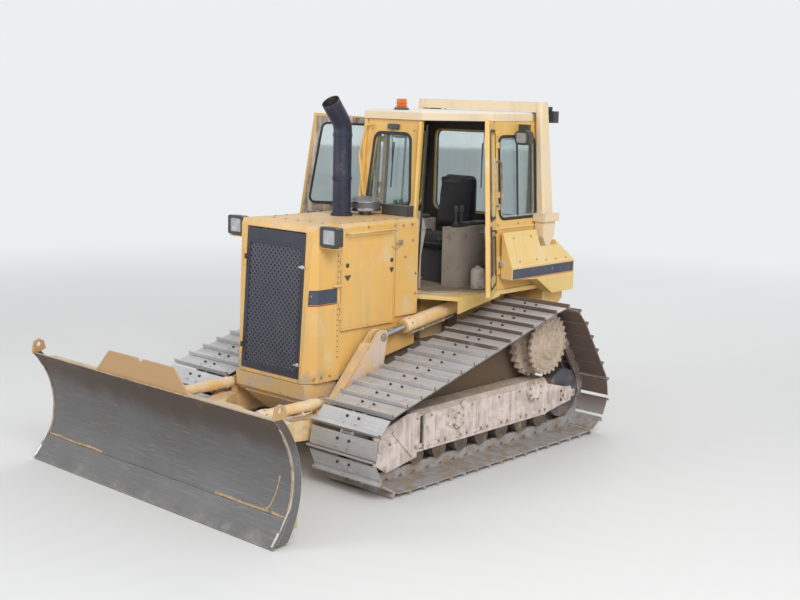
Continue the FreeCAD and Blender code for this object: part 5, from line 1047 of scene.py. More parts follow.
@dataclass
class Tracks:
    """The bolts on both tracks' shoes."""

    gauge_half: float = 1.0
    shoe_half: float = 0.37
    bolt_rows: tuple[float, ...] = (-0.064, 0.064)
    bolt_across: float = 0.018

    def build(self, nodes: dict[str, bpy.types.Object]) -> None:
        """Finds every shoe of a track and sets its bolts.

        Args:
            nodes: the CAD nodes by name.
        """
        for side, sign in SIDES:
            node = nodes[f"track_{side}"]
            middle_y = self.gauge_half * sign
            # The near-black row paints the shade of the bolt holes; the pale row is in the shoe's
            # own steel.
            dark, pale = Shape(f"shaded_shoe_bolts_{side}"), Shape(f"shoe_studs_{side}")
            across = Vector((0, 1, 0))
            for face in flat_faces(node):
                low, high = face.reach(across)
                narrow = high - low < 1.6 * self.shoe_half
                if abs(face.normal.y) > 0.05 or narrow or face.area < 0.05:
                    continue
                outward = self.is_outward(face)
                if not outward:
                    continue
                along = across.cross(face.normal)
                start, end = face.reach(along)
                if end - start < 0.08:
                    continue
                for row in self.bolt_rows:
                    for share, shape in ((0.34, dark), (0.72, pale)):
                        at = face.middle + along * ((start + end) / 2 - face.middle.dot(along)
                            + (share - 0.5) * (end - start))
                        at.y = middle_y + row
                        shape.bolt(at, face.normal, self.bolt_across, 0.014)
            dark.make(SHADED_SHOE_BOLT)
            pale.make(SHOE)

    def is_outward(self, face: FlatFace) -> bool:
        """Tells whether a shoe's face looks away from the inside of the track."""
        inside = Vector((-0.45, face.middle.y, 0.55))
        return face.normal.dot(face.middle - inside) > 0


@dataclass
class Grille:
    """The grille door's woven mesh with its rim, and its two latches."""

    half: float = 0.328
    low: float = 0.862
    high: float = 1.918
    step: float = 0.050
    wire: float = 0.0068
    latch_heights: tuple[float, ...] = (0.934, 1.748)

    def build(self) -> None:
        """Makes the mesh, the rim and the latches."""
        plane = GRILLE_PLANE
        mesh = Shape("grille_mesh")
        for slant, out in ((1.0, 0.0005), (-1.0, 0.003)):
            for number in range(int((self.high - self.low + 2 * self.half) / self.step)):
                level = self.low - self.half + (number + 0.5) * self.step
                ends = sorted(((self.low - level) / slant, (self.high - level) / slant))
                start, end = max(-self.half, ends[0]), min(self.half, ends[1])
                if end - start < 0.012:
                    continue
                way = Vector((-slant, 1.0)).normalized() * self.wire
                outline = [(start + way.x, level + slant * start + way.y),
                    (start - way.x, level + slant * start - way.y),
                    (end - way.x, level + slant * end - way.y),
                    (end + way.x, level + slant * end + way.y)]
                mesh.plate(plane, outline, 0.003, out)
        mesh.make(MESH, body="grille_door")
        rim = Shape("grille_rim")
        frame = rounded(oblong(-self.half, self.low, self.half, self.high), 0.02)
        rim.ring(plane, offset(frame, -0.014), offset(frame, 0.006), 0.0, 0.0125)
        rim.plate(plane, rounded(oblong(-0.334, 1.934, 0.334, 2.018), 0.008, 3), 0.003, 0.008)
        rim.make(GRILLE, 0.002, body="grille_door")
        latches = Shape("grille_latches")
        for height in self.latch_heights:
            up = height / math.cos(math.atan(GRILLE_LEAN))
            latches.knob(plane, (0.336, up, 0.008), [(0.0, 0.0), (0.019, 0.0), (0.019, 0.005),
                (0.012, 0.008), (0.012, 0.016), (0.0, 0.018)], 20)
            latches.plate(plane, rounded(oblong(0.302, up - 0.008, 0.378, up + 0.008), 0.007, 4),
                0.008, 0.017)
        latches.make(SILVER, 0.002, body="grille_door")


@dataclass
class Hood:
    """What is fastened to the guard, the hood and the engine doors."""

    half: float = 0.47

    def build(self) -> None:
        """Makes both sides' fittings and the top's."""
        for side, sign in SIDES:
            self.guard(side, sign)
            self.fittings(side, sign)
            self.door(side, sign)
        self.top()
        self.lamps()

    def face(self, sign: float) -> Plane:
        """Returns the hood's side face."""
        return leaning((0, self.half * sign, 0), (1, 0, 0), (0, 0, 1), (0, sign, 0))

    @staticmethod
    def chamfer(height: float) -> tuple[float, float]:
        """Returns the guard's chamfer's front end, as x and y, at a height."""
        reach = 1.060 - GRILLE_LEAN * (height - 0.785) - 0.006
        return reach, 0.470 - (reach - 0.941) * 0.085 / 0.119

    def guard(self, side: str, sign: float) -> None:
        """Makes the plain plate and its line round the guard's corner, and the rivets behind."""
        for name, finish, low, high in (("plate", STRIPE, 1.446, 1.567),
                ("line", RED, 1.432, 1.443)):
            shape = Shape(f"guard_{name}_{side}")
            y = (self.half + 0.0004) * sign
            shape.sheet([(0.727, y, low), (0.941, y, low), (0.941, y, high), (0.727, y, high)],
                (0, 0.0016 * sign, 0))
            low_x, low_y = self.chamfer(low)
            high_x, high_y = self.chamfer(high)
            shape.sheet([(0.941, y, low), (low_x, (low_y + 0.0004) * sign, low),
                (high_x, (high_y + 0.0004) * sign, high), (0.941, y, high)],
                (0.0009, 0.0013 * sign, 0))
            shape.make(finish)
        strip = Shape(f"guard_rivets_{side}")
        plane = self.face(sign)
        strip.plate(plane, oblong(0.706, 0.96, 0.730, 1.42), 0.002)
        strip.plate(plane, oblong(0.706, 1.58, 0.730, 1.88), 0.002)
        strip.make(PANEL, 0.0008)
        dots = Shape(f"guard_dots_{side}")
        for number in range(20):
            height = 0.98 + number * 0.045
            if not 1.41 < height < 1.59:
                dots.knob(plane, (0.718, height, 0.001),
                    [(0.0062, 0.0), (0.0058, 0.003), (0.003, 0.0042), (0.0, 0.0045)], 10)
        dots.make(SOOT)
        bar = Shape(f"guard_handle_{side}")
        bar.pipe(plane, [(0.694, 1.584, 0.006), (0.704, 1.585, 0.022), (0.74, 1.586, 0.028),
            (0.768, 1.587, 0.022), (0.778, 1.588, 0.002)], 0.0085)
        bar.make(SUNLIT_FENDER)

    def fittings(self, side: str, sign: float) -> None:
        """Makes the stand-off rail, the latch with its chain and the bolts of the rear panel."""
        plane = self.face(sign)
        rail = Shape(f"hood_rail_{side}")
        rail.pipe(plane, [(0.641, 2.019, 0.0), (0.640, 2.019, 0.045), (0.630, 2.019, 0.060),
            (0.610, 2.0195, 0.062), (0.124, 2.0215, 0.062), (0.104, 2.022, 0.060),
            (0.094, 2.022, 0.045), (0.093, 2.022, 0.0)], 0.0085, 10)
        for x in (0.641, 0.093):
            rail.knob(plane, (x, 2.020, 0.0), [(0.0, 0.0), (0.021, 0.0), (0.021, 0.005),
                (0.010, 0.008), (0.0, 0.008)], 16)
        rail.make(CAB_PANEL)
        bolts = Shape(f"panel_bolts_{side}")
        for x, z in ((0.028, 2.043), (-0.078, 2.036), (-0.194, 2.039), (-0.207, 1.897),
                (-0.111, 1.758), (-0.25, 1.60), (-0.25, 1.42), (0.665, 2.043), (0.36, 2.052),
                (0.80, 0.83), (0.90, 0.83), (0.98, 0.83), (0.72, 2.052)):
            bolts.screw(plane, (x, z), 0.017, 0.010, x * 40)
        bolts.make(BOLT)
        latch = Shape(f"panel_latch_{side}")
        latch.plate(plane, rounded(oblong(-0.075, 1.865, -0.020, 1.912), 0.006, 3), 0.006)
        latch.pipe(plane, [(-0.06, 1.895, 0.012), (-0.02, 1.90, 0.02), (0.016, 1.885, 0.012)],
            0.006)
        latch.knob(plane, (-0.048, 1.888, 0.004), [(0.014, 0.0), (0.014, 0.008), (0.008, 0.013),
            (0.0, 0.013)], 14)
        links = [plane.at(-0.045 + 0.0125 * number, 1.868 - 0.030 * math.sin(math.pi * number / 9),
            0.006) for number in range(10)]
        latch.tube(links, 0.0035, 6)
        latch.make(CHAIN, 0.001)

    def door(self, side: str, sign: float) -> None:
        """Makes an engine door's locks, pulls and the fold round its edge."""
        plane = self.face(sign)
        body = f"{side}_engine_door"
        edge = Shape(f"door_fold_{side}")
        outline = rounded(oblong(0.026, 1.198, 0.678, 1.994), 0.014, 4)
        edge.ring(plane, offset(outline, -0.016), outline, -0.001, 0.0035)
        edge.make(PANEL, 0.0015, body=body)
        locks = Shape(f"door_locks_{side}")
        for x, z in ((0.609, 1.744), (0.064, 1.747)):
            locks.knob(plane, (x, z, 0.0), [(0.020, 0.0), (0.020, 0.003), (0.017, 0.005),
                (0.010, 0.005), (0.009, 0.002), (0.0, 0.002)], 22)
        locks.make(SOOT, body=body)
        pulls = Shape(f"door_pulls_{side}")
        for low, high, z in ((0.560, 0.650, 1.640), (0.032, 0.095, 1.660)):
            middle = (low + high) / 2
            outline = rounded([(low, z + 0.022), (middle, z - 0.030), (high, z + 0.022)], 0.007, 4)
            pulls.plate(plane, outline, 0.0035)
            pulls.screw(plane, (middle, z + 0.006, 0.003), 0.012, 0.007)
        pulls.make(SOOT, 0.001, body=body)

    def top(self) -> None:
        """Makes the hood top's bolts, its seam, the stack's collar and the intake's clamp."""
        bolts = Shape("hood_top_bolts")
        for y in (-0.40, 0.40):
            for x in (0.63, 0.50, 0.36, 0.22, 0.08, -0.06, -0.20):
                bolts.bolt((x, y, 2.09), (0, 0, 1), 0.015, 0.008, x * 30)
        for y in (-0.30, -0.15, 0.0, 0.15, 0.30):
            bolts.bolt((0.74, y, 2.09), (0, 0, 1), 0.015, 0.008, y * 30)
        bolts.make(BOLT)
        seam = Shape("hood_top_strip")
        seam.box((0.69, 0.0, 2.0905), (0.044, 0.86, 0.003))
        for y in (-0.405, 0.405):
            seam.box((0.19, y, 2.0905), (0.90, 0.040, 0.0026))
        seam.make(PANEL, 0.001)
        stack = Shape("stack_clamps")
        for z, wide in ((2.10, 0.016), (2.42, 0.006), (2.80, 0.005)):
            stack.lathe((0.12, -0.097, z), (0, 0, 1),
                [(0.081, -0.014), (0.0825 + wide, -0.014), (0.0825 + wide, 0.014), (0.081, 0.014)],
                36)
        stack.box((0.205, -0.097, 2.42), (0.022, 0.020, 0.030))
        stack.bolt((0.216, -0.097, 2.42), (1, 0, 0), 0.014, 0.010)
        stack.make(STACK, 0.002)
        clean = Shape("intake_fittings")
        clean.lathe((-0.13, -0.05, 2.09), (0, 0, 1),
            [(0.139, 0.040), (0.146, 0.042), (0.146, 0.062), (0.139, 0.064)], 40)
        clean.lathe((-0.13, -0.05, 2.09), (0, 0, 1),
            [(0.139, 0.112), (0.144, 0.114), (0.144, 0.122), (0.139, 0.124)], 40)
        clean.lathe((-0.13, -0.05, 2.09), (0, 0, 1),
            [(0.016, 0.155), (0.016, 0.170), (0.007, 0.172), (0.007, 0.184), (0.0, 0.186)], 16)
        clean.make(CHROME, 0.001)

    def lamps(self) -> None:
        """Makes the headlamps' housings, rims, lenses and brackets."""
        for side, sign in SIDES:
            outline = mirrored(rounded(oblong(0.482, 1.932, 0.672, 2.098), 0.022, 5), sign)
            plane = leaning((0.0, 0.0, 0.0), (0, 1, 0), (0, 0, 1), (1, 0, 0))
            case = Shape(f"headlamp_case_{side}")
            case.sheet(plane.points(offset(outline, -0.004), 0.862), (0.066, 0, 0))
            case.ring(plane, offset(outline, -0.024), outline, 0.918, 0.944)
            for number in range(5):
                z = 1.955 + number * 0.03
                case.box((0.856, 0.577 * sign, z), (0.010, 0.14, 0.008))
            case.make(BLACK, 0.003)
            lens = Shape(f"headlamp_lens_{side}")
            lens.sheet(plane.points(offset(outline, -0.016), 0.9285), (0.007, 0, 0))
            for radius in (0.058, 0.040, 0.020):
                lens.lathe((0.9345, 0.577 * sign, 2.015), (1, 0, 0),
                    [(radius, 0.0), (radius - 0.004, 0.0035), (radius - 0.010, 0.0005)], 28)
            lens.make(LENS, 0.003)
            bracket = Shape(f"headlamp_bracket_{side}")
            bracket.box((0.895, 0.565 * sign, 1.921), (0.075, 0.19, 0.010))
            bracket.box((0.895, 0.474 * sign, 1.955), (0.075, 0.010, 0.075))
            bracket.make(PANEL, 0.003)
            bolts = Shape(f"headlamp_bolts_{side}")
            for y, z in ((0.500, 1.915), (0.640, 1.915)):
                bolts.bolt((0.895, y * sign, z), (0, 0, -1), 0.014, 0.008)
            bolts.make(BOLT)


@dataclass(frozen=True)
class Ram:
    """One cylinder: the bodies of its halves, its two pins and its sizes."""

    name: str
    barrel: str
    start: Point
    end: Point
    length: float
    radius: float
    rod_radius: float
    below: Point = (0.0, 0.0, -1.0)

    def build(self) -> None:
        """Makes the gland with its bolts, the base band and the pipe below."""
        start, end = Vector(self.start), Vector(self.end)
        along = (end - start).normalized()
        down = Vector(self.below)
        down = (down - along * down.dot(along)).normalized()
        side = along.cross(down)
        big, small, far = self.radius, self.rod_radius, self.length
        gland = Shape(f"{self.name}_gland")
        gland.lathe(start, along, [(big * 0.96, far - 0.105), (big + 0.004, far - 0.100),
            (big + 0.0055, far - 0.092), (big + 0.0055, far - 0.024), (big + 0.003, far - 0.010),
            (big * 0.90, far + 0.0005), (big * 0.80, far + 0.001), (small + 0.010, far + 0.001),
            (small + 0.001, far + 0.0005)], 36, True)
        gland.lathe(start, along, [(big * 0.96, 0.115), (big + 0.006, 0.118), (big + 0.006, 0.138),
            (big * 0.96, 0.141)], 32, True)
        gland.make(FRAME, 0.0015, body=self.barrel)
        bolts = Shape(f"{self.name}_gland_bolts")
        for number in range(8):
            angle = 2 * math.pi * (number + 0.5) / 8
            way = down * math.cos(angle) + side * math.sin(angle)
            bolts.bolt(start + along * (far - 0.058) + way * (big + 0.004), way, 0.012, 0.006)
        bolts.make(BOLT, body=self.barrel)
        pipe = Shape(f"{self.name}_pipe")
        drop = big + 0.020
        pipe.tube([start + along * (far - 0.060) + down * (big + 0.006),
            start + along * (far - 0.062) + down * drop,
            start + along * (far - 0.085) + down * (drop + 0.004),
            start + along * (far * 0.5) + down * (drop + 0.004),
            start + along * 0.20 + down * (drop + 0.002), start + along * 0.165 + down * drop,
            start + along * 0.155 + down * (big - 0.004)], 0.0085, 10)
        pipe.make(PIPE, body=self.barrel)
        clips = Shape(f"{self.name}_clips")
        for share in (0.36, 0.70):
            clips.lathe(start + along * far * share, along,
                [(big - 0.002, -0.010), (big + 0.003, -0.010), (big + 0.003, 0.010),
                (big - 0.002, 0.010)], 32, True)
            clips.bar(start + along * far * share + down * (big - 0.004),
                start + along * far * share + down * (drop + 0.018), 0.010, sides=10)
        clips.make(FRAME, 0.001, body=self.barrel)


def rams() -> list[Ram]:
    """Returns the machine's five cylinders."""
    found = []
    for side, sign in SIDES:
        found.append(Ram(f"lift_{side}", f"lift_barrel_{side}", (-0.85, 0.54 * sign, 1.28),
            (0.28, 0.54 * sign, 1.11), 0.83, 0.062, 0.034))
        found.append(Ram(f"angle_{side}", f"angle_barrel_{side}", (0.95, 0.54 * sign, 0.64),
            (1.96, 0.52 * sign, 0.64), 0.70, 0.046, 0.025, (0.0, sign, -1.0)))
    found.append(Ram("tilt", "tilt_barrel", (2.056, -0.42, 0.70), (2.056, 0.42, 0.70), 0.56, 0.040,
        0.022, (0.0, 0.0, 1.0)))
    return found


@dataclass
class PushFrame:
    """Pin caps, weld beads and bolts on the C-frame and the yoke."""

    arm: float = 0.54
    outer: float = 0.593

    def build(self) -> None:
        """Makes both sides' pin caps, the nose's and the welds."""
        for side, sign in SIDES:
            caps = Shape(f"arm_caps_{side}")
            out = Vector((0, sign, 0))
            for x, z, radius in ((0.28, 1.11, 0.036), (-0.42, 0.45, 0.072)):
                caps.lathe((x, self.outer * sign, z), out,
                    [(radius, -0.004), (radius, 0.010), (radius - 0.006, 0.016), (0.016, 0.016),
                    (0.014, 0.024), (0.0, 0.024)], 28)
            caps.lathe((0.95, self.arm * sign, 0.668), (0, 0, 1),
                [(0.038, 0.0), (0.038, 0.012), (0.030, 0.018), (0.0, 0.018)], 24)
            caps.make(CHAIN, 0.0015, body="c_frame")
            self.tower(side, sign)
            bolts = Shape(f"arm_bolts_{side}")
            for number in range(4):
                angle = math.pi * (0.25 + number / 2)
                bolts.bolt((-0.42 + 0.052 * math.cos(angle), (self.outer + 0.015) * sign,
                    0.45 + 0.052 * math.sin(angle)), (0, sign, 0), 0.018, 0.011)
            for x, z in ((0.40, 0.46), (0.62, 0.46), (0.84, 0.46)):
                bolts.bolt((x, self.outer * sign, z), (0, sign, 0), 0.020, 0.012, x)
            bolts.make(BOLT, body="c_frame")
            welds = Shape(f"arm_welds_{side}")
            for edge in (self.outer - 0.002, 2 * self.arm - self.outer + 0.002):
                welds.bead([(0.335, edge * sign, 0.541), (0.60, edge * sign, 0.541),
                    (0.878, edge * sign, 0.541)], 0.006)
            welds.bead([(1.02, self.outer * sign - 0.001, 0.541),
                (1.11, self.outer * sign - 0.001, 0.541), (1.30, (self.outer - 0.06) * sign, 0.541),
                (1.65, 0.125 * sign, 0.541)], 0.006)
            welds.make(WELD, body="c_frame")
        self.nose()

    def tower(self, side: str, sign: float) -> None:
        """Makes the dusty skins of a lift tower's plates and the bar along its slope, whose lighter
        yellow is painted sunlight.
        """
        outline = rounded([(0.340, 0.536), (0.866, 0.536), (0.852, 0.592), (0.348, 1.148),
            (0.302, 1.164), (0.244, 1.158), (0.227, 1.124), (0.246, 1.052)], 0.008, 3)
        skin = Shape(f"tower_skin_{side}")
        for y, thick in ((self.outer + 0.0003, 0.0022),
                (2 * self.arm - self.outer - 0.0003, -0.0022)):
            skin.sheet([(x, y * sign, z) for x, z in outline], (0, thick * sign, 0))
        skin.make(TOWER, 0.0008, body="c_frame")
        # A strip in the lighter fender yellow over the tower's slope: painted sunlight.
        bar = Shape(f"tower_bar_{side}")
        start, end = Vector((0.868, self.arm * sign, 0.604)), Vector((0.452, self.arm * sign,
            1.064))
        run = (end - start).normalized()
        out = Vector((run.z, 0.0, -run.x))
        across = Vector((0.0, 0.050, 0.0))
        bar.sheet([start - across, start + across, end + across, end - across], out * 0.007)
        bar.make(SUNLIT_FENDER, 0.003, body="c_frame")

    def nose(self) -> None:
        """Makes the nose's cap and bolts and the yoke's welds."""
        nose = Shape("nose_cap")
        nose.lathe((1.72, 0, 0.616), (0, 0, 1), [(0.072, -0.004), (0.072, 0.012), (0.060, 0.020),
            (0.020, 0.020), (0.018, 0.030), (0.0, 0.030)], 30)
        nose.make(FRAME, 0.0015, body="c_frame")
        bolts = Shape("nose_bolts")
        for number in range(6):
            angle = 2 * math.pi * number / 6
            bolts.bolt((1.72 + 0.048 * math.cos(angle), 0.048 * math.sin(angle), 0.634), (0, 0, 1),
                0.016, 0.010)
        bolts.make(BOLT, body="c_frame")
        yoke = Shape("yoke_welds")
        for _, sign in SIDES:
            yoke.bead([(1.924, 0.11 * sign, 0.668), (1.924, 0.30 * sign, 0.624),
                (1.924, 0.42 * sign, 0.600)], 0.006)
            yoke.bar((1.96, 0.52 * sign, 0.604), (1.96, 0.52 * sign, 0.6055), 0.05, sides=24)
        yoke.make(WELD, body="yoke")


@dataclass
class Cab:
    """Window seals, corner posts, wipers, lamps and the fittings of the cab and its roll bar."""

    door_width: float = 0.8274
    door_taper: float = 0.105
    door_height: float = 1.5427
    door_split: float = 0.600
    front_window: tuple[Spot, ...] = ((-0.268, 0.765), (0.268, 0.765), (0.214, 1.415),
        (-0.214, 1.415))
    side_window: tuple[float, ...] = (-1.64, 0.655, -1.105, 1.40)
    rear_window: tuple[float, ...] = (-0.582, 2.02, 0.582, 2.815)

    def build(self) -> None:
        """Makes the cab's outer fittings and both doors'."""
        self.front()
        self.rear()
        self.lining()
        for side, sign in SIDES:
            self.side(side, sign)
            self.door(side, sign)
            self.post(side, sign)
        self.roof()

    @staticmethod
    def seal(name: str, body: str, plane: Plane, corners: Outline, radius: float,
            inner: bool = False) -> None:
        """Makes a window's rubber seal, with a pale frame inside it if asked."""
        shape = Shape(name)
        outline = rounded(corners, radius, 8)
        shape.ring(plane, offset(outline, -0.010), offset(outline, 0.014), -0.004, 0.007)
        shape.ring(plane, offset(outline, 0.010), offset(outline, 0.018), 0.000, 0.004)
        shape.make(RUBBER, 0.002, body=body)
        if inner:
            trim = Shape(f"{name}_frame")
            trim.ring(plane, offset(outline, -0.026), offset(outline, -0.010), -0.006, 0.003)
            trim.make(SILVER, 0.0015, body=body)

    def front(self) -> None:
        """Makes the front window's seal, the wiper and the wall's corner bolts."""
        plane = FRONT_PLANE
        self.seal("front_seal", "base", plane, list(self.front_window), 0.07)
        wiper = Shape("front_wiper")
        wiper.plate(plane, rounded(oblong(-0.045, 1.452, 0.075, 1.502), 0.012, 4), 0.034, 0.0)
        wiper.pipe(plane, [(0.02, 1.470, 0.034), (0.024, 1.46, 0.046), (0.030, 1.30, 0.030),
            (0.034, 1.16, 0.022)], 0.0045, 8)
        wiper.plate(plane, oblong(0.029, 0.93, 0.039, 1.34), 0.011, 0.009)
        wiper.make(BLACK, 0.0015)
        cowl = Shape("front_cowl")
        cowl.plate(plane, rounded(oblong(-0.19, 0.705, 0.19, 0.738), 0.010, 4), 0.010, 0.0)
        cowl.make(CAB_PANEL, 0.003)
        bolts = Shape("front_bolts")
        for y, up in ((-0.25, 0.72), (0.25, 0.72), (-0.27, 1.45), (0.27, 1.45)):
            bolts.screw(plane, (y * 0.95, up, 0.0), 0.013, 0.008, up)
        bolts.make(BOLT)

    def rear(self) -> None:
        """Makes the rear window's seal and its wiper."""
        plane = leaning((-1.74, 0, 0), (0, -1, 0), (0, 0, 1), (-1, 0, 0))
        self.seal("rear_seal", "base", plane, oblong(*self.rear_window), 0.07)
        wiper = Shape("rear_wiper")
        wiper.plate(plane, rounded(oblong(-0.05, 2.845, 0.07, 2.895), 0.010, 4), 0.030)
        wiper.pipe(plane, [(0.01, 2.865, 0.030), (0.01, 2.85, 0.040), (0.012, 2.66, 0.026),
            (0.014, 2.50, 0.020)], 0.0045, 8)
        wiper.plate(plane, oblong(0.009, 2.26, 0.019, 2.70), 0.011, 0.009)
        wiper.make(BLACK, 0.0015)

    def side(self, side: str, sign: float) -> None:
        """Makes a side window's seal and bars, the lamp above it, its bolts and the sill strip."""
        plane = side_plane(sign)
        self.seal(f"side_seal_{side}", "base", plane, oblong(*self.side_window), 0.06, inner=True)
        bars = Shape(f"side_window_bars_{side}")
        bars.plate(plane, oblong(-1.385, 0.672, -1.363, 1.383), 0.008, -0.004)
        bars.make(RUBBER, 0.0015)
        lamp = Shape(f"side_lamp_rim_{side}")
        face = leaning((-1.3405, 0.0, 0.0), (0, 1, 0), (0, 0, 1), (1, 0, 0))
        outline = mirrored(rounded(oblong(0.700, 2.732, 0.842, 2.850), 0.030, 6), sign)
        lamp.ring(face, offset(outline, -0.014), outline, -0.004, 0.012)
        lamp.sheet(face.points(offset(outline, 0.006), -0.080), (0.070, 0, 0))
        lamp.make(SOOT, 0.003)
        lens = Shape(f"side_lamp_lens_{side}")
        lens.sheet(face.points(offset(outline, -0.013), 0.0005), (0.006, 0, 0))
        lens.make(LENS, 0.002)
        bolts = Shape(f"side_bolts_{side}")
        for x, up in ((-1.68, 0.60), (-1.38, 0.60), (-1.075, 0.60), (-1.68, 1.46), (-1.075, 1.46)):
            bolts.screw(plane, (x, up), 0.014, 0.008, x * 9)
        bolts.make(BOLT)
        strip = Shape(f"side_sill_{side}")
        strip.plate(plane, oblong(-1.70, 0.560, -1.035, 0.578), 0.008)
        strip.make(SUNLIT_FENDER, 0.002)

    def post(self, side: str, sign: float) -> None:
        """Makes a front corner's bright post and the seals that the door shuts on."""
        shape = Shape(f"corner_post_{side}")
        low, top = Vector((-0.304, 0.354 * sign, 1.405)), Vector((-0.428, 0.332 * sign, 2.930))
        shape.bar(low, top, 0.018, sides=20)
        shape.make(CAB_PANEL)
        edge = Shape(f"door_frame_seal_{side}")
        hinge_low, hinge_top = Vector((-1.000, 0.764 * sign, 1.44)), Vector((-1.000, 0.676 * sign,
            2.90))
        front_low, front_top = Vector((-0.352, 0.400 * sign, 1.44)), Vector((-0.468, 0.378 * sign,
            2.90))
        edge.tube([hinge_low, hinge_top], 0.009, 8)
        edge.tube([front_low, front_top], 0.009, 8)
        edge.make(RUBBER)

    def roof(self) -> None:
        """Makes the roof's drip edge, the beacon's base and rings, and the rear lamps' lenses."""
        rim = Shape("roof_drip")
        rim.tube([(-0.440, 0.330, 2.945), (-0.4395, 0.15, 2.945), (-0.4395, -0.15, 2.945),
            (-0.440, -0.330, 2.945)], 0.007, 8)
        rim.make(RUBBER)
        low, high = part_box("beacon")
        middle = (Vector(low) + Vector(high)) / 2
        radius = (high[0] - low[0]) / 2
        base = Shape("beacon_base")
        base.lathe((middle.x, middle.y, low[2]), (0, 0, 1),
            [(radius * 1.16, -0.004), (radius * 1.16, 0.012), (radius * 1.02, 0.022),
            (radius * 1.0, 0.022)], 32)
        base.make(BLACK, 0.001)
        rings = Shape("beacon_rings")
        for share in (0.34, 0.62):
            z = low[2] + (high[2] - low[2]) * share
            rings.lathe((middle.x, middle.y, z), (0, 0, 1),
                [(radius * 0.97, -0.004), (radius * 1.015, 0.0), (radius * 0.97, 0.004)], 32)
        rings.make(BEACON)
        for side, sign in SIDES:
            lens = Shape(f"rear_lamp_lens_{side}")
            lens.lathe((-1.862, 0.60 * sign, 2.98), (-1, 0, -0.06),
                [(0.046, 0.0), (0.045, 0.012), (0.026, 0.020), (0.0, 0.022)], 28)
            lens.make(LENS)

    def lining(self) -> None:
        """Makes the dark lining of the cab's walls and roof."""
        liner = Shape("cab_lining")
        rear = leaning((-1.70, 0, 0), (0, 1, 0), (0, 0, 1), (1, 0, 0))
        window = rounded(oblong(*self.rear_window), 0.07, 6)
        wall = rounded([(-0.722, 1.43), (0.722, 1.43), (0.640, 2.925), (-0.640, 2.925)], 0.01, 6)
        liner.ring(rear, offset(window, 0.012), wall, 0.001, 0.006)
        for _, sign in SIDES:
            plane = side_plane(sign)
            window = rounded(oblong(*self.side_window), 0.06, 6)
            wall = rounded(oblong(-1.695, 0.02, -1.056, 1.530), 0.01, 6)
            liner.ring(plane, offset(window, 0.012), wall, -0.046, -0.041)
        window = rounded(list(self.front_window), 0.07, 6)
        wall = rounded([(-0.345, 0.02), (0.345, 0.02), (0.325, 1.530), (-0.325, 1.530)], 0.01, 6)
        liner.ring(FRONT_PLANE, offset(window, 0.012), wall, -0.046, -0.041)
        liner.sheet([(-0.500, -0.335, 2.938), (-0.500, 0.335, 2.938), (-1.045, 0.640, 2.938),
            (-1.695, 0.640, 2.938), (-1.695, -0.640, 2.938), (-1.045, -0.640, 2.938)],
            (0, 0, -0.006))
        liner.make(LINING)

    def door(self, side: str, sign: float) -> None:
        """Makes an open door's seals, inner trim, handles, latch and gas strut."""
        plane = door_plane(sign)
        body = f"{side}_door"

        across, split = self.across, self.door_split
        for name, corners in zip(("upper", "lower"), self.panes()):
            for face, out in (("out", -0.003), ("in", -0.044)):
                shape = Shape(f"{name}_seal_{face}_{side}")
                outline = rounded(corners, 0.06, 8)
                shape.ring(plane, offset(outline, -0.010), offset(outline, 0.012), out - 0.004,
                    out + 0.005)
                shape.make(RUBBER, 0.002, body=body)
        trim = Shape(f"door_trim_{side}")
        panel = rounded([(0.055, split - 0.060), (across(split) - 0.050, split - 0.060),
            (across(split) - 0.050, split + 0.045), (0.055, split + 0.045)], 0.03, 6)
        trim.plate(plane, panel, 0.014, -0.052)
        trim.make(DOOR_TRIM, 0.004, body=body)
        self.door_skin(side, plane, body)
        handle = Shape(f"door_handle_{side}")
        reach = across(split)
        handle.pipe(plane, [(reach - 0.20, split - 0.01, -0.050),
            (reach - 0.20, split - 0.01, -0.085), (reach - 0.18, split - 0.01, -0.092),
            (reach - 0.09, split - 0.01, -0.092), (reach - 0.07, split - 0.01, -0.085),
            (reach - 0.07, split - 0.01, -0.050)], 0.009)
        handle.plate(plane, rounded(oblong(reach - 0.135, split - 0.045, reach - 0.045,
            split + 0.040), 0.012, 4), 0.010)
        handle.pipe(plane, [(reach - 0.115, split, 0.010), (reach - 0.115, split, 0.040),
            (reach - 0.105, split - 0.004, 0.046), (reach - 0.060, split - 0.012, 0.046)], 0.009)
        handle.make(BLACK, 0.002, body=body)
        latch = Shape(f"door_latch_{side}")
        latch.plate(plane, rounded(oblong(reach - 0.035, split - 0.070, reach - 0.012,
            split + 0.050), 0.004, 3), 0.010, -0.046)
        latch.pipe(plane, [(0.045, 0.40, -0.052), (0.050, 0.70, -0.070), (0.052, 1.02, -0.056)],
            0.008, 10)
        latch.pipe(plane, [(0.28, split + 0.10, 0.012), (0.30, split + 0.36, 0.016),
            (0.32, split + 0.62, 0.012)], 0.006, 8)
        latch.make(SILVER, 0.001, body=body)
        grip = Shape(f"door_grip_{side}")
        grip.pipe(plane, [(0.035, 0.78, 0.0), (0.034, 0.78, 0.045), (0.034, 0.80, 0.055),
            (0.034, 1.16, 0.055), (0.034, 1.18, 0.045), (0.035, 1.18, 0.0)], 0.010)
        grip.make(DOOR_TRIM, body=body)

    def across(self, up: float) -> float:
        """Returns how far a door's free edge is from its hinge at a height."""
        return self.door_width - self.door_taper * up

    def panes(self) -> tuple[Outline, Outline]:
        """Returns the corners of a door's upper and lower pane."""
        across, split, top = self.across, self.door_split, self.door_height - 0.085
        upper = [(0.075, split + 0.085), (across(split) - 0.075, split + 0.085),
            (across(self.door_height) - 0.075, top), (0.075, top)]
        lower = [(0.130, 0.090), (across(0.09) - 0.085, 0.090),
            (across(split - 0.085) - 0.085, split - 0.085), (0.130, split - 0.085)]
        return upper, lower

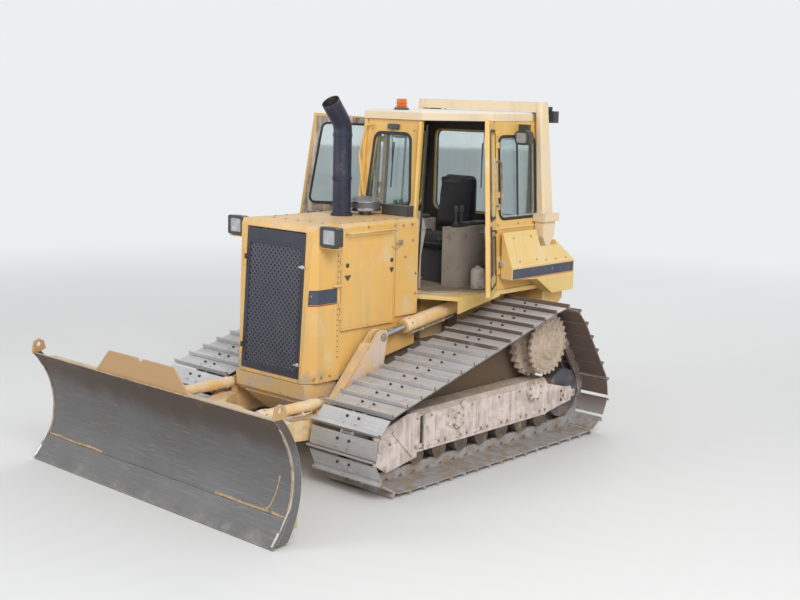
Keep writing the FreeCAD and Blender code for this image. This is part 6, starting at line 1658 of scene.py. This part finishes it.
    def door_skin(self, side: str, plane: Plane, body: str) -> None:
        """Makes the worn lining round a door's panes and the strip down its free edge."""
        across, split, height = self.across, self.door_split, self.door_height
        skin = Shape(f"door_skin_{side}")
        upper, lower = self.panes()
        for corners, low, high in ((upper, split, height - 0.018), (lower, 0.050, split)):
            edge = [(0.030, low), (across(low) - 0.016, low), (across(high) - 0.016, high),
                (0.030, high)]
            skin.ring(plane, offset(rounded(corners, 0.06, 6), 0.012), rounded(edge, 0.012, 6),
                -0.044, -0.0405)
        skin.make(DOOR_TRIM, 0.0015, body=body)
        strip = Shape(f"door_strip_{side}")
        low, high = 0.060, height - 0.022
        reach = -0.0082
        strip.sheet([plane.at(across(low) + reach, low, -0.041),
            plane.at(across(high) + reach, high, -0.041),
            plane.at(across(high) + reach, high, -0.0035),
            plane.at(across(low) + reach, low, -0.0035)], plane.along * 0.0022)
        strip.sheet([plane.at(across(low) + reach, low, -0.0035),
            plane.at(across(high) + reach, high, -0.0035),
            plane.at(across(high) + reach - 0.030, high, -0.0035),
            plane.at(across(low) + reach - 0.030, low, -0.0035)], plane.out * 0.0022)
        strip.make(DOOR_TRIM, 0.0008, body=body)


@dataclass
class Fenders:
    """The fading stripe, the access panel and the light on each fender."""

    outer: float = 0.915
    break_height: float = 1.617
    top: tuple[float, float] = (0.797, 1.932)

    def build(self) -> None:
        """Makes both fenders' details."""
        for side, sign in SIDES:
            slope = Vector((0.0, (self.top[0] - self.outer) * sign,
                self.top[1] - self.break_height)).normalized()
            out = Vector((1, 0, 0)).cross(slope) * -1.0
            if out.y * sign < 0:
                out.negate()
            plane = Plane(Vector((0.0, self.outer * sign, self.break_height)), Vector((1, 0, 0)),
                slope, out)
            panel = Shape(f"fender_panel_{side}")
            outline = rounded(oblong(-1.500, 0.028, -1.190, 0.300), 0.030, 6)
            panel.plate(plane, outline, 0.004, -0.001)
            panel.make(SUNLIT_FENDER, 0.002)
            bolts = Shape(f"fender_bolts_{side}")
            for x, up in ((-1.475, 0.052), (-1.215, 0.052), (-1.475, 0.276), (-1.215, 0.276)):
                bolts.screw(plane, (x, up, 0.003), 0.013, 0.007, x * 5)
            for x in (-1.62, -1.78, -1.94):
                bolts.screw(plane, (x, 0.035), 0.013, 0.007, x * 5)
            bolts.make(BOLT)
            face = leaning((0, self.outer * sign, 0), (1, 0, 0), (0, 0, 1), (0, sign, 0))
            for name, finish, low, high in (("stripe", STRIPE, 1.512, 1.602),
                    ("line", RED, 1.502, 1.508)):
                stripe = Shape(f"fender_{name}_{side}")
                stripe.plate(face, [(-2.055, low), (-1.092, low), (-1.092, high), (-2.055, high)],
                    0.0012, 0.0004)
                stripe.make(finish)
            fold = Shape(f"fender_fold_{side}")
            fold.bar((-1.092, self.outer * sign - 0.004 * sign, 1.6165),
                (-2.055, self.outer * sign - 0.004 * sign, 1.6165), 0.007, sides=12)
            fold.make(SUNLIT_FENDER)
            light = Shape(f"fender_light_{side}")
            light.lathe((-1.077, 0.793 * sign, 1.640), (1, 0, 0),
                [(0.030, 0.0), (0.030, 0.010), (0.022, 0.014), (0.0, 0.015)], 24)
            light.make(LENS)
            grid = Shape(f"platform_grip_{side}")
            for number in range(8):
                x = -0.54 - number * 0.066
                grid.box((x, 0.735 * sign, 1.3925 + 0.0095), (0.030, 0.075, 0.006))
            grid.make(SUNLIT_FENDER, 0.0015)


@dataclass
class BladeTrim:
    """The seams, the edge's bolts and the worn corners of the blade."""

    radius: float = 0.66
    edge_radius: float = 0.64
    half: float = 1.53

    def front(self, height: float, lift: float = 0.0) -> float:
        """Returns the blade's front at a height, in metres ahead."""
        radius = self.edge_radius if height < 0.2 else self.radius
        return 2.8433 - math.sqrt(max(0.0, radius ** 2 - (height - 0.47) ** 2)) + lift

    def at(self, y: float, height: float, lift: float = 0.001) -> Vector:
        """Returns a point on the blade's front."""
        return Vector((self.front(height, lift), y, height))

    def build(self) -> None:
        """Makes the seams, bolts and worn corners."""
        seam = Shape("blade_seam")
        for start, end in ((-1.50, -0.72), (0.72, 1.50)):
            steps = [self.at(start + (end - start) * number / 5,
                0.204 + 0.004 * math.sin(number * 2.1), -0.007) for number in range(6)]
            seam.bead([tuple(point) for point in steps], 0.0155)
        crack = [(1.382, 0.477), (1.366, 0.40), (1.344, 0.317), (1.322, 0.25), (1.282, 0.206)]
        seam.bead([tuple(self.at(y, z, -0.003)) for y, z in crack], 0.0085)
        for sign in (1.0, -1.0):
            seam.bead([tuple(self.at(1.507 * sign, 0.22 + 0.12 * number)) for number in range(6)],
                0.006)
            seam.bead([tuple(self.at(0.60 * sign, 0.945)), tuple(self.at(0.30 * sign, 0.945)),
                tuple(self.at(0.0, 0.945))], 0.006)
        seam.make(WELD, body="blade")
        bolts = Shape("edge_bolts")
        for number in range(21):
            y = -1.44 + 0.144 * number
            height = 0.125
            slope = Vector((self.front(height + 0.01) - self.front(height - 0.01), 0.0,
                0.02)).normalized()
            normal = Vector((slope.z, 0.0, -slope.x))
            place = self.at(y, height, -0.001)
            bolts.lathe(place, normal, [(0.017, 0.0), (0.0165, 0.003), (0.010, 0.0045),
                (0.0, 0.005)], 16)
        bolts.make(WORN, body="blade")
        worn = Shape("blade_worn_corners")
        for sign in (1.0, -1.0):
            worn.bar(self.at(1.516 * sign, 0.03, 0.004), self.at(1.516 * sign, 0.115, 0.004), 0.009,
                sides=10)
            points = [tuple(self.at(1.521 * sign, 0.12 + 0.075 * number, 0.001))
                for number in range(11)]
            worn.tube(points, 0.0055, 8)
        worn.make(WORN, body="blade")


@dataclass
class Undercarriage:
    """Covers, plugs and bolts on the roller frames, the final drives and the wheels."""

    outer: float = 1.125
    plate_teeth: int = 26
    drive_centre: Point = (-1.330, 0.0, 0.918)
    rollers: tuple[float, ...] = tuple(-1.330 + 0.288 * number for number in range(7))
    wheels: tuple[float, float] = (-1.75, 0.85)

    def build(self) -> None:
        """Makes both sides' details."""
        for side, sign in SIDES:
            self.frame(side, sign)
            self.drive(side, sign)
            self.disc(side, sign)

    def frame(self, side: str, sign: float) -> None:
        """Makes a roller frame's cover, ribs, axle ends and bolts."""
        plane = leaning((0, self.outer * sign, 0), (1, 0, 0), (0, 0, 1), (0, sign, 0))
        cover = Shape(f"adjuster_cover_{side}")
        hexagon = [(-0.029 + 0.098 * math.cos(math.pi * (step + 0.5) / 3),
            0.446 + 0.082 * math.sin(math.pi * (step + 0.5) / 3)) for step in range(6)]
        cover.plate(plane, rounded(hexagon, 0.014, 4), 0.012)
        cover.knob(plane, (-0.176, 0.545), [(0.036, 0.0), (0.036, 0.012), (0.026, 0.022),
            (0.012, 0.022), (0.012, 0.028), (0.0, 0.028)], 24)
        cover.plate(plane, rounded(oblong(-1.395, 0.262, -0.62, 0.306), 0.008, 3), 0.008)
        cover.plate(plane, rounded(oblong(-0.50, 0.262, 0.44, 0.300), 0.008, 3), 0.008)
        for x in (-0.86, -0.40, 0.18):
            cover.plate(plane, [(x - 0.007, 0.31), (x + 0.007, 0.31), (x + 0.007, 0.535),
                (x - 0.007, 0.535)], 0.007)
        cover.make(ROLLER_FRAME, 0.003)
        caps = Shape(f"axle_caps_{side}")
        for x in self.wheels:
            caps.knob(plane, (x, 0.370, -0.001), [(0.062, 0.0), (0.062, 0.010), (0.050, 0.014),
                (0.022, 0.014), (0.020, 0.020), (0.0, 0.021)], 32)
            caps.plate(plane, rounded(oblong(x - 0.115, 0.335, x + 0.115, 0.405), 0.02, 5), 0.007)
        for x, z, radius, reach in ((-1.170, 0.500, 0.092, 0.044), (-0.090, 0.420, 0.070, 0.026)):
            caps.knob(plane, (x, z, reach), [(radius * 0.80, -0.002), (radius * 0.80, 0.006),
                (radius * 0.72, 0.011), (radius * 0.28, 0.011), (radius * 0.24, 0.018),
                (0.0, 0.018)], 36)
        caps.make(ROLLER_FRAME, 0.002)
        bolts = Shape(f"roller_frame_bolts_{side}")
        for x in self.rollers:
            for shift in (-0.042, 0.042):
                bolts.screw(plane, (x + shift, 0.283, 0.006), 0.021, 0.014, x * 11)
        for step in range(6):
            angle = math.pi * (step + 0.5) / 3
            bolts.screw(plane, (-0.029 + 0.076 * math.cos(angle), 0.446 + 0.062 * math.sin(angle),
                0.011), 0.014, 0.009, angle)
        for x, z, ring, reach, count in ((-1.170, 0.500, 0.082, 0.043, 8),
                (-0.090, 0.420, 0.062, 0.025, 6)):
            for step in range(count):
                angle = 2 * math.pi * (step + 0.5) / count
                bolts.screw(plane, (x + ring * math.cos(angle), z + ring * math.sin(angle), reach),
                    0.017, 0.014, angle)
        for x in self.wheels:
            for shift_x in (-0.088, 0.088):
                bolts.screw(plane, (x + shift_x, 0.370, 0.006), 0.021, 0.013, x)
        for x in (-1.28, -0.98, -0.68, -0.30, 0.24, 0.42):
            bolts.screw(plane, (x, 0.520), 0.016, 0.010, x * 3)
        bolts.make(CHAIN)
        self.flange(side, sign)
        welds = Shape(f"roller_frame_welds_{side}")
        for x in (-1.39, 0.44):
            welds.bead([tuple(plane.at(x, 0.25, 0.001)), tuple(plane.at(x, 0.40, 0.001)),
                tuple(plane.at(x, 0.53, 0.001))], 0.006)
        welds.make(ROLLER_FRAME)
        ends = Shape(f"roller_collars_{side}")
        for x in self.rollers:
            for reach in (1.1085, 0.8915):
                way = 1.0 if reach > 1.0 else -1.0
                ends.lathe((x, reach * sign, 0.212), (0, sign * way, 0),
                    [(0.050, -0.001), (0.050, 0.004), (0.030, 0.007), (0.0, 0.007)], 24)
        ends.make(ROLLER, 0.001)

    def flange(self, side: str, sign: float) -> None:
        """Makes the flange near the frame's front, a near-black strip beside it as its painted
        shadow, a near-black mark near the rear, and a dark sheet that paints the shade between the
        track's runs.
        """
        plane = leaning((0, self.outer * sign, 0), (1, 0, 0), (0, 0, 1), (0, sign, 0))
        edge = Shape(f"frame_flange_{side}")
        edge.plate(plane, rounded(oblong(0.330, 0.250, 0.352, 0.545), 0.004, 3), 0.022)
        edge.plate(plane, rounded(oblong(-1.455, 0.330, -1.435, 0.500), 0.004, 3), 0.016)
        edge.plate(plane, [(0.46, 0.205), (0.49, 0.205), (0.735, 0.455), (0.705, 0.470)], 0.012)
        edge.plate(plane, [(0.93, 0.205), (0.96, 0.215), (0.905, 0.300), (0.880, 0.290)], 0.012)
        edge.make(ROLLER_FRAME, 0.002)
        # Painted shadow: a near-black strip beside the front flange; also a near-black mark near
        # the rear end.
        slot = Shape(f"frame_dark_strips_{side}")
        slot.plate(plane, oblong(0.353, 0.252, 0.386, 0.535), 0.0012, 0.0002)
        slot.plate(plane, [(-1.625, 0.315), (-1.640, 0.385), (-1.625, 0.425), (-1.655, 0.425),
            (-1.672, 0.385), (-1.660, 0.315)], 0.0012, 0.0002)
        slot.make(DARK_MARKS)
        # Painted shade: a dark ribbed sheet fills the gap between the roller frame and the upper
        # run.
        guard = Shape(f"chain_guard_{side}")
        guard.sheet([(x, 0.878 * sign, z) for x, z in ((-1.40, 0.545), (0.28, 0.545), (0.28, 0.62),
            (-0.55, 0.85), (-1.05, 1.00), (-1.40, 0.90))], (0, 0.008 * sign, 0))
        for x, z in ((-0.85, 0.90), (-0.45, 0.79), (-0.05, 0.68)):
            guard.box((x, 0.873 * sign, (z + 0.56) / 2), (0.012, 0.012, z - 0.56))
        guard.make(SHADED_UNDERSIDE, 0.001)

    def disc(self, side: str, sign: float) -> None:
        """Makes the toothed plate on the outer end of a final drive, with its ring of bolts."""
        centre = Vector(self.drive_centre)
        plane = leaning((-1.330, 1.150 * sign, 0.918), (1, 0, 0), (0, 0, 1), (0, sign, 0))
        plate = Shape(f"drive_plate_{side}")
        teeth = []
        for step in range(self.plate_teeth):
            for share, radius in ((-0.32, 0.258), (-0.16, 0.284), (0.16, 0.284), (0.32, 0.258)):
                angle = 2 * math.pi * (step + share) / self.plate_teeth
                teeth.append((radius * math.cos(angle), radius * math.sin(angle)))
        plate.plate(plane, teeth, 0.030)
        plate.lathe(centre + Vector((0, 1.090 * sign, 0)), (0, sign, 0),
            [(0.205, 0.0), (0.215, 0.050), (0.238, 0.062), (0.238, 0.094), (0.226, 0.101),
            (0.205, 0.101), (0.200, 0.094), (0.148, 0.088), (0.142, 0.100), (0.132, 0.106),
            (0.128, 0.119)], 56)
        plate.make(DRIVE, 0.002)
        bolts = Shape(f"drive_plate_bolts_{side}")
        for count, ring, reach, across in ((18, 0.218, 1.191, 0.020), (12, 0.172, 1.180, 0.022)):
            for step in range(count):
                angle = 2 * math.pi * (step + 0.5) / count
                bolts.bolt(centre + Vector((ring * math.cos(angle), reach * sign,
                    ring * math.sin(angle))), (0, sign, 0), across, 0.013, angle)
        bolts.make(DRIVE)

    def drive(self, side: str, sign: float) -> None:
        """Makes the bolt rings, plug and ribs of a sprocket's hub."""
        ring = Shape(f"sprocket_bolts_{side}")
        centre = Vector(self.drive_centre)
        for step in range(15):
            angle = 2 * math.pi * step / 15
            at = centre + Vector((0.235 * math.cos(angle), 1.030 * sign, 0.235 * math.sin(angle)))
            ring.bolt(at, (0, sign, 0), 0.027, 0.017, angle)
        for step in range(10):
            angle = 2 * math.pi * (step + 0.5) / 10
            at = centre + Vector((0.100 * math.cos(angle), 1.209 * sign, 0.100 * math.sin(angle)))
            ring.bolt(at, (0, sign, 0), 0.019, 0.012, angle)
        ring.make(DRIVE, 0.0006)
        hub = Shape(f"hub_cover_{side}")
        hub.lathe(centre + Vector((0, 1.209 * sign, 0)), (0, sign, 0),
            [(0.078, 0.0), (0.078, 0.008), (0.070, 0.012), (0.026, 0.012), (0.024, 0.020),
            (0.0, 0.021)], 40)
        hub.bolt(centre + Vector((0.055, 1.219 * sign, -0.02)), (0, sign, 0), 0.019, 0.010)
        for step in range(10):
            angle = 2 * math.pi * step / 10
            hub.lathe(centre + Vector((0.181 * math.cos(angle), 1.054 * sign - 0.002 * sign,
                0.181 * math.sin(angle))), (0, sign, 0),
                [(0.013, 0.0), (0.013, 0.006), (0.0, 0.008)], 12)
        hub.make(DRIVE, 0.0015)


@dataclass
class Interior:
    """The operator's place: padded seat, floor mat, panels and small controls."""

    cushion_cap: float = 0.024

    def build(self) -> None:
        """Makes the cushions and the fittings around them."""
        squab = self.cushion("seat_squab", (-1.330, -0.245, 1.735), (-0.850, 0.245, 1.846), 0.0)
        back = self.cushion("seat_backrest", (-1.400, -0.205, 1.880), (-1.285, 0.205, 2.400), -8.0)
        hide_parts("seat_cushions")
        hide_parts("seat_cushions")
        self.piping()
        self.floor()
        self.panels()

    def cushion(self, name: str, low: Point, high: Point, lean: float) -> bpy.types.Object:
        """Makes one stuffed cushion, blown up as cloth.

        Args:
            name: the piece's name.
            low: its lowest corner.
            high: its highest corner.
            lean: how far it leans back, in degrees.

        Returns:
            The cushion.
        """
        inset = 0.012
        first = Vector(low) + Vector((inset, inset, inset))
        last = Vector(high) - Vector((inset, inset, inset))
        shape = Shape(name)
        middle = (first + last) / 2
        shape.box(middle, tuple(last - first), Matrix.Rotation(math.radians(lean), 4, "Y"))
        bmesh.ops.subdivide_edges(shape.mesh, edges=shape.mesh.edges[:], cuts=3, use_grid_fill=True)
        piece = shape.make(SEAT)
        for kind, settings in (("BEVEL", {"width": 0.022, "segments": 3}),
                ("REMESH", {"mode": "VOXEL", "voxel_size": 0.006})):
            made = piece.modifiers.new(kind.lower(), kind)
            for key, value in settings.items():
                setattr(made, key, value)
        self.apply(piece)
        self.inflate(piece)
        smooth = piece.modifiers.new("smooth", "SMOOTH")
        smooth.factor, smooth.iterations = 0.5, 4
        self.apply(piece)
        for face in piece.data.polygons:
            face.use_smooth = True
        return piece

    def inflate(self, piece: bpy.types.Object) -> None:
        """Blows a cushion up as cloth, keeps the movement small and applies it."""
        before = [vert.co.copy() for vert in piece.data.vertices]
        cloth = piece.modifiers.new("cloth", "CLOTH")
        cloth.settings.use_pressure = True
        cloth.settings.uniform_pressure_force = 4.0
        cloth.settings.effector_weights.gravity = 0.0
        cloth.settings.quality = 5
        for number in range(1, 21):
            bpy.context.scene.frame_set(number)
        self.apply(piece)
        bpy.context.scene.frame_set(1)
        for vert, start in zip(piece.data.vertices, before):
            moved = vert.co - start
            if moved.length > self.cushion_cap:
                vert.co = start + moved.normalized() * self.cushion_cap

    @staticmethod
    def apply(piece: bpy.types.Object) -> None:
        """Applies every modifier of a piece."""
        graph = bpy.context.evaluated_depsgraph_get()
        data = bpy.data.meshes.new_from_object(piece.evaluated_get(graph), depsgraph=graph)
        old = piece.data
        piece.modifiers.clear()
        piece.data = data
        if not data.materials:
            data.materials.append(old.materials[0])

    def piping(self) -> None:
        """Makes the cord sewn round the seat cushion, the seat's shell behind the back and the arm
        pads.
        """
        seams = Shape("seat_piping")
        for z, grow in ((1.790, 0.004),):
            outline = offset(rounded(oblong(-1.326, -0.241, -0.854, 0.241), 0.045, 6), grow)
            seams.tube([(x, y, z) for x, y in outline], 0.0045, 6, closed=True)
        seams.make(DARK_PLASTIC)
        shell = Shape("seat_shell")
        shell.sheet([(-1.405, y, z) for y, z in rounded(oblong(-0.20, 1.90, 0.20, 2.40), 0.06, 6)],
            (-0.014, 0, 0))
        shell.make(DARK_PLASTIC, 0.005)
        for side, sign in SIDES:
            rest = Shape(f"arm_pad_{side}")
            rest.sheet([(x, y * sign, 1.962) for x, y in rounded(oblong(-1.36, 0.315, -1.06, 0.395),
                0.03, 6)], (0, 0, 0.034))
            rest.make(DARK_PLASTIC, 0.012, 3)

    def floor(self) -> None:
        """Makes the ribbed mat, the sill edges and the canister by the left hinge."""
        mat = Shape("floor_mat")
        outline = [(-0.50, -0.40), (-0.50, 0.40), (-0.86, 0.62), (-1.04, 0.70), (-1.04, -0.70),
            (-0.86, -0.62)]
        mat.sheet([(x, y, 1.401) for x, y in outline], (0, 0, 0.007))
        for number in range(14):
            x = -0.53 - 0.036 * number
            half = min(0.69, 0.40 + max(0.0, -0.50 - x) * 0.56) - 0.02
            mat.box((x, 0.0, 1.4095), (0.014, 2 * half, 0.004))
        mat.make(FLOOR_MAT, 0.001)
        for side, sign in SIDES:
            sill = Shape(f"door_sill_{side}")
            start, end = Vector((-1.00, 0.752 * sign, 1.404)), Vector((-0.345, 0.398 * sign, 1.404))
            run = (end - start).normalized()
            across = Vector((run.y, -run.x, 0)) * 0.011
            sill.sheet([start + across, end + across, end - across, start - across], (0, 0, 0.006))
            sill.make(SILVER, 0.001)
            pedal = Shape(f"pedal_{side}")
            pedal.box((-0.66, 0.12 * sign, 1.455), (0.10, 0.09, 0.014),
                Matrix.Rotation(math.radians(38), 4, "Y"))
            pedal.bar((-0.66, 0.12 * sign, 1.405), (-0.66, 0.12 * sign, 1.45), 0.010)
            pedal.make(DARK_PLASTIC, 0.003)
        can = Shape("canister")
        can.lathe((-0.965, 0.610, 1.406), (0, 0, 1),
            [(0.062, 0.0), (0.066, 0.006), (0.066, 0.165), (0.058, 0.185), (0.026, 0.196),
            (0.026, 0.212), (0.0, 0.214)], 28)
        can.make(CANISTER, 0.002)

    def panels(self) -> None:
        """Makes the console's dark slots, lever boots and the instrument panel's window."""
        for side, sign in SIDES:
            slot = Shape(f"console_slot_{side}")
            slot.sheet([(x, y * sign, 1.9605) for x,
                y in rounded(oblong(-1.03, 0.335, -0.85, 0.425), 0.012, 4)], (0, 0, 0.004))
            slot.sheet([(x, 0.2895 * sign, z) for x,
                z in rounded(oblong(-1.34, 1.50, -0.90, 1.86), 0.02, 5)], (0, -0.003 * sign, 0))
            slot.make(DARK_PLASTIC, 0.002)
            boots = Shape(f"lever_boots_{side}")
            for x in (-0.90, -0.98):
                boots.lathe((x, 0.38 * sign, 1.963), (0, 0, 1),
                    [(0.034, 0.0), (0.030, 0.010), (0.031, 0.016), (0.024, 0.026), (0.025, 0.032),
                    (0.016, 0.044), (0.012, 0.046)], 20)
            boots.make(RUBBER)
        board = Shape("instrument_window")
        board.sheet([(-0.5615, y, z) for y, z in rounded(oblong(-0.19, 1.90, 0.19, 2.07), 0.015,
            4)], (-0.005, 0, 0))
        board.make(DARK_PLASTIC, 0.002)
        dials = Shape("dial_rims")
        for y in (-0.13, -0.045, 0.045, 0.13):
            dials.lathe((-0.566, y, 1.985), (-1, 0, 0),
                [(0.032, 0.0), (0.032, 0.005), (0.027, 0.007), (0.026, 0.003), (0.0, 0.003)], 24)
        dials.make(SILVER)


@dataclass
class Studio:
    """The floor, the light and the camera of the photograph."""

    eye: Point = (7.951, 7.711, 3.208)
    yaw: float = -137.872
    pitch: float = -9.613
    roll: float = 1.309
    lens: float = 56.0
    backdrop: Colour = (0.84, 0.86, 0.88)
    ambient: float = 0.62
    lamps: tuple[tuple[str, Point, float, float],
        ...] = (("key_lamp", (6.5, 11.5, 10.0), 7.0, 1500.0),
        ("fill_lamp", (11.0, -6.0, 6.0), 6.0, 420.0), ("back_lamp", (-9.0, -3.0, 9.0), 6.0, 360.0))

    def build(self) -> None:
        """Makes the stage."""
        self.world()
        self.floor()
        for name, place, width, power in self.lamps:
            self.lamp(name, place, width, power)
        self.camera()

    def world(self) -> None:
        """Makes a pale surround that lights softly and shows plain behind the object."""
        scene = bpy.context.scene
        scene.world = bpy.data.worlds.new("studio")
        scene.world.use_nodes = True
        tree = scene.world.node_tree
        tree.nodes.clear()
        graph = Graph(tree)
        path = graph.node("ShaderNodeLightPath").outputs
        seen = graph.math("MAXIMUM", path["Is Camera Ray"], path["Is Glossy Ray"])
        seen = graph.math("MAXIMUM", seen, path["Is Transmission Ray"])
        light = graph.node("ShaderNodeBackground", {0: (0.90, 0.95, 1.0), 1: self.ambient})
        shown = graph.node("ShaderNodeBackground", {0: self.backdrop, 1: 1.0})
        both = graph.node("ShaderNodeMixShader", {0: seen, 1: light.outputs[0],
            2: shown.outputs[0]})
        output = graph.node("ShaderNodeOutputWorld")
        tree.links.new(both.outputs[0], output.inputs[0])

    def floor(self) -> None:
        """Makes a pale floor that keeps the shadow and fades into the backdrop."""
        mesh = bmesh.new()
        bmesh.ops.create_circle(mesh, cap_ends=True, segments=96, radius=60.0)
        data = bpy.data.meshes.new("floor")
        mesh.to_mesh(data)
        mesh.free()
        floor = bpy.data.objects.new("floor", data)
        bpy.context.scene.collection.objects.link(floor)
        material = bpy.data.materials.new("floor")
        material.use_nodes = True
        tree = material.node_tree
        tree.nodes.clear()
        graph = Graph(tree)
        place = graph.place()
        away = graph.node("ShaderNodeVectorMath", {0: place}, operation="LENGTH").outputs["Value"]
        far = graph.ramp(away, 5.0, 16.0)
        path = graph.node("ShaderNodeLightPath").outputs
        seen = graph.math("MULTIPLY", far, path["Is Camera Ray"])
        plain = graph.node("ShaderNodeBsdfDiffuse", {0: (0.72, 0.71, 0.69)})
        glow = graph.node("ShaderNodeEmission", {0: self.backdrop, 1: 1.0})
        both = graph.node("ShaderNodeMixShader", {0: seen, 1: plain.outputs[0], 2: glow.outputs[0]})
        output = graph.node("ShaderNodeOutputMaterial")
        tree.links.new(both.outputs[0], output.inputs[0])
        data.materials.append(material)

    def lamp(self, name: str, place: Point, width: float, power: float) -> None:
        """Adds a square lamp that looks at the object's middle."""
        data = bpy.data.lights.new(name, "AREA")
        data.size = width
        data.energy = power
        lamp = bpy.data.objects.new(name, data)
        lamp.location = place
        lamp.rotation_euler = (Vector((0, 0, 1.0)) - Vector(place)).to_track_quat("-Z",
            "Y").to_euler()
        bpy.context.scene.collection.objects.link(lamp)

    def camera(self) -> None:
        """Sets the camera at the photograph's place, with its roll."""
        yaw, pitch, roll = (math.radians(angle) for angle in (self.yaw, self.pitch, self.roll))
        ahead = Vector((math.cos(pitch) * math.cos(yaw), math.cos(pitch) * math.sin(yaw),
            math.sin(pitch)))
        right = Vector((math.sin(yaw), -math.cos(yaw), 0.0))
        above = right.cross(ahead)
        side = right * math.cos(roll) + above * math.sin(roll)
        top = above * math.cos(roll) - right * math.sin(roll)
        data = bpy.data.cameras.new("camera")
        data.lens = self.lens
        data.sensor_width = 36.0
        data.clip_end = 200.0
        camera = bpy.data.objects.new("camera", data)
        axes = Matrix((side, top, -ahead)).transposed()
        camera.matrix_world = Matrix.Translation(self.eye) @ axes.to_4x4()
        bpy.context.scene.collection.objects.link(camera)
        bpy.context.scene.camera = camera


def main() -> None:
    """Loads the frame, dresses it, adds every sub-assembly's details and sets the stage."""
    logging.basicConfig(level=logging.INFO, format="%(message)s")
    random.seed(7)
    for default in list(bpy.data.objects):
        bpy.data.objects.remove(default)
    bpy.context.scene.view_settings.view_transform = "Standard"
    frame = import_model()
    nodes = frame["nodes"]
    for finish, names in NODE_FINISHES.items():
        for name in names:
            dress(nodes[name], finish)
    for name, width in ROUNDED_NODES.items():
        round_edges(nodes[name], width)
    Tracks().build(nodes)
    Undercarriage().build()
    Grille().build()
    Hood().build()
    for ram in rams():
        ram.build()
    PushFrame().build()
    BladeTrim().build()
    Cab().build()
    Fenders().build()
    Interior().build()
    Studio().build()


if __name__ == "__main__":
    main()
